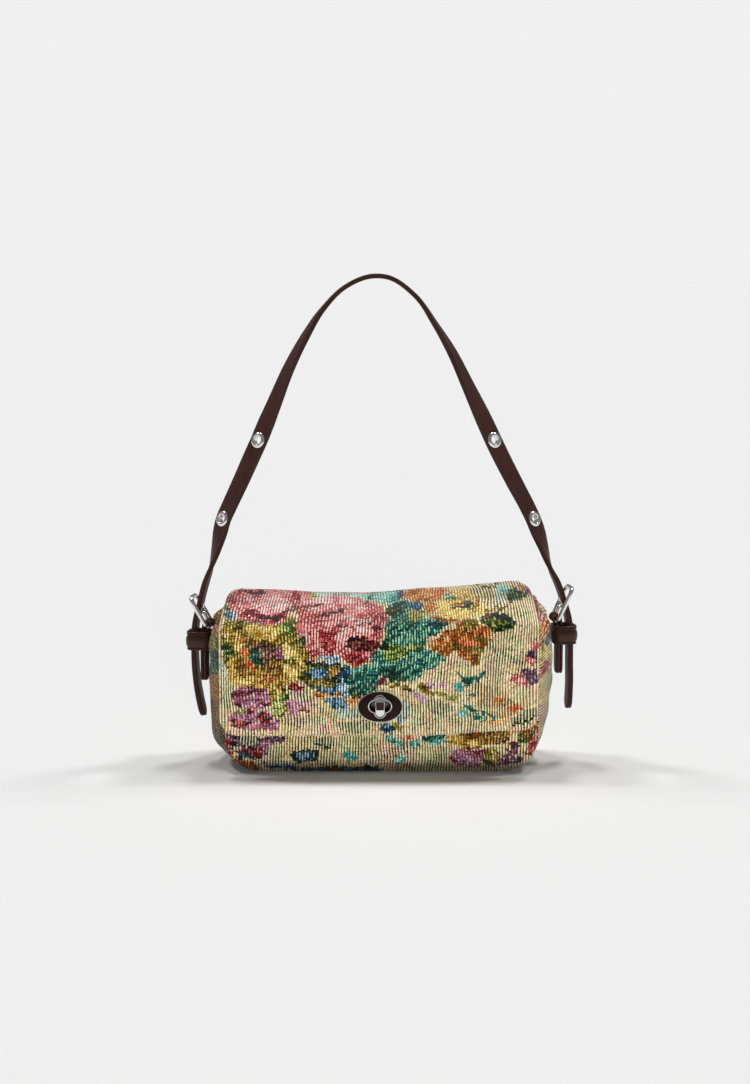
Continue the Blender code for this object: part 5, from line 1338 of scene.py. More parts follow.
def soft(x, z, seed_shift=0.0):
    """Slow dents of a soft bag."""
    a = N1(x / 34 + 3.1 + seed_shift, z / 26 + 7.7) - 0.5
    b = N2(x / 15 + 1.3, z / 12 + 2.9 + seed_shift) - 0.5
    return 1.7 * a + 0.6 * b


def wander(x, z, d):
    """Ribs of soft cloth never run quite straight."""
    w = 3.4 * (N3(x / 27 + 5.0, z / 23 + 2.0) - 0.5) + 1.2 * (N4(x / 11 + 1.0, z / 9) - 0.5)
    return w * step(d, 0.5, 11)


def outline_distance(x, z, top=None):
    """Distance in a panel's plane from its seam."""
    ax = np.abs(x) - (HALF_W - CORNER_R)
    side = HALF_W - np.abs(x)
    low = z
    cr = CORNER_R - np.hypot(np.clip(ax, 0, None), np.clip(CORNER_R - z, 0, None))
    corner = (ax > 0) & (z < CORNER_R)
    return np.where(corner, cr, np.minimum(side, low))


def body_panel(name, side, top, amount, nx, nz, uv, node, sag):
    xs = np.linspace(-HALF_W, HALF_W, nx)
    zb = bottom_z(xs)
    t = np.linspace(0, 1, nz)
    Xg = np.repeat(xs[:, None], nz, 1)
    Zg = zb[:, None] + (top - zb)[:, None] * t[None, :]
    D = outline_distance(Xg, Zg)
    y = panel_y(Xg, Zg, PANEL_BASE, amount, top)
    calm = 1 - np.exp(-((Xg - LOCK_X) ** 2 + (Zg - LOCK_Z) ** 2) / 22.0 ** 2) if side < 0 \
        else 1.0
    y = y + soft(Xg, Zg, 5.0 * side) * step(D, 2, 22) * calm * 0.8
    # puckers where the seam draws the cloth
    run = np.where(np.abs(Xg) > 74, Zg, Xg)
    y = y + 0.35 * np.sin(run / 3.4 + 2.0 * N1(run / 9, 0 * run)) * \
        np.exp(-np.clip(D - 1.5, 0, None) / 3.5) * step(D, 0.3, 2.5)
    y = y - edge_drop(D, 2.8) * 0.62
    drop_z = np.zeros_like(Zg)
    if sag:
        drop_z = top_sag(np.clip(Xg, -88, 86)) * 0.55 * step(Zg, 66, top)
    Xw = Xg + wander(Xg, Zg, D) * calm
    P = np.stack([Xw, side * y, Zg + drop_z], 2)
    yi = np.minimum(y - 0.45, panel_y(Xg, Zg, PANEL_BASE - CLOTH, amount, top))
    yi = np.maximum(yi, PANEL_BASE - CLOTH)
    Q = np.stack([Xw, side * yi, Zg + drop_z], 2)
    FX, FS = Xg + HALF_W, Zg
    u, v = uv(cell_middles(P))
    return woven(name, P, Q, FX, FS, weave_cells(u, v, cell_middles(FX),
                 cell_middles(FS), name), "body", [node],
                 np.array([0, side, 0.0]), holes=HOLES.get(name, ()))


def weave_cells(u, v, fx, fs, name):
    if name == "front_cloth":
        band = weave(BAND_SHAPES, u, v, fx, fs, RIB, PICK)
        rest = weave(FLAP_SHAPES, mirror_tile(u + 60, 222, 536),
                     mirror_tile(v - 96, 592, 726), fx, fs, RIB, PICK)
        # under the flap the design runs on
        # painted shade: the band under the flap is made a little darker all over and much darker
        # along its bottom edge
        deep = (0.97 - 0.20 * step(v, 748, 770) - 0.30 * step(v, 759, 768))[..., None]
        return np.where((v < 731.0)[..., None], rest, band * deep)
    return weave(FLAP_SHAPES, u, v, fx, fs, RIB, PICK)


HOLES = {}
ring20 = lambda r: [(r * math.cos(2 * math.pi * i / 20), r * math.sin(2 * math.pi * i / 20))
                    for i in range(20)]
v_, f_ = rings([[np.array([LOCK_X + a, -yy, LOCK_Z + b]) for a, b in ring20(4.2)]
                for yy in (20.0, 60.0)])
post_hole = helper("post_hole", v_, f_)
HOLES["front_cloth"] = (post_hole,)


def front_uv(p):
    return design_plane(p)


def back_uv(p):
    return (mirror_tile(222 + (97 - p[..., 0]) * 1.62 + 47, 222, 536),
            mirror_tile(596 + (104 - p[..., 2]) * 1.6, 592, 728))


front_cloth = body_panel("front_cloth", -1, FRONT_TOP, BULGE_FRONT, 441, 150,
                         front_uv, "front_panel", False)
back_cloth = body_panel("back_cloth", 1, BACK_TOP, BULGE_BACK, 441, 150,
                        back_uv, "back_panel", True)
drop(post_hole)


# gusset: one strip round both sides and the base
def side_swell(z, table):
    zs, bs = [a for a, _ in table], [b for _, b in table]
    return np.mean([np.interp(z + d, zs, bs) for d in (-3.0, -1.5, 0.0, 1.5, 3.0)], axis=0)


def side_dent(y, z):
    u = np.clip((z - 55.0) / 14.0, 0, 1)
    return SIDE_DENT * np.exp(-(y / 9.5) ** 4) * u * u * (3 - 2 * u)


def gusset_grid(ns, nc, nf, ny, table, other, rise, rim):
    ys = np.linspace(-SEAM_Y, SEAM_Y, ny)
    cols = []
    zt = FRONT_TOP - 1.0 + (BACK_TOP - FRONT_TOP) * (ys + SEAM_Y) / (2 * SEAM_Y) \
        + rise * np.cos(math.pi / 2 * ys / SEAM_Y)
    bow = np.cos(math.pi / 2 * ys / SEAM_Y).clip(0, None) ** 0.75
    out, inn, run = [], [], []
    s0 = 90.0 - CORNER_R
    for k in range(ns):
        t = k / ns
        z = zt + (CORNER_R - zt) * t
        out.append((np.full(ny, -HALF_W), z, -1.0, 0.0))
        run.append(np.full(ny, s0 * t))
    for k in range(nc + 1):
        a = math.pi / 2 * k / nc
        out.append((np.full(ny, -(HALF_W - CORNER_R) - CORNER_R * math.cos(a)),
                    np.full(ny, CORNER_R - CORNER_R * math.sin(a)),
                    -math.cos(a), -math.sin(a)))
        run.append(np.full(ny, s0 + CORNER_R * a))
    for k in range(1, nf + 1):
        out.append((np.full(ny, -(HALF_W - CORNER_R) * (1 - k / nf)),
                    np.zeros(ny), 0.0, -1.0))
        run.append(np.full(ny, s0 + CORNER_R * math.pi / 2 + (HALF_W - CORNER_R) * k / nf))
    P, Q = [], []
    for (px, pz, nx_, nz_) in out:
        b = side_swell(pz, table) * bow - side_dent(ys, pz)
        # upright creases and a few slack folds high up
        fold = 0.9 * np.sin(pz / 4.6 + 0.12 * ys) * step(pz, 60, 84) * bow \
            + 1.2 * (N2(ys / 9 + 4.2, pz / 11 + 1.7) - 0.5) * bow
        b = b + fold * (1 - np.exp(-(ys / 9.5) ** 4) * step(pz, 48, 60)) * (1 - other)
        b = b + other * bow * (0.7 * np.sin(pz / 5.3 - 0.16 * ys) * step(pz, 58, 80)
                               + 1.4 * (N3(ys / 8 + 1.2, pz / 10 + 5.7) - 0.5)) * \
            (1 - np.exp(-(ys / 9.5) ** 4) * step(pz, 48, 60))
        # the top turns in towards the flap
        lean = step(pz, zt - LEAN, zt)
        b = b * (1 - lean) + rim * lean * bow
        if nx_ == 0.0:
            b = b * 0
        lower = edge_drop(SEAM_Y - np.abs(ys), 2.4) * 0.55
        bx = -b if nx_ else 0.0 * b
        P.append(np.stack([px + bx - nx_ * lower, ys, pz - nz_ * lower], 1))
        Q.append(np.stack([px + bx - nx_ * CLOTH, ys, pz - nz_ * CLOTH], 1))
    return np.array(P), np.array(Q), np.array(run), ys


Pl, Ql, run_l, ys_g = gusset_grid(150, 70, 60, 80, SWELL_L, 0, 3.6, -1.0)
Pr, Qr, run_r0, ys_r = gusset_grid(150, 70, 60, 80, SWELL_R, 1, 7.4, 1.4)
flip_x = np.array([-1, 1, 1.0])
right_P = (Pr[:-1] * flip_x)[::-1]
right_Q = (Qr[:-1] * flip_x)[::-1]
run_r = (2 * run_l[-1, 0] - run_l[:-1])[::-1]
Pg = np.concatenate([Pl, right_P])
Qg = np.concatenate([Ql, right_Q])
RUN = np.concatenate([run_l, run_r])
FXg = RUN
FSg = Pg[:, :, 1] + SEAM_Y

FLAP_KEEP = SHAPES
SHAPES = []
gu = lambda x, y: (x, y)
# drawn straight onto the strip: x is the place along it, y across, in mm
def gus(yarn, shift, run0, run1, y0, y1, skew=6, dash=None):
    """A patch of the strip with slanted ends."""
    blob(gu, yarn, shift, (run0, y0), (run0 + skew, (y0 + y1) / 2), (run0, y1),
         (run1, y1), (run1 + skew, (y0 + y1) / 2), (run1, y0), dash=dash)


e = 2 * float(run_l[-1, 0])
# left side, from the rim down
gus("peach", 0, -6, 10, -2, 62, 2, .5)
gus("moss", 0, 6, 16, -2, 26, 4, .5)
gus("tealD", 0, 15, 27, -2, 34, 6, .25)
gus("teal", .02, 22, 34, 6, 40, 5, .3)
gus("orange", -.04, 30, 52, -2, 24, 6, .55)
gus("rust", -.06, 44, 66, -2, 40, 7, .5)
gus("ochre", -.08, 56, 80, -2, 24, 6, .5)
gus("wine", 0, 70, 84, 16, 44, 4, .3)
gus("dkgreen", 0, 66, 76, -2, 12, 4, .3)
gus("wine", 0, 82, 104, -2, 24, 6, .3)
gus("mauve", 0, 92, 112, 8, 34, 5, .4)
gus("olive", 0, 70, 92, 30, 58, -6, .35)
gus("teal", 0, 12, 40, 44, 62, 6, .3)
gus("rose", 0, 40, 62, 46, 62, 5, .3)
gus("green", 0, 118, 150, 8, 40, 8, .4)
gus("moss", 0, 150, 190, 14, 52, 8, 1.0)
gus("teal", -.02, 196, 236, 10, 44, 8, .4)
gus("pink", 0, 150, 176, 0, 20, 5, .4)
# right side, from the base up to the rim
gus("mauve", 0, e - 112, e - 96, 0, 24, 6, .35)
gus("pink", .02, e - 98, e - 84, -2, 18, 4, .3)
gus("sand", .08, e - 88, e - 58, -2, 34, 5, 1.0)
gus("pink", .04, e - 64, e - 50, -2, 14, 3, 1.0)
gus("taupe", 0, e - 72, e - 60, 24, 44, 5, .4)
gus("straw", .06, e - 50, e - 34, -2, 24, 4, 1.0)
gus("green", .06, e - 42, e - 30, 6, 18, 4, 1.0)
gus("pink", .02, e - 33, e - 26, -2, 12, 3, .4)
gus("blue", .04, e - 20, e - 12, 4, 24, 4, .3)
gus("yellow", .02, e - 24, e - 10, -2, 8, 2, .4)
gus("orange", .04, e - 12, e - 3, -2, 34, 4, .5)
gus("pink", .10, e - 5, e + 6, 4, 62, 2, .6)
gus("teal", 0, e - 70, e - 40, 42, 62, 6, .3)
gus("olive", 0, e - 36, e - 16, 40, 62, 5, .4)
GUSSET_SHAPES, SHAPES = SHAPES, FLAP_KEEP
cu, cv = cell_middles(RUN), cell_middles(FSg)
rgb = weave(GUSSET_SHAPES, cu, cv, cell_middles(FXg), cell_middles(FSg), RIB, PICK)
# painted shade: the left side is made darker and yellower, as less light falls on it
rgb = rgb * (1 - (1 - step(cu, 84, 130))[..., None] * np.array([0.24, 0.26, 0.44]))
gusset_cloth = woven("gusset_cloth", Pg, Qg, FXg, FSg, rgb, "body", ["gusset"],
                     np.sign(Pg * np.array([1.0, 0, 0])) + np.array([0, 0, -0.2]))

# welts along the two seams
for tag, yy in (("front", -(SEAM_Y + 0.15)), ("back", SEAM_Y + 0.15)):
    line = []
    top = FRONT_TOP - 1 if yy < 0 else BACK_TOP - 2
    for z in np.linspace(top, CORNER_R, 60)[:-1]:
        line.append((-HALF_W + 0.3, yy, z))
    for k in range(31):
        a = math.pi / 2 * k / 30
        line.append((-(HALF_W - CORNER_R) - (CORNER_R - 0.3) * math.cos(a), yy,
                     CORNER_R - (CORNER_R - 0.3) * math.sin(a) + 0.55 * math.sin(a)))
    half_line = list(line)
    for x in np.linspace(-(HALF_W - CORNER_R), 0, 60)[1:]:
        half_line.append((x, yy, 0.85))
    line = np.array(half_line)
    other = line[:-1][::-1] * flip_x
    line = np.concatenate([line, other])
    vv, ff = tube(line, 0.85, 8)
    ob = piece("seam_welt_" + tag, vv, ff, MAT_CLOTH, "body")
    me = ob.data
    arc = np.concatenate([[0], np.cumsum(np.linalg.norm(np.diff(line, axis=0), axis=1))])
    fxw = np.repeat(arc, 8)
    fsw = np.tile(np.arange(8) * 0.7, len(arc))
    fa = me.attributes.new(name="fab", type="FLOAT_VECTOR", domain="POINT")
    fa.data.foreach_set("vector", np.stack([fxw, fsw, 0 * fxw], 1).astype(np.float32).ravel())
    mid = np.array([line[min(p.vertices[0] // 8, len(line) - 1)] for p in me.polygons])
    kk = np.array([p.vertices[0] % 8 for p in me.polygons])
    uu, vv2 = design_plane(mid) if yy < 0 else back_uv(mid)
    shp = BAND_SHAPES if yy < 0 else FLAP_SHAPES
    c = lin(weave(shp, uu, vv2, fxw[[p.vertices[0] for p in me.polygons]], kk * 0.5, RIB, PICK))
    tot = np.zeros(len(me.polygons), np.int32)
    me.polygons.foreach_get("loop_total", tot)
    flat = np.repeat(c * 0.85, tot, axis=0)
    ca = me.color_attributes.new(name="yarn", type="FLOAT_COLOR", domain="CORNER")
    ca.data.foreach_set("color", np.concatenate(
        [flat, np.ones((len(flat), 1))], 1).astype(np.float32).ravel())

# ---------------------------------------------------------------------- flap
FLAP_TOP = [(33.0, 106.2), (26.0, 109.4), (14.0, 111.2), (0.0, 110.6),
            (-14.0, 107.6), (-27.0, 102.4), (-35.0, 98.0), (-39.4, 94.8)]
FLAP_FRONT = [(-39.4, 94.8), (-40.9, 86.0), (-41.5, 74.0), (-41.7, 60.0),
              (-41.7, 45.0), (-41.6, 33.0), (-41.2, 25.0)]
FLAP_R = 12.0
REAR_LAP = [(34.75, 96.5), (34.95, 100.5), (34.5, 103.8)]
SECTION = smooth_path(REAR_LAP + FLAP_TOP + FLAP_FRONT[1:], 900)
ARC = np.concatenate([[0], np.cumsum(np.linalg.norm(np.diff(SECTION, axis=0), axis=1))])
TAN = np.gradient(SECTION, axis=0)
TAN /= np.linalg.norm(TAN, axis=1)[:, None]
OUT = np.stack([TAN[:, 1] * 1.0, -TAN[:, 0]], 1)
if OUT[450] @ np.array([0, 1]) < 0:
    OUT = -OUT
S_TOTAL = ARC[-1]
S_REAR = float(np.interp(0, [0, 1], [0, 0])) + float(
    ARC[int(np.argmin(np.hypot(SECTION[:, 0] - 33.0, SECTION[:, 1] - 106.2)))])
S_SPLIT = float(ARC[int(np.argmin(np.hypot(SECTION[:, 0] + 16, SECTION[:, 1] - 107)))])
S_FOLD = float(ARC[int(np.argmin(np.hypot(SECTION[:, 0] + 39.4, SECTION[:, 1] - 94.8)))])


def flap_point(xi, s, depth=0.0):
    """A point of the flap: xi is the place across (-97 to 97), s along it."""
    y = np.interp(s, ARC, SECTION[:, 0])
    z = np.interp(s, ARC, SECTION[:, 1])
    oy, oz = np.interp(s, ARC, OUT[:, 0]), np.interp(s, ARC, OUT[:, 1])
    norm = np.hypot(oy, oz)
    oy, oz = oy / norm, oz / norm
    taper = np.where(s < S_FOLD, 94.5 + 2.5 * (s / S_FOLD) ** 2, 97.0) / 97.0
    x = xi * taper - 2.5 * step(s, 16, 50) * step(-xi, 30, 97)
    # the top dips; the back edge dips with it, the front fold a little
    w = np.interp(s, [0, S_REAR, S_REAR + 10, S_FOLD - 26, S_FOLD, S_FOLD + 26],
                  [0.50, 0.70, 1.0, 0.95, 0.42, 0.0])
    sag = top_sag(xi) * w
    calm = 1 - np.exp(-((x - LOCK_X) ** 2 + (z - LOCK_Z) ** 2) / 20.0 ** 2)
    wave = soft(x, s, 1.7) * 0.75 * calm
    wave = wave + 0.5 * np.exp(-((x - 88) / 9) ** 2) * np.sin(s / 5.5) * step(s, 70, 95)
    # a shallow hollow either side of the lock, as the knob draws the flap in
    wave = wave - 0.9 * np.exp(-((np.abs(x - LOCK_X) - 30) / 16) ** 2) * \
        np.exp(-((z - LOCK_Z) / 20) ** 2) * (y < -38)
    d = wave - depth
    x = x + wander(x, s * 0.9, 97.0 - np.abs(xi)) * calm * step(S_TOTAL - s, 1, 12)
    return x, y + oy * d, z + oz * d + sag


def flap_end(xi):
    ax = np.abs(xi) - (97.0 - FLAP_R)
    up = np.where(ax > 0, FLAP_R - np.sqrt(np.clip(FLAP_R ** 2 - np.clip(ax, 0, FLAP_R) ** 2,
                                                   0, None)), 0.0)
    return S_TOTAL - up - 3.4 * step(xi, 20, 86) * (1 - 0.35 * step(xi, 88, 97))


def flap_grid(nx, ns, s_lo, s_hi, depth, lip=False, inset=0.0):
    xi = np.linspace(-97.0 + inset, 97.0 - inset, nx)
    t = np.linspace(0, 1, ns)
    end = flap_end(xi) - inset if lip else np.full(nx, s_hi)
    S = s_lo + (end - s_lo)[:, None] * t[None, :]
    XI = np.repeat(xi[:, None], ns, 1)
    x, y, z = flap_point(XI, S, depth)
    return np.stack([x, y, z], 2), XI, S


def flap_uv(p, xi, s):
    """The design seen from the front; behind the crest it runs on mirrored."""
    u, v = design_plane(p)
    y = np.interp(s, ARC, SECTION[:, 0])
    back = s < float(ARC[int(np.argmin(np.abs(SECTION[:, 0] - 17)))])
    s17 = float(ARC[int(np.argmin(np.abs(SECTION[:, 0] - 17)))])
    vb = 592 + (s17 - s) * 1.55
    ub = 381 + xi * 1.60
    return np.where(back, ub, u), np.where(back, mirror_tile(vb, 588, 728), v)


def flap_piece(name, nx, ns, s_lo, s_hi, lip, node, holes=()):
    P, XI, S = flap_grid(nx, ns, s_lo, s_hi, 0.0, lip)
    Q, _, _ = flap_grid(nx, ns, s_lo, s_hi, 1.8, lip)
    D = 97.0 - np.abs(XI)
    if lip:
        D = np.minimum(D, flap_end(XI[:, :1]) - S)
    low = edge_drop(D, 1.3) * 0.75
    x, y, z = flap_point(XI, S, low)
    P = np.stack([x, y, z], 2)
    x, y, z = flap_point(XI, S, 1.8 - edge_drop(D, 1.0) * 0.5)
    Q = np.stack([x, y, z], 2)
    mx, ms = cell_middles(XI), cell_middles(S)
    u, v = flap_uv(cell_middles(P), mx, ms)
    rgb = weave(FLAP_SHAPES, u, v, mx + 97.0, ms, RIB, PICK)
    # the lip and sides are turned edges, with a painted highlight: a paler line of ribs along
    # them
    De = cell_middles(D)
    rgb = np.where((De < 1.0)[..., None], rgb * 0.86 + 22, rgb)
    toward = np.zeros(P.shape)
    toward[..., 1] = -0.6
    toward[..., 2] = 1.0
    return woven(name, P, Q, XI + 97.0, S, rgb, None, [node], toward, holes=holes,
                 edge_rgb=(0.42, 0.34, 0.22))


def slot_outline(grow=0.0, n=120):
    """Four round lobes run together, the side ones the largest."""
    lobes = [(3.05, 0.0, 3.7), (-3.05, 0.0, 3.7), (0.0, 3.3, 3.2), (0.0, -3.85, 3.15)]
    pts = []
    for i in range(n):
        a = 2 * math.pi * i / n
        c, s = math.cos(a), math.sin(a)
        far = 0.5
        for cx, cz, r in lobes:
            m = cx * c + cz * s
            k = m * m - (cx * cx + cz * cz - (r + grow) ** 2)
            if k > 0:
                far = max(far, m + math.sqrt(k))
        pts.append((far * c, far * s))
    return pts


v_, f_ = rings([[np.array([LOCK_X + a, -yy, LOCK_Z - 0.4 + b])
                 for a, b in slot_outline(1.2, 60)] for yy in (33.0, 46.0)])
slot_hole = helper("slot_hole", v_, f_)
flap_rear = flap_piece("flap_rear_cloth", 441, 80, 0.0, S_SPLIT, False, "flap_top_outer")
flap_main = flap_piece("flap_front_cloth", 441, 200, S_SPLIT, S_TOTAL, True,
                       "flap_front_outer", holes=(slot_hole,))
REAR_A, REAR_B = W((0, 35.0, 99.5)), W((0, 27.0, 109.6))
FOLD_A, FOLD_B = W((0, -29.0, 101.5)), W((0, -41.6, 84.0))
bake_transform(flap_rear)
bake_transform(flap_main)


def plain_sheet(name, P, Q, mat, replaces, body=None, holes=()):
    n, m = P.shape[:2]
    verts = list(P.reshape(-1, 3)) + list(Q.reshape(-1, 3))
    o = lambda i, j: i * m + j
    q = lambda i, j: n * m + i * m + j
    faces = []
    for i in range(n - 1):
        for j in range(m - 1):
            faces.append((o(i, j), o(i + 1, j), o(i + 1, j + 1), o(i, j + 1)))
            faces.append((q(i, j), q(i, j + 1), q(i + 1, j + 1), q(i + 1, j)))
    for i in range(n - 1):
        faces.append((o(i, 0), q(i, 0), q(i + 1, 0), o(i + 1, 0)))
        faces.append((o(i, m - 1), o(i + 1, m - 1), q(i + 1, m - 1), q(i, m - 1)))
    for j in range(m - 1):
        faces.append((o(0, j), o(0, j + 1), q(0, j + 1), q(0, j)))
        faces.append((o(n - 1, j), q(n - 1, j), q(n - 1, j + 1), o(n - 1, j + 1)))
    ob = piece(name, verts, faces, mat, body, replaces, sharp=50)
    if holes:
        cut_with(ob, holes)
        settle(ob, 50)
    return ob


def lining_grid(nx, ns, s_lo, s_hi, lip):
    a, XI, S = flap_grid(nx, ns, s_lo, s_hi, 2.05, lip, inset=1.4)
    b, _, _ = flap_grid(nx, ns, s_lo, s_hi, 3.05, lip, inset=1.4)
    return a, b


a, b = lining_grid(100, 36, S_REAR - 4.0, S_SPLIT, False)
flap_rear_lining = plain_sheet("flap_rear_lining", a, b, MAT_LINING, ["flap_top_lining"])
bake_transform(flap_rear_lining)
a, b = lining_grid(120, 90, S_SPLIT, S_TOTAL, True)
flap_main_lining = plain_sheet("flap_front_lining_cloth", a, b, MAT_LINING,
                               ["flap_front_lining"], holes=(slot_hole,))
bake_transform(flap_main_lining)
drop(slot_hole)


# -------------------------------------------------------- inside of the body
LINING_Y, LINING_T = 28.75, 0.8


def lining_loop(z, off, n=112, ripple=0.0):
    hx = half_width(z, 3.2) - 0.4 - off + float(np.interp(
        z, [0, 9, 16, 28, 52, 69, 88], [0, 1.3, 3.0, 5.3, 7.7, 7.6, 1.7]))
    hy = LINING_Y - off
    pts = []
    for i in range(n):
        a = 2 * math.pi * (i + 0.5) / n
        c, s = math.cos(a), math.sin(a)
        w = ripple * math.sin(a * 23 + z * 0.21) * math.sin(z * 0.09 + 2 * a)
        pts.append(((hx - abs(w)) * math.copysign(abs(c) ** 0.22, c),
                    (hy - abs(w)) * math.copysign(abs(s) ** 0.22, s), z))
    return pts


LIN_Z0 = CLOTH + 2.4
zs = np.concatenate([[LIN_Z0], np.linspace(7, 84, 34), [FRONT_TOP - 3.0]])
outer_l = [lining_loop(z, 0.0, ripple=0.0) for z in zs]
inner_l = [lining_loop(z, LINING_T, ripple=0.7 if 10 < z < 82 else 0.0) for z in zs[::-1]]
inner_l[-1] = [(x, y, LIN_Z0 + LINING_T) for x, y, z in lining_loop(LIN_Z0 + LINING_T, LINING_T)]
vv, ff = rings(outer_l + inner_l)
piece("lining_bag", vv, ff, MAT_LINING, "body", ["lining"], sharp=60)

zf0, zf1 = FRONT_TOP - 14.0, FRONT_TOP - 2.5
prof = [(0.40, zf0), (0.40, zf1 - 0.3), (0.65, zf1), (1.05, zf1), (1.3, zf1 - 0.35),
        (1.3, zf1 - 2.2), (1.12, zf1 - 2.5), (1.3, zf1 - 2.8), (1.3, zf0 + 0.3), (1.0, zf0)]
vv, ff = rings([lining_loop(z, LINING_T + d) for d, z in prof], closed=True)
piece("mouth_facing_leather", vv, ff, MAT_LEATHER, "body", ["mouth_facing"], sharp=45)


def foam(name, side, top, amount, node, mat=None):
    inset = CLOTH + 0.6
    xs = np.linspace(-(HALF_W - inset), HALF_W - inset, 90)
    zb = bottom_z(xs, inset)
    t = np.linspace(0, 1, 46)
    Xg = np.repeat(xs[:, None], 46, 1)
    Zg = zb[:, None] + (top - zb)[:, None] * t
    y = panel_y(Xg, Zg, SEAM_Y, amount, top)
    ripple = 0.12 * (N2(Xg / 6, Zg / 6) - 0.5)
    dz = top_sag(np.clip(Xg, -88, 86)) * 0.5 * step(Zg, 66, top) if side > 0 else 0
    P = np.stack([Xg, side * (y + ripple), Zg + dz], 2)
    Q = np.stack([Xg, side * (y - 0.9), Zg + dz], 2)
    holes = ()
    if side < 0:
        v, f = rings([[np.array([LOCK_X + a, -yy, LOCK_Z + b]) for a, b in ring20(4.2)]
                      for yy in (20.0, 60.0)])
        h = helper("foam_hole", v, f)
        holes = (h,)
    ob = plain_sheet(name, P, Q, mat or MAT_FELT, [node], "body", holes)
    if holes:
        drop(h)
    return ob


foam("front_interlining_felt", -1, FRONT_TOP - 2.0, BULGE_FRONT * 0.9, "front_interlining")
# the back one shows above the lining, so it is faced with the lining's cloth
foam("back_interlining_faced", 1, BACK_TOP - 2.0, BULGE_BACK * 0.9, "back_interlining",
     MAT_LINING)

# ----------------------------------------------------------------- turn lock
FACE_Y = float(-np.interp(LOCK_Z, [33.0, 45.0], [-41.6, -41.7]))
PLATE_A, PLATE_B, PLATE_T, PLATE_DROP = 14.0, 9.9, 1.4, 0.5
H0 = FACE_Y + 0.3
lock_c = np.array([LOCK_X, 0.0, LOCK_Z])
plate_c = np.array([LOCK_X, 0.0, LOCK_Z - PLATE_DROP])


def oval(a, b, n=96):
    return [(a * math.cos(2 * math.pi * i / n), b * math.sin(2 * math.pi * i / n))
            for i in range(n)]


def faced(outlines, centre, closed=True):
    loops = [[centre + a * X + b * Z - h * Y for a, b in out] for out, h in outlines]
    return rings(loops, closed=closed)


def rim_line(u, g=0.0, n=96):
    """A line round the oval rim, which is broader below than above."""
    out = []
    for i in range(n):
        t = 2 * math.pi * i / n
        w = u * (0.56 - 0.26 * math.sin(t)) + g
        out.append(((PLATE_A - w) * math.cos(t), (PLATE_B - w) * math.sin(t)))
    return out


# the face is pressed a little hollow towards its rim
vv, ff = faced([(rim_line(1.0, 0.06), H0), (rim_line(1.0, 0.06), H0 + 0.85),
                (rim_line(1.0, 0.5), H0 + 0.82),
                (oval(PLATE_A - 2.6, PLATE_B - 2.6), H0 + 1.05),
                (oval(PLATE_A - 4.4, PLATE_B - 3.4), H0 + PLATE_T)], plate_c, closed=False)
plate = piece("lock_face_plate", vv, ff, MAT_ENAMEL, "flap_front", ["lock_plate"], sharp=0)
v, f = faced([(slot_outline(0.70), H0 - 2), (slot_outline(0.70), H0 + 6)], lock_c, closed=False)
hole = helper("plate_slot", v, f)
cut_with(plate, [hole])
settle(plate, 30)
drop(hole)

vv, ff = faced([(rim_line(u), H0 + h) for u, h in (
    (0, 0), (0, 0.70), (0.08, 0.92), (0.24, 1.10), (0.5, 1.24), (0.78, 1.22), (1, 1.0),
    (1, 0))], plate_c)
piece("lock_oval_rim", vv, ff, MAT_SILVER, "flap_front", ["lock_bezel"], sharp=50)

# the slot's rim: a broad rolled edge
prof = [(0.80, 0.2), (0.80, 1.10), (0.77, 1.30), (0.68, 1.50), (0.54, 1.68), (0.38, 1.79),
        (0.24, 1.82), (0.08, 1.78), (-0.06, 1.66), (-0.17, 1.48), (-0.24, 1.26), (-0.26, 1.0),
        (-0.26, 0.2)]
vv, ff = faced([(slot_outline(g), H0 + h) for g, h in prof], lock_c)
piece("lock_slot_rim", vv, ff, MAT_SILVER, "flap_front", ["lock_eyelet_rim"], sharp=60)

WASH = FACE_Y - 3.1 - 0.45
vv, ff = faced([(oval(PLATE_A - 2.4, PLATE_B + 0.3), WASH - 0.5),
                (oval(PLATE_A - 2.4, PLATE_B + 0.3), WASH - 0.1),
                (oval(PLATE_A - 2.5, PLATE_B + 0.2), WASH),
                (oval(8.7, 9.2), WASH), (oval(8.6, 9.1), WASH - 0.1),
                (oval(8.6, 9.1), WASH - 0.5)], plate_c)
piece("lock_inner_washer", vv, ff, MAT_SILVER, "flap_front", ["lock_back_washer"], sharp=40)

skin = float(panel_y(LOCK_X, LOCK_Z, PANEL_BASE, BULGE_FRONT, FRONT_TOP))
BASE0 = skin + 0.25
SHAFT_R = 1.9
vv, ff = lathe([(SHAFT_R + 0.35, BASE0 - 4.6), (SHAFT_R + 0.35, BASE0 + 0.85),
                (SHAFT_R + 0.5, BASE0 + 1.0), (5.6, BASE0 + 1.0), (6.15, BASE0 + 0.93),
                (6.5, BASE0 + 0.65), (6.6, BASE0 + 0.3), (6.6, BASE0), (3.7, BASE0),
                (3.7, BASE0 - 4.6)], lock_c, X, Z, -Y, 64)
piece("knob_base_plate", vv, ff, MAT_NICKEL, "body", ["knob_base"], sharp=45)

KNOB_H, KNOB_W, KNOB_T = 12.4, 5.7, 1.9
SQ, SQ_UP = 2.42, 0.55
K0 = H0 + 1.9 + 0.35


def pill(w, h, n=20, m=16):
    r = w / 2
    pts = [(r * math.cos(math.pi * i / n), h / 2 - r + r * math.sin(math.pi * i / n))
           for i in range(n + 1)]
    pts += [(-r, (h / 2 - r) * (1 - 2 * i / m)) for i in range(1, m)]
    pts += [(-x, -z) for x, z in pts]
    return pts


def crest(a, b, h):
    """The bar's face falls away a little towards its upper end."""
    return h - (0.16 * max(b, 0.0) - 0.012 * min(b, 0.0)) * step(h, 1.2, 1.75)


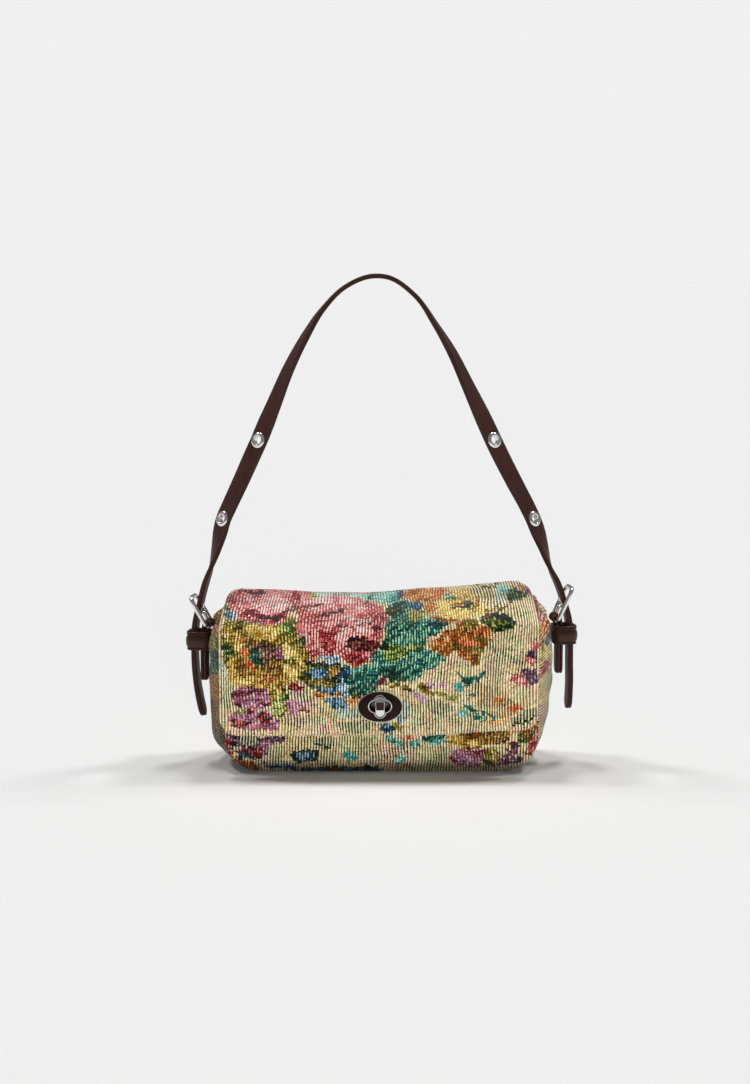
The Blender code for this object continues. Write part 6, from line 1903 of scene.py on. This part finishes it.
loops = []
for g, h in ((-0.5, 0.0), (-0.2, 0.08), (-0.04, 0.28), (0.0, 0.5), (0.0, 1.0),
             (-0.04, 1.3), (-0.13, 1.55), (-0.27, 1.72), (-0.45, 1.80), (-1.0, 1.86),
             (-1.7, 1.9), (-2.3, 1.9), (-2.7, 1.9)):
    loops.append([lock_c + a * X + b * Z - (K0 + crest(a, b, h)) * Y
                  for a, b in pill(KNOB_W + 2 * g, KNOB_H + 2 * g)])
vv, ff = rings(loops, closed=False)
knob = piece("turn_knob_pill", vv, ff, MAT_SILVER, "knob", ["turn_knob"], sharp=0)
sq = [(-SQ, SQ_UP - SQ), (SQ, SQ_UP - SQ), (SQ, SQ_UP + SQ), (-SQ, SQ_UP + SQ)]
v, f = faced([(sq, K0 - 2), (sq, K0 + 6)], lock_c, closed=False)
hole = helper("knob_square", v, f)
cut_with(knob, [hole])
settle(knob, 35)
drop(hole)

S1 = BASE0 - 4.6 - 0.3
sqh = SQ - 0.14
sq_ring = []
for i in range(32):
    a = 2 * math.pi * (i + 0.5) / 32
    m_ = max(abs(math.cos(a)), abs(math.sin(a)))
    sq_ring.append((sqh * math.cos(a) / m_, SQ_UP + sqh * math.sin(a) / m_))
rnd = lambda r: [(r * math.cos(2 * math.pi * (i + 0.5) / 32),
                  r * math.sin(2 * math.pi * (i + 0.5) / 32)) for i in range(32)]
vv, ff = faced([(rnd(2.8), S1 - 1.25), (rnd(3.0), S1 - 1.1), (rnd(3.0), S1 - 0.65),
                (rnd(SHAFT_R), S1 - 0.65), (rnd(SHAFT_R), K0 - 0.3),
                (sq_ring, K0 - 0.3), (sq_ring, K0 + KNOB_T - 0.85),
                ([(a * 0.92, SQ_UP + (b - SQ_UP) * 0.92) for a, b in sq_ring],
                 K0 + KNOB_T - 0.7)],
               lock_c, closed=False)
piece("knob_shaft_post", vv, ff, MAT_SHAFT, "knob", ["knob_shaft"], sharp=35)


def carried(node, mat):
    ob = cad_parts[node]
    ob.data.materials.clear()
    ob.data.materials.append(mat)


for node, mat in (("knob_washer", MAT_SILVER), ("knob_spring", MAT_SPRING),
                  ("base_board", MAT_BOARD)):
    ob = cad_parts[node]
    for s in ob.material_slots:
        s.material = mat
    if not ob.material_slots:
        ob.data.materials.append(mat)

# --------------------------------------------------------------------- strap
STRAP_W, PLY_T, PLY_GAP, FOLD_Z, END_CLEAR = 12.0, 1.25, 0.3, 128.0, 7.0
LEFT_LEG = [(-4.3, 305.4, 0.0), (-21.6, 299.0, 0.0), (-35.8, 285.2, 5.0),
            (-47.5, 267.1, 18.0), (-56.6, 249.9, 28.0), (-66.8, 225.7, 44.0),
            (-72.6, 211.8, 56.0), (-76.0, 203.7, 57.0), (-79.6, 195.8, 57.0),
            (-88.2, 176.9, 52.0), (-95.2, 162.0, 47.0), (-98.6, 154.4, 46.0),
            (-100.6, 147.0, 44.0), (-102.9, 137.5, 32.0), (-106.0, 126.2, 15.0)]
RIGHT_LEG = [(3.1, 304.9, 0.0), (20.9, 293.5, 0.0), (33.9, 275.3, 8.0),
             (44.0, 258.6, 20.0), (54.2, 237.6, 34.0), (66.2, 212.2, 55.0),
             (70.0, 204.0, 57.0), (73.8, 196.2, 57.0), (83.2, 178.0, 52.0),
             (92.0, 161.6, 47.0), (95.3, 154.7, 46.0), (98.2, 147.5, 44.0),
             (101.6, 138.0, 32.0), (105.4, 126.2, 15.0)]
SIDE = {
    "left": dict(sign=-1, yaw=8.0, bar=(108.5, 87.9), top=(118.4, 105.1),
                 end=[(106.0, 126.2), (107.4, 121.6), (109.9, 114.6), (112.2, 106.5),
                      (114.0, 99.1), (116.0, 91.9), (117.1, 84.5), (117.4, 76.0),
                      (117.3, 63.4), (116.6, 53.6), (115.3, 43.9), (113.7, 35.7),
                      (112.1, 29.0)],
                 tab_bottom=(111.2, 52.3), keeper=(71.9, 82.9), keeper_x=114.3),
    "right": dict(sign=1, yaw=8.0, bar=(110.0, 91.6), top=(119.1, 111.0),
                  end=[(105.4, 126.2), (107.3, 121.4), (110.4, 115.2), (113.0, 108.6),
                       (115.2, 101.6), (117.4, 94.6), (118.6, 87.6), (119.0, 79.4),
                       (119.2, 63.3), (119.4, 50.4), (119.1, 41.0), (118.7, 33.5)],
                  tab_bottom=(112.2, 56.8), keeper=(75.6, 86.6), keeper_x=115.3)}
WIRE_R, FRAME_IN_W, FRAME_TOP_R, FRAME_BOTTOM_R = 1.4, 13.6, 4.4, 1.7
TAB_W, TAB_PLY, TAB_JOIN = 11.4, 1.5, 5.0
KEEPER_WALL, KEEPER_IN_Y, KEEPER_IN_X, PRONG_R = 1.9, 12.8, 11.4, 0.9
HALF_T = PLY_GAP / 2 + PLY_T


def side_frame(d):
    sg = d["sign"]
    yaw = math.radians(d["yaw"]) * sg
    RX = np.array([math.cos(yaw), math.sin(yaw), 0.0]) * sg
    RY = np.array([-math.sin(yaw), math.cos(yaw), 0.0])
    px = 113.0 * sg
    return (lambda x, y, z: np.array([px, 0, 0]) + RX * (x - 113.0) + RY * y + Z * z), RX, RY


legs = {}
for side_name, d in SIDE.items():
    Pf, RX, RY = side_frame(d)
    pts = []
    rows_ = smooth_path([(a, b, 0.0) for a, b in d["end"]], 90)
    for a, b in d["end"][2:]:
        q = Pf(a, 0, b)
        pts.append((q[0], q[2], -8.0, q[1]))
    q = Pf(*(d["end"][1][0], 0, d["end"][1][1]))
    pts = [(q[0], q[2], -3.0, q[1] * 0.8)] + pts
    legs[side_name] = pts[::-1]
top_l = [(x, z, tw, 0.0) for x, z, tw in LEFT_LEG][::-1]
top_r = [(x, z, tw, 0.0) for x, z, tw in RIGHT_LEG]
top_l[0] = (top_l[0][0], top_l[0][1], 6.0, -0.3)
top_l[1] = (top_l[1][0], top_l[1][1], 27.0, 0.0)
top_r[-1] = (top_r[-1][0], top_r[-1][1], 6.0, -0.3)
top_r[-2] = (top_r[-2][0], top_r[-2][1], 27.0, 0.0)
SPINE_PTS = legs["left"] + top_l + top_r + legs["right"][::-1]
NST = 900
SPINE = smooth_path(SPINE_PTS, NST)
XS = np.concatenate([[0], np.cumsum(np.linalg.norm(np.diff(SPINE[:, :2], axis=0), axis=1))])
S_LEN = XS[-1]


def spine_frames(rows, flip=-1):
    t2 = np.gradient(rows[:, :2], axis=0)
    t2 /= np.linalg.norm(t2, axis=1)[:, None]
    C = np.stack([rows[:, 0], rows[:, 3], rows[:, 1]], 1)
    al = np.stack([t2[:, 0], 0 * t2[:, 0], t2[:, 1]], 1)
    n0 = np.stack([t2[:, 1], 0 * t2[:, 0], -t2[:, 0]], 1) * flip
    a = np.radians(rows[:, 2])[:, None]
    nn = np.cos(a) * n0 + np.sin(a) * (-Y)
    ww = np.cross(al, nn)
    ww /= np.linalg.norm(ww, axis=1)[:, None]
    ww[ww[:, 1] < 0] *= -1
    return C, al, nn, ww


C_, AL, NN, WW = spine_frames(SPINE)


def strap_width(s):
    w = np.full(np.shape(s), STRAP_W / 2 - 0.1)
    for e_ in (s, S_LEN - s):
        w = np.where(e_ < 6.0, w * np.sqrt(np.clip(1 - (1 - np.clip(e_, 0, 6) / 6.0) ** 2,
                                                   0.02, 1)), w)
    return w


def at_s(s):
    f = lambda A: np.stack([np.interp(s, XS, A[:, k]) for k in range(3)], -1)
    al, nn = f(AL), f(NN)
    nn /= np.linalg.norm(nn, axis=-1)[..., None]
    ww = f(WW)
    ww /= np.linalg.norm(ww, axis=-1)[..., None]
    return f(C_), al, nn, ww


# section: a pair of plies turned in at the edges, with a stitch groove
HT = 1.42
half_sec = [(0.0, HT + 0.06), (0.35, HT + 0.05), (0.62, HT), (0.74, HT - 0.04),
            (0.785, HT - 0.20), (0.83, HT - 0.04), (0.90, HT - 0.02), (0.96, HT - 0.20),
            (0.99, HT - 0.52), (1.0, HT - 0.85), (0.992, 0.30), (0.965, 0.0)]
sec = half_sec + [(a, -h) for a, h in half_sec[::-1][1:]]
sec = sec + [(-a, h) for a, h in sec[::-1]][1:-1]
SEC = np.array(sec)
s_all = np.unique(np.concatenate([np.linspace(0, 6, 16), np.linspace(6, S_LEN - 6, 560),
                                  np.linspace(S_LEN - 6, S_LEN, 16)]))
cc, al_, nn_, ww_ = at_s(s_all)
wv = strap_width(s_all)
loops = []
thick = 1 + 0.05 * (N1(s_all / 7.0, 0 * s_all) - 0.5)
for k in range(len(s_all)):
    loops.append([cc[k] + ww_[k] * a * wv[k] + nn_[k] * h * thick[k] for a, h in SEC])
vv, ff = rings(loops)
edge_mask = []
K = len(SEC)
rim_cols = set(i for i, (a, h) in enumerate(SEC) if abs(a) > 0.955)
parts = []
for f in ff:
    if len(f) > 4:
        parts.append(1)
        continue
    cols_ = set(int(i) % K for i in f)
    parts.append(1 if cols_ <= rim_cols else 0)
strap = piece("strap_leather", vv, ff, [MAT_LEATHER, MAT_EDGE], None,
              ["strap_arch_outer", "strap_arch_inner", "strap_end_outer_left",
               "strap_end_inner_left", "strap_end_outer_right", "strap_end_inner_right"],
              sharp=45, parts=parts)

# eyelets
EYE = {"left_upper": (-76.0, 203.7), "left_lower": (-98.6, 154.4),
       "right_upper": (70.0, 204.0), "right_lower": (95.3, 154.7)}
holes = []
eye_s = []
for tag, (x, z) in EYE.items():
    k = int(np.argmin((SPINE[:, 0] - x) ** 2 + (SPINE[:, 1] - z) ** 2))
    c0, nn0, ww0, al0 = C_[k], NN[k], WW[k], AL[k]
    eye_s.append(XS[k])
    h = HALF_T + 0.12
    prof = [(2.5, -h + 0.1), (2.5, h - 0.1), (2.62, h + 0.35), (2.95, h + 0.66),
            (3.45, h + 0.74), (4.1, h + 0.55), (4.65, h + 0.22), (4.9, h - 0.02),
            (4.75, h - 0.1), (2.9, h - 0.12), (2.9, -h + 0.12), (4.75, -h + 0.1),
            (4.9, -h + 0.02), (4.65, -h - 0.22), (4.1, -h - 0.55), (3.45, -h - 0.74),
            (2.95, -h - 0.66), (2.62, -h - 0.35)]
    v, f = lathe(prof, c0, ww0, al0, nn0, 48)
    piece("eyelet_" + tag, v, f, MAT_SILVER, "strap", ["strap_eyelet_" + tag], sharp=40)
    v, f = rings([[c0 + a * ww0 + b * al0 + q * nn0 for a, b in ring20(2.8)]
                  for q in (-5, 5)])
    holes.append(helper("eye_hole_" + tag, v, f))

STRAP_S = {}
for side_name, d in SIDE.items():
    Pf, RX, RY = side_frame(d)
    sg = d["sign"]
    bx, bz = d["bar"]
    tx, tz = d["top"]
    up = unit(np.array([tx - bx, tz - bz]))
    length = math.hypot(tx - bx, tz - bz)
    nrm = np.array([up[1], -up[0]])
    # wire frame of the buckle
    hw = FRAME_IN_W / 2 + WIRE_R
    line = []
    for sy, at_top, a0 in ((1, True, 0), (-1, True, 90), (-1, False, 180), (1, False, 270)):
        rc, turns = (FRAME_TOP_R, 15) if at_top else (FRAME_BOTTOM_R, 9)
        cy, cu_ = sy * (hw - rc), (length - rc if at_top else rc)
        for i in range(turns):
            a = math.radians(a0 + 90 * i / (turns - 1))
            line.append((cy + rc * math.cos(a), cu_ + rc * math.sin(a)))
    dense = []
    for i in range(len(line)):
        p0, p1 = np.array(line[i]), np.array(line[(i + 1) % len(line)])
        gap_ = np.linalg.norm(p1 - p0)
        for k in range(max(1, int(gap_ / 1.2))):
            dense.append(p0 + (p1 - p0) * k / max(1, int(gap_ / 1.2)))
    path3 = [Pf(bx + up[0] * b, a, bz + up[1] * b) for a, b in dense]
    v, f = tube(path3, WIRE_R, 18, closed=True)
    piece("buckle_wire_" + side_name, v, f, MAT_SILVER, "buckle_" + side_name,
          ["buckle_frame_" + side_name], sharp=60)
    # prong
    q_ = lambda u_, h_: (bx + up[0] * u_ + nrm[0] * h_, bz + up[1] * u_ + nrm[1] * h_)
    tongue = [q_(1.9, 0.0), q_(4.6, -0.9), q_(7.2, -0.9), q_(10.0, 0.6), q_(13.0, 2.2),
              q_(16.5, 2.75), q_(length + 0.4, 2.75)]
    tp = smooth_path(tongue, 44)
    fine_tongue = smooth_path(tongue, 120)
    tap = np.ones(44)
    tap[-6:] = [0.99, 0.95, 0.88, 0.76, 0.58, 0.30]
    v1 = tube([Pf(a, 0, b) for a, b in tp], PRONG_R, 14, taper=tap)
    prong = piece("prong_" + side_name, v1[0], v1[1], MAT_SILVER,
                  "prong_" + side_name, ["buckle_prong_" + side_name], sharp=0)
    ri, ro, hw2 = WIRE_R + 0.25, WIRE_R + 1.25, 1.15
    loops = []
    for k in range(40):
        g = 2 * math.pi * k / 40
        e_ = np.array([math.cos(g), math.sin(g)])
        loops.append([Pf(bx + e_[0] * r, y, bz + e_[1] * r) for r, y in
                      ((ri, -hw2 + 0.1), (ri, hw2 - 0.1), (ri + 0.1, hw2), (ro - 0.2, hw2),
                       (ro, hw2 - 0.2), (ro, -hw2 + 0.2), (ro - 0.2, -hw2), (ri + 0.1, -hw2))])
    v2, f2 = rings(loops, closed=True)
    eye = helper("prong_eye", v2, f2)
    cut_with(prong, [eye], op="UNION")
    settle(prong, 35)
    drop(eye)
    # strap end: the eyelet that the prong goes through
    rows_ = smooth_path([(a, b, 0.0) for a, b in d["end"]], 90)
    rows_ = rows_[rows_[:, 1] <= FOLD_Z - END_CLEAR]
    k = int(np.argmin([min(np.hypot(r[0] - g[0], r[1] - g[1]) for g in fine_tongue)
                       for r in rows_]))
    tan = unit(rows_[min(k + 3, len(rows_) - 1)][:2] - rows_[max(k - 3, 0)][:2])
    nx_, nz_ = -tan[1], tan[0]
    if nx_ < 0:
        nx_, nz_ = -nx_, -nz_
    cpt = Pf(rows_[k][0], 0, rows_[k][1])
    nn0 = unit(Pf(113 + nx_, 0, nz_) - Pf(113, 0, 0))
    al0 = unit(Pf(113 + tan[0], 0, tan[1]) - Pf(113, 0, 0))
    h = HALF_T + 0.10
    prof = [(2.5, -h + 0.1), (2.5, h - 0.1), (2.62, h + 0.33), (2.95, h + 0.60),
            (3.45, h + 0.66), (4.1, h + 0.50), (4.65, h + 0.20), (4.9, h - 0.02),
            (4.75, h - 0.1), (2.9, h - 0.12), (2.9, -h + 0.12), (4.75, -h + 0.1),
            (4.9, -h + 0.02), (4.65, -h - 0.20), (4.1, -h - 0.50), (3.45, -h - 0.66),
            (2.95, -h - 0.60), (2.62, -h - 0.33)]
    v, f = lathe(prof, cpt, RY, al0, nn0, 44)
    piece("end_eyelet_" + side_name, v, f, MAT_SILVER, "body",
          ["strap_end_eyelet_" + side_name], sharp=40)
    v, f = rings([[cpt + a * RY + b * al0 + q * nn0 for a, b in ring20(2.8)]
                  for q in (-4, 4)])
    holes.append(helper("end_hole_" + side_name, v, f))
    STRAP_S[side_name] = cpt
    # tab folded round the bar, both plies hanging
    tbx, tbz = d["tab_bottom"]
    r_in, r_out, gap_ = WIRE_R + 0.3, WIRE_R + 0.3 + TAB_PLY, 0.45
    drop_ = bz - tbz

    def leg(t, off):
        z = bz + (tbz - bz) * t
        s_ = min(1.0, (bz - z) / TAB_JOIN)
        s_ = s_ * s_ * (3 - 2 * s_)
        full_w = r_out * (1 - s_) + (TAB_PLY + gap_ / 2) * s_
        thin_w = r_in * (1 - s_) + (gap_ / 2) * s_
        xc = bx + (tbx - bx) * s_
        return (xc + off * full_w, z), (xc + off * thin_w, z)

    ts = list(np.linspace(1.0, TAB_JOIN / drop_, 12)) + \
        [f_ * TAB_JOIN / drop_ for f_ in (0.85, 0.7, 0.55, 0.4, 0.25, 0.1)]
    po, pi_ = [], []
    for t in ts:
        o_, i_ = leg(t, -1)
        po.append(o_)
        pi_.append(i_)
    for k in range(17):
        a = math.pi - math.pi * k / 16
        po.append((bx + r_out * math.cos(a), bz + r_out * math.sin(a)))
        pi_.append((bx + r_in * math.cos(a), bz + r_in * math.sin(a)))
    for t in reversed(ts):
        o_, i_ = leg(t, 1)
        po.append(o_)
        pi_.append(i_)
    # a rounded leather section: domed faces, soft edges, corners cut at the ends
    loops = []
    m_ = len(po)
    for idx, (o_, i_) in enumerate(zip(po, pi_)):
        endness = min(idx, m_ - 1 - idx)
        wy = TAB_W / 2
        z_here = o_[1]
        lo_ = z_here - tbz
        if endness < 12 and lo_ < 4.0:
            wy = TAB_W / 2 * math.sqrt(max(0.30, 1 - ((4.0 - lo_) / 4.6) ** 2))
        o3 = lambda t_, y_: Pf(i_[0] + (o_[0] - i_[0]) * t_, y_, i_[1] + (o_[1] - i_[1]) * t_)
        loops.append([o3(0.0, -wy * 0.93), o3(0.0, wy * 0.93), o3(0.12, wy * 0.985),
                      o3(0.5, wy), o3(0.85, wy * 0.985), o3(0.97, wy * 0.93),
                      o3(0.97, wy * 0.84), o3(0.86, wy * 0.80), o3(0.97, wy * 0.76),
                      o3(1.0, wy * 0.4), o3(1.0, -wy * 0.4), o3(0.97, -wy * 0.76),
                      o3(0.86, -wy * 0.80), o3(0.97, -wy * 0.84), o3(0.97, -wy * 0.93),
                      o3(0.85, -wy * 0.985), o3(0.5, -wy), o3(0.12, -wy * 0.985)])
    v, f = rings(loops)
    tab = piece("tab_leather_" + side_name, v, f, MAT_LEATHER, "body",
                ["tab_" + side_name], sharp=45)
    c0 = Pf(113, 0, 0) - RX * 113
    v, f = rings([[c0 + a * RX + b * Z + q * RY for a, b in
                   [(bx - 7, bz - 4.0), (bx + 7, bz - 4.0), (bx + 7, bz + 7), (bx - 7, bz + 7)]]
                  for q in (-1.75, 1.75)])
    slit = helper("tab_slit", v, f)
    cut_with(tab, [slit])
    settle(tab, 45)
    drop(slit)
    # stitches down both edges of the tab's outer face
    st = []
    for sy in (-1, 1):
        for z in np.arange(tbz + 5.0, bz - 7.0, 2.5):
            t = (bz - z) / drop_
            (ox, oz), _i = leg(t, 1)
            c1 = Pf(ox - 0.02, sy * TAB_W / 2 * 0.80, z)
            st.append((c1, Z, RY, RX))
    d["stitches"] = st
    # keeper: a moulded loop, ridged at both edges
    z0, z1 = d["keeper"]
    kx = d["keeper_x"]
    hx, hy, w_ = KEEPER_IN_X / 2, KEEPER_IN_Y / 2, KEEPER_WALL

    def round_rect(ax, ay, r, n=10):
        pts = []
        for cx, cy, a0 in ((ax - r, ay - r, 0), (-(ax - r), ay - r, 90),
                           (-(ax - r), -(ay - r), 180), (ax - r, -(ay - r), 270)):
            for i in range(n + 1):
                a = math.radians(a0 + 90 * i / n)
                pts.append((cx + r * math.cos(a), cy + r * math.sin(a)))
        return pts
    hgt = z1 - z0
    hgt += 1.0
    outs = [(0.15, 0.0), (0.55, 0.08), (0.84, 0.4), (0.92, 0.9), (0.84, 1.35), (0.66, 1.6),
            (0.82, 1.95), (1.06, 2.8), (1.24, 4.0), (1.32, 5.6), (1.24, hgt - 4.5),
            (1.02, hgt - 3.5), (0.76, hgt - 2.9), (0.66, hgt - 2.62), (0.86, hgt - 2.35),
            (0.98, hgt - 2.0), (0.90, hgt - 1.65), (0.68, hgt - 1.38), (0.92, hgt - 1.1),
            (1.02, hgt - 0.7), (0.90, hgt - 0.25), (0.5, hgt)]
    loops = [[Pf(kx + a, b, z0 + hh) for a, b in round_rect(hx + w_ * g, hy + w_ * g,
                                                           1.6 + 2.9 * g)]
             for g, hh in outs]
    ins = [(0.06, hgt - 0.1), (0.0, hgt - 0.5), (0.0, 0.5), (0.06, 0.1)]
    loops += [[Pf(kx + a, b, z0 + hh) for a, b in round_rect(hx + w_ * g, hy + w_ * g, 1.2)]
              for g, hh in ins]
    v, f = rings(loops, closed=True)
    piece("keeper_leather_" + side_name, v, f, MAT_KEEPER, "keeper_%s_loop" % side_name,
          ["keeper_" + side_name], sharp=60)

cut_with(strap, holes)
settle(strap, 45)
drop(*holes)
STRAP_A, STRAP_B = W((0, 0, 113.0)), W((0, 0, 143.0))
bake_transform(strap)


# stitches, each a short flattened loop of thread lying in its groove
def stitch(c, along, across, out, length=1.75, wide=0.27, high=0.22):
    v, f = [], []
    prof = [(-1.0, 0.30), (-0.72, 0.85), (0.0, 1.0), (0.72, 0.85), (1.0, 0.30)]
    loops = []
    for t, r in prof:
        sink = -0.16 * (abs(t) ** 3)
        loops.append([c + along * (t * length / 2) + out * (sink + high * r * math.sin(q))
                      + across * (wide * r * math.cos(q))
                      for q in 2 * np.pi * np.arange(6) / 6])
    return rings(loops)


st_parts = []
pitch = 2.55
s_vals = np.arange(5.0, S_LEN - 4.5, pitch)
cc, al_, nn_, ww_ = at_s(s_vals)
wv = strap_width(s_vals)
bad = [(e_, 5.4) for e_ in eye_s]
for k, s in enumerate(s_vals):
    lean = 0.0
    for sy in (-1, 1):
        for so in (-1, 1):
            base = cc[k] + ww_[k] * sy * wv[k] * 0.785 + nn_[k] * so * (HT - 0.14)
            st_parts.append(stitch(base, al_[k], ww_[k], nn_[k] * so))
vv, ff = join(st_parts)
stitches = piece("strap_stitching", vv, ff, MAT_THREAD, None, sharp=0)
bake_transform(stitches)
for side_name, d in SIDE.items():
    vv, ff = join([stitch(*s) for s in d["stitches"]])
    ob = piece("tab_stitching_" + side_name, vv, ff, MAT_THREAD, "body", sharp=0)

# --------------------------------------------------------- floor and lights
me = bpy.data.meshes.new("floor")
R_ = 60.0
me.from_pydata([(-R_, -R_, 0), (R_, -R_, 0), (R_, R_, 0), (-R_, R_, 0)], [], [(0, 1, 2, 3)])
fm = Nodes("pale_floor")
fc = fm.coords()
fn = fm.noise(fc, 3.0, 3.0)
fm.finish(Base_Color=fm.ramp(fn, [(0.0, (0.795, 0.795, 0.795)), (1.0, (0.805, 0.805, 0.805))]),
          Roughness=fm.level(fn, 0.9, 1.0), Specular_IOR_Level=0.0)
me.materials.append(fm.mat)
floor = bpy.data.objects.new("floor", me)
scene.collection.objects.link(floor)
floor.location.z = -0.0002

world = bpy.data.worlds.new("soft_room")
scene.world = world
world.use_nodes = True
wt = world.node_tree
wt.nodes.clear()
wo = wt.nodes.new("ShaderNodeOutputWorld")
mix = wt.nodes.new("ShaderNodeMixShader")
lp = wt.nodes.new("ShaderNodeLightPath")
bg = wt.nodes.new("ShaderNodeBackground")
bg.inputs["Color"].default_value = (1.0, 1.0, 1.0, 1.0)
bg.inputs["Strength"].default_value = 0.075
shine = wt.nodes.new("ShaderNodeBackground")
shine.inputs["Color"].default_value = (1.0, 1.0, 1.0, 1.0)
shine.inputs["Strength"].default_value = 0.20
seen = wt.nodes.new("ShaderNodeBackground")
seen.inputs["Color"].default_value = (0.871, 0.871, 0.871, 1.0)
seen.inputs["Strength"].default_value = 1.0
gloss_mix = wt.nodes.new("ShaderNodeMixShader")
wt.links.new(lp.outputs["Is Glossy Ray"], gloss_mix.inputs[0])
wt.links.new(bg.outputs[0], gloss_mix.inputs[1])
wt.links.new(shine.outputs[0], gloss_mix.inputs[2])
wt.links.new(lp.outputs["Is Camera Ray"], mix.inputs[0])
wt.links.new(gloss_mix.outputs[0], mix.inputs[1])
wt.links.new(seen.outputs[0], mix.inputs[2])
wt.links.new(mix.outputs[0], wo.inputs[0])


def sun(name, strength, angle, rot):
    d_ = bpy.data.lights.new(name, "SUN")
    d_.energy = strength
    d_.angle = math.radians(angle)
    o_ = bpy.data.objects.new(name, d_)
    scene.collection.objects.link(o_)
    o_.rotation_euler = tuple(math.radians(k) for k in rot)
    return o_


# a wide softbox overhead, a little behind the bag, as a row of broad lights,
# and a low one before it, too low to mark the floor
for k_, (turn, power) in enumerate(((-33.0, 0.80), (-11.0, 0.87), (11.0, 0.87),
                                    (33.0, 0.80))):
    sun("key_%d" % k_, power, 9.0, (-12.0, turn, 0.0))
fill = sun("fill_front", 1.98, 26.0, (86.0, 0.0, 3.0))
fill.visible_glossy = False

# ----------------------------------------------------------------- update
bpy.context.view_layer.update()
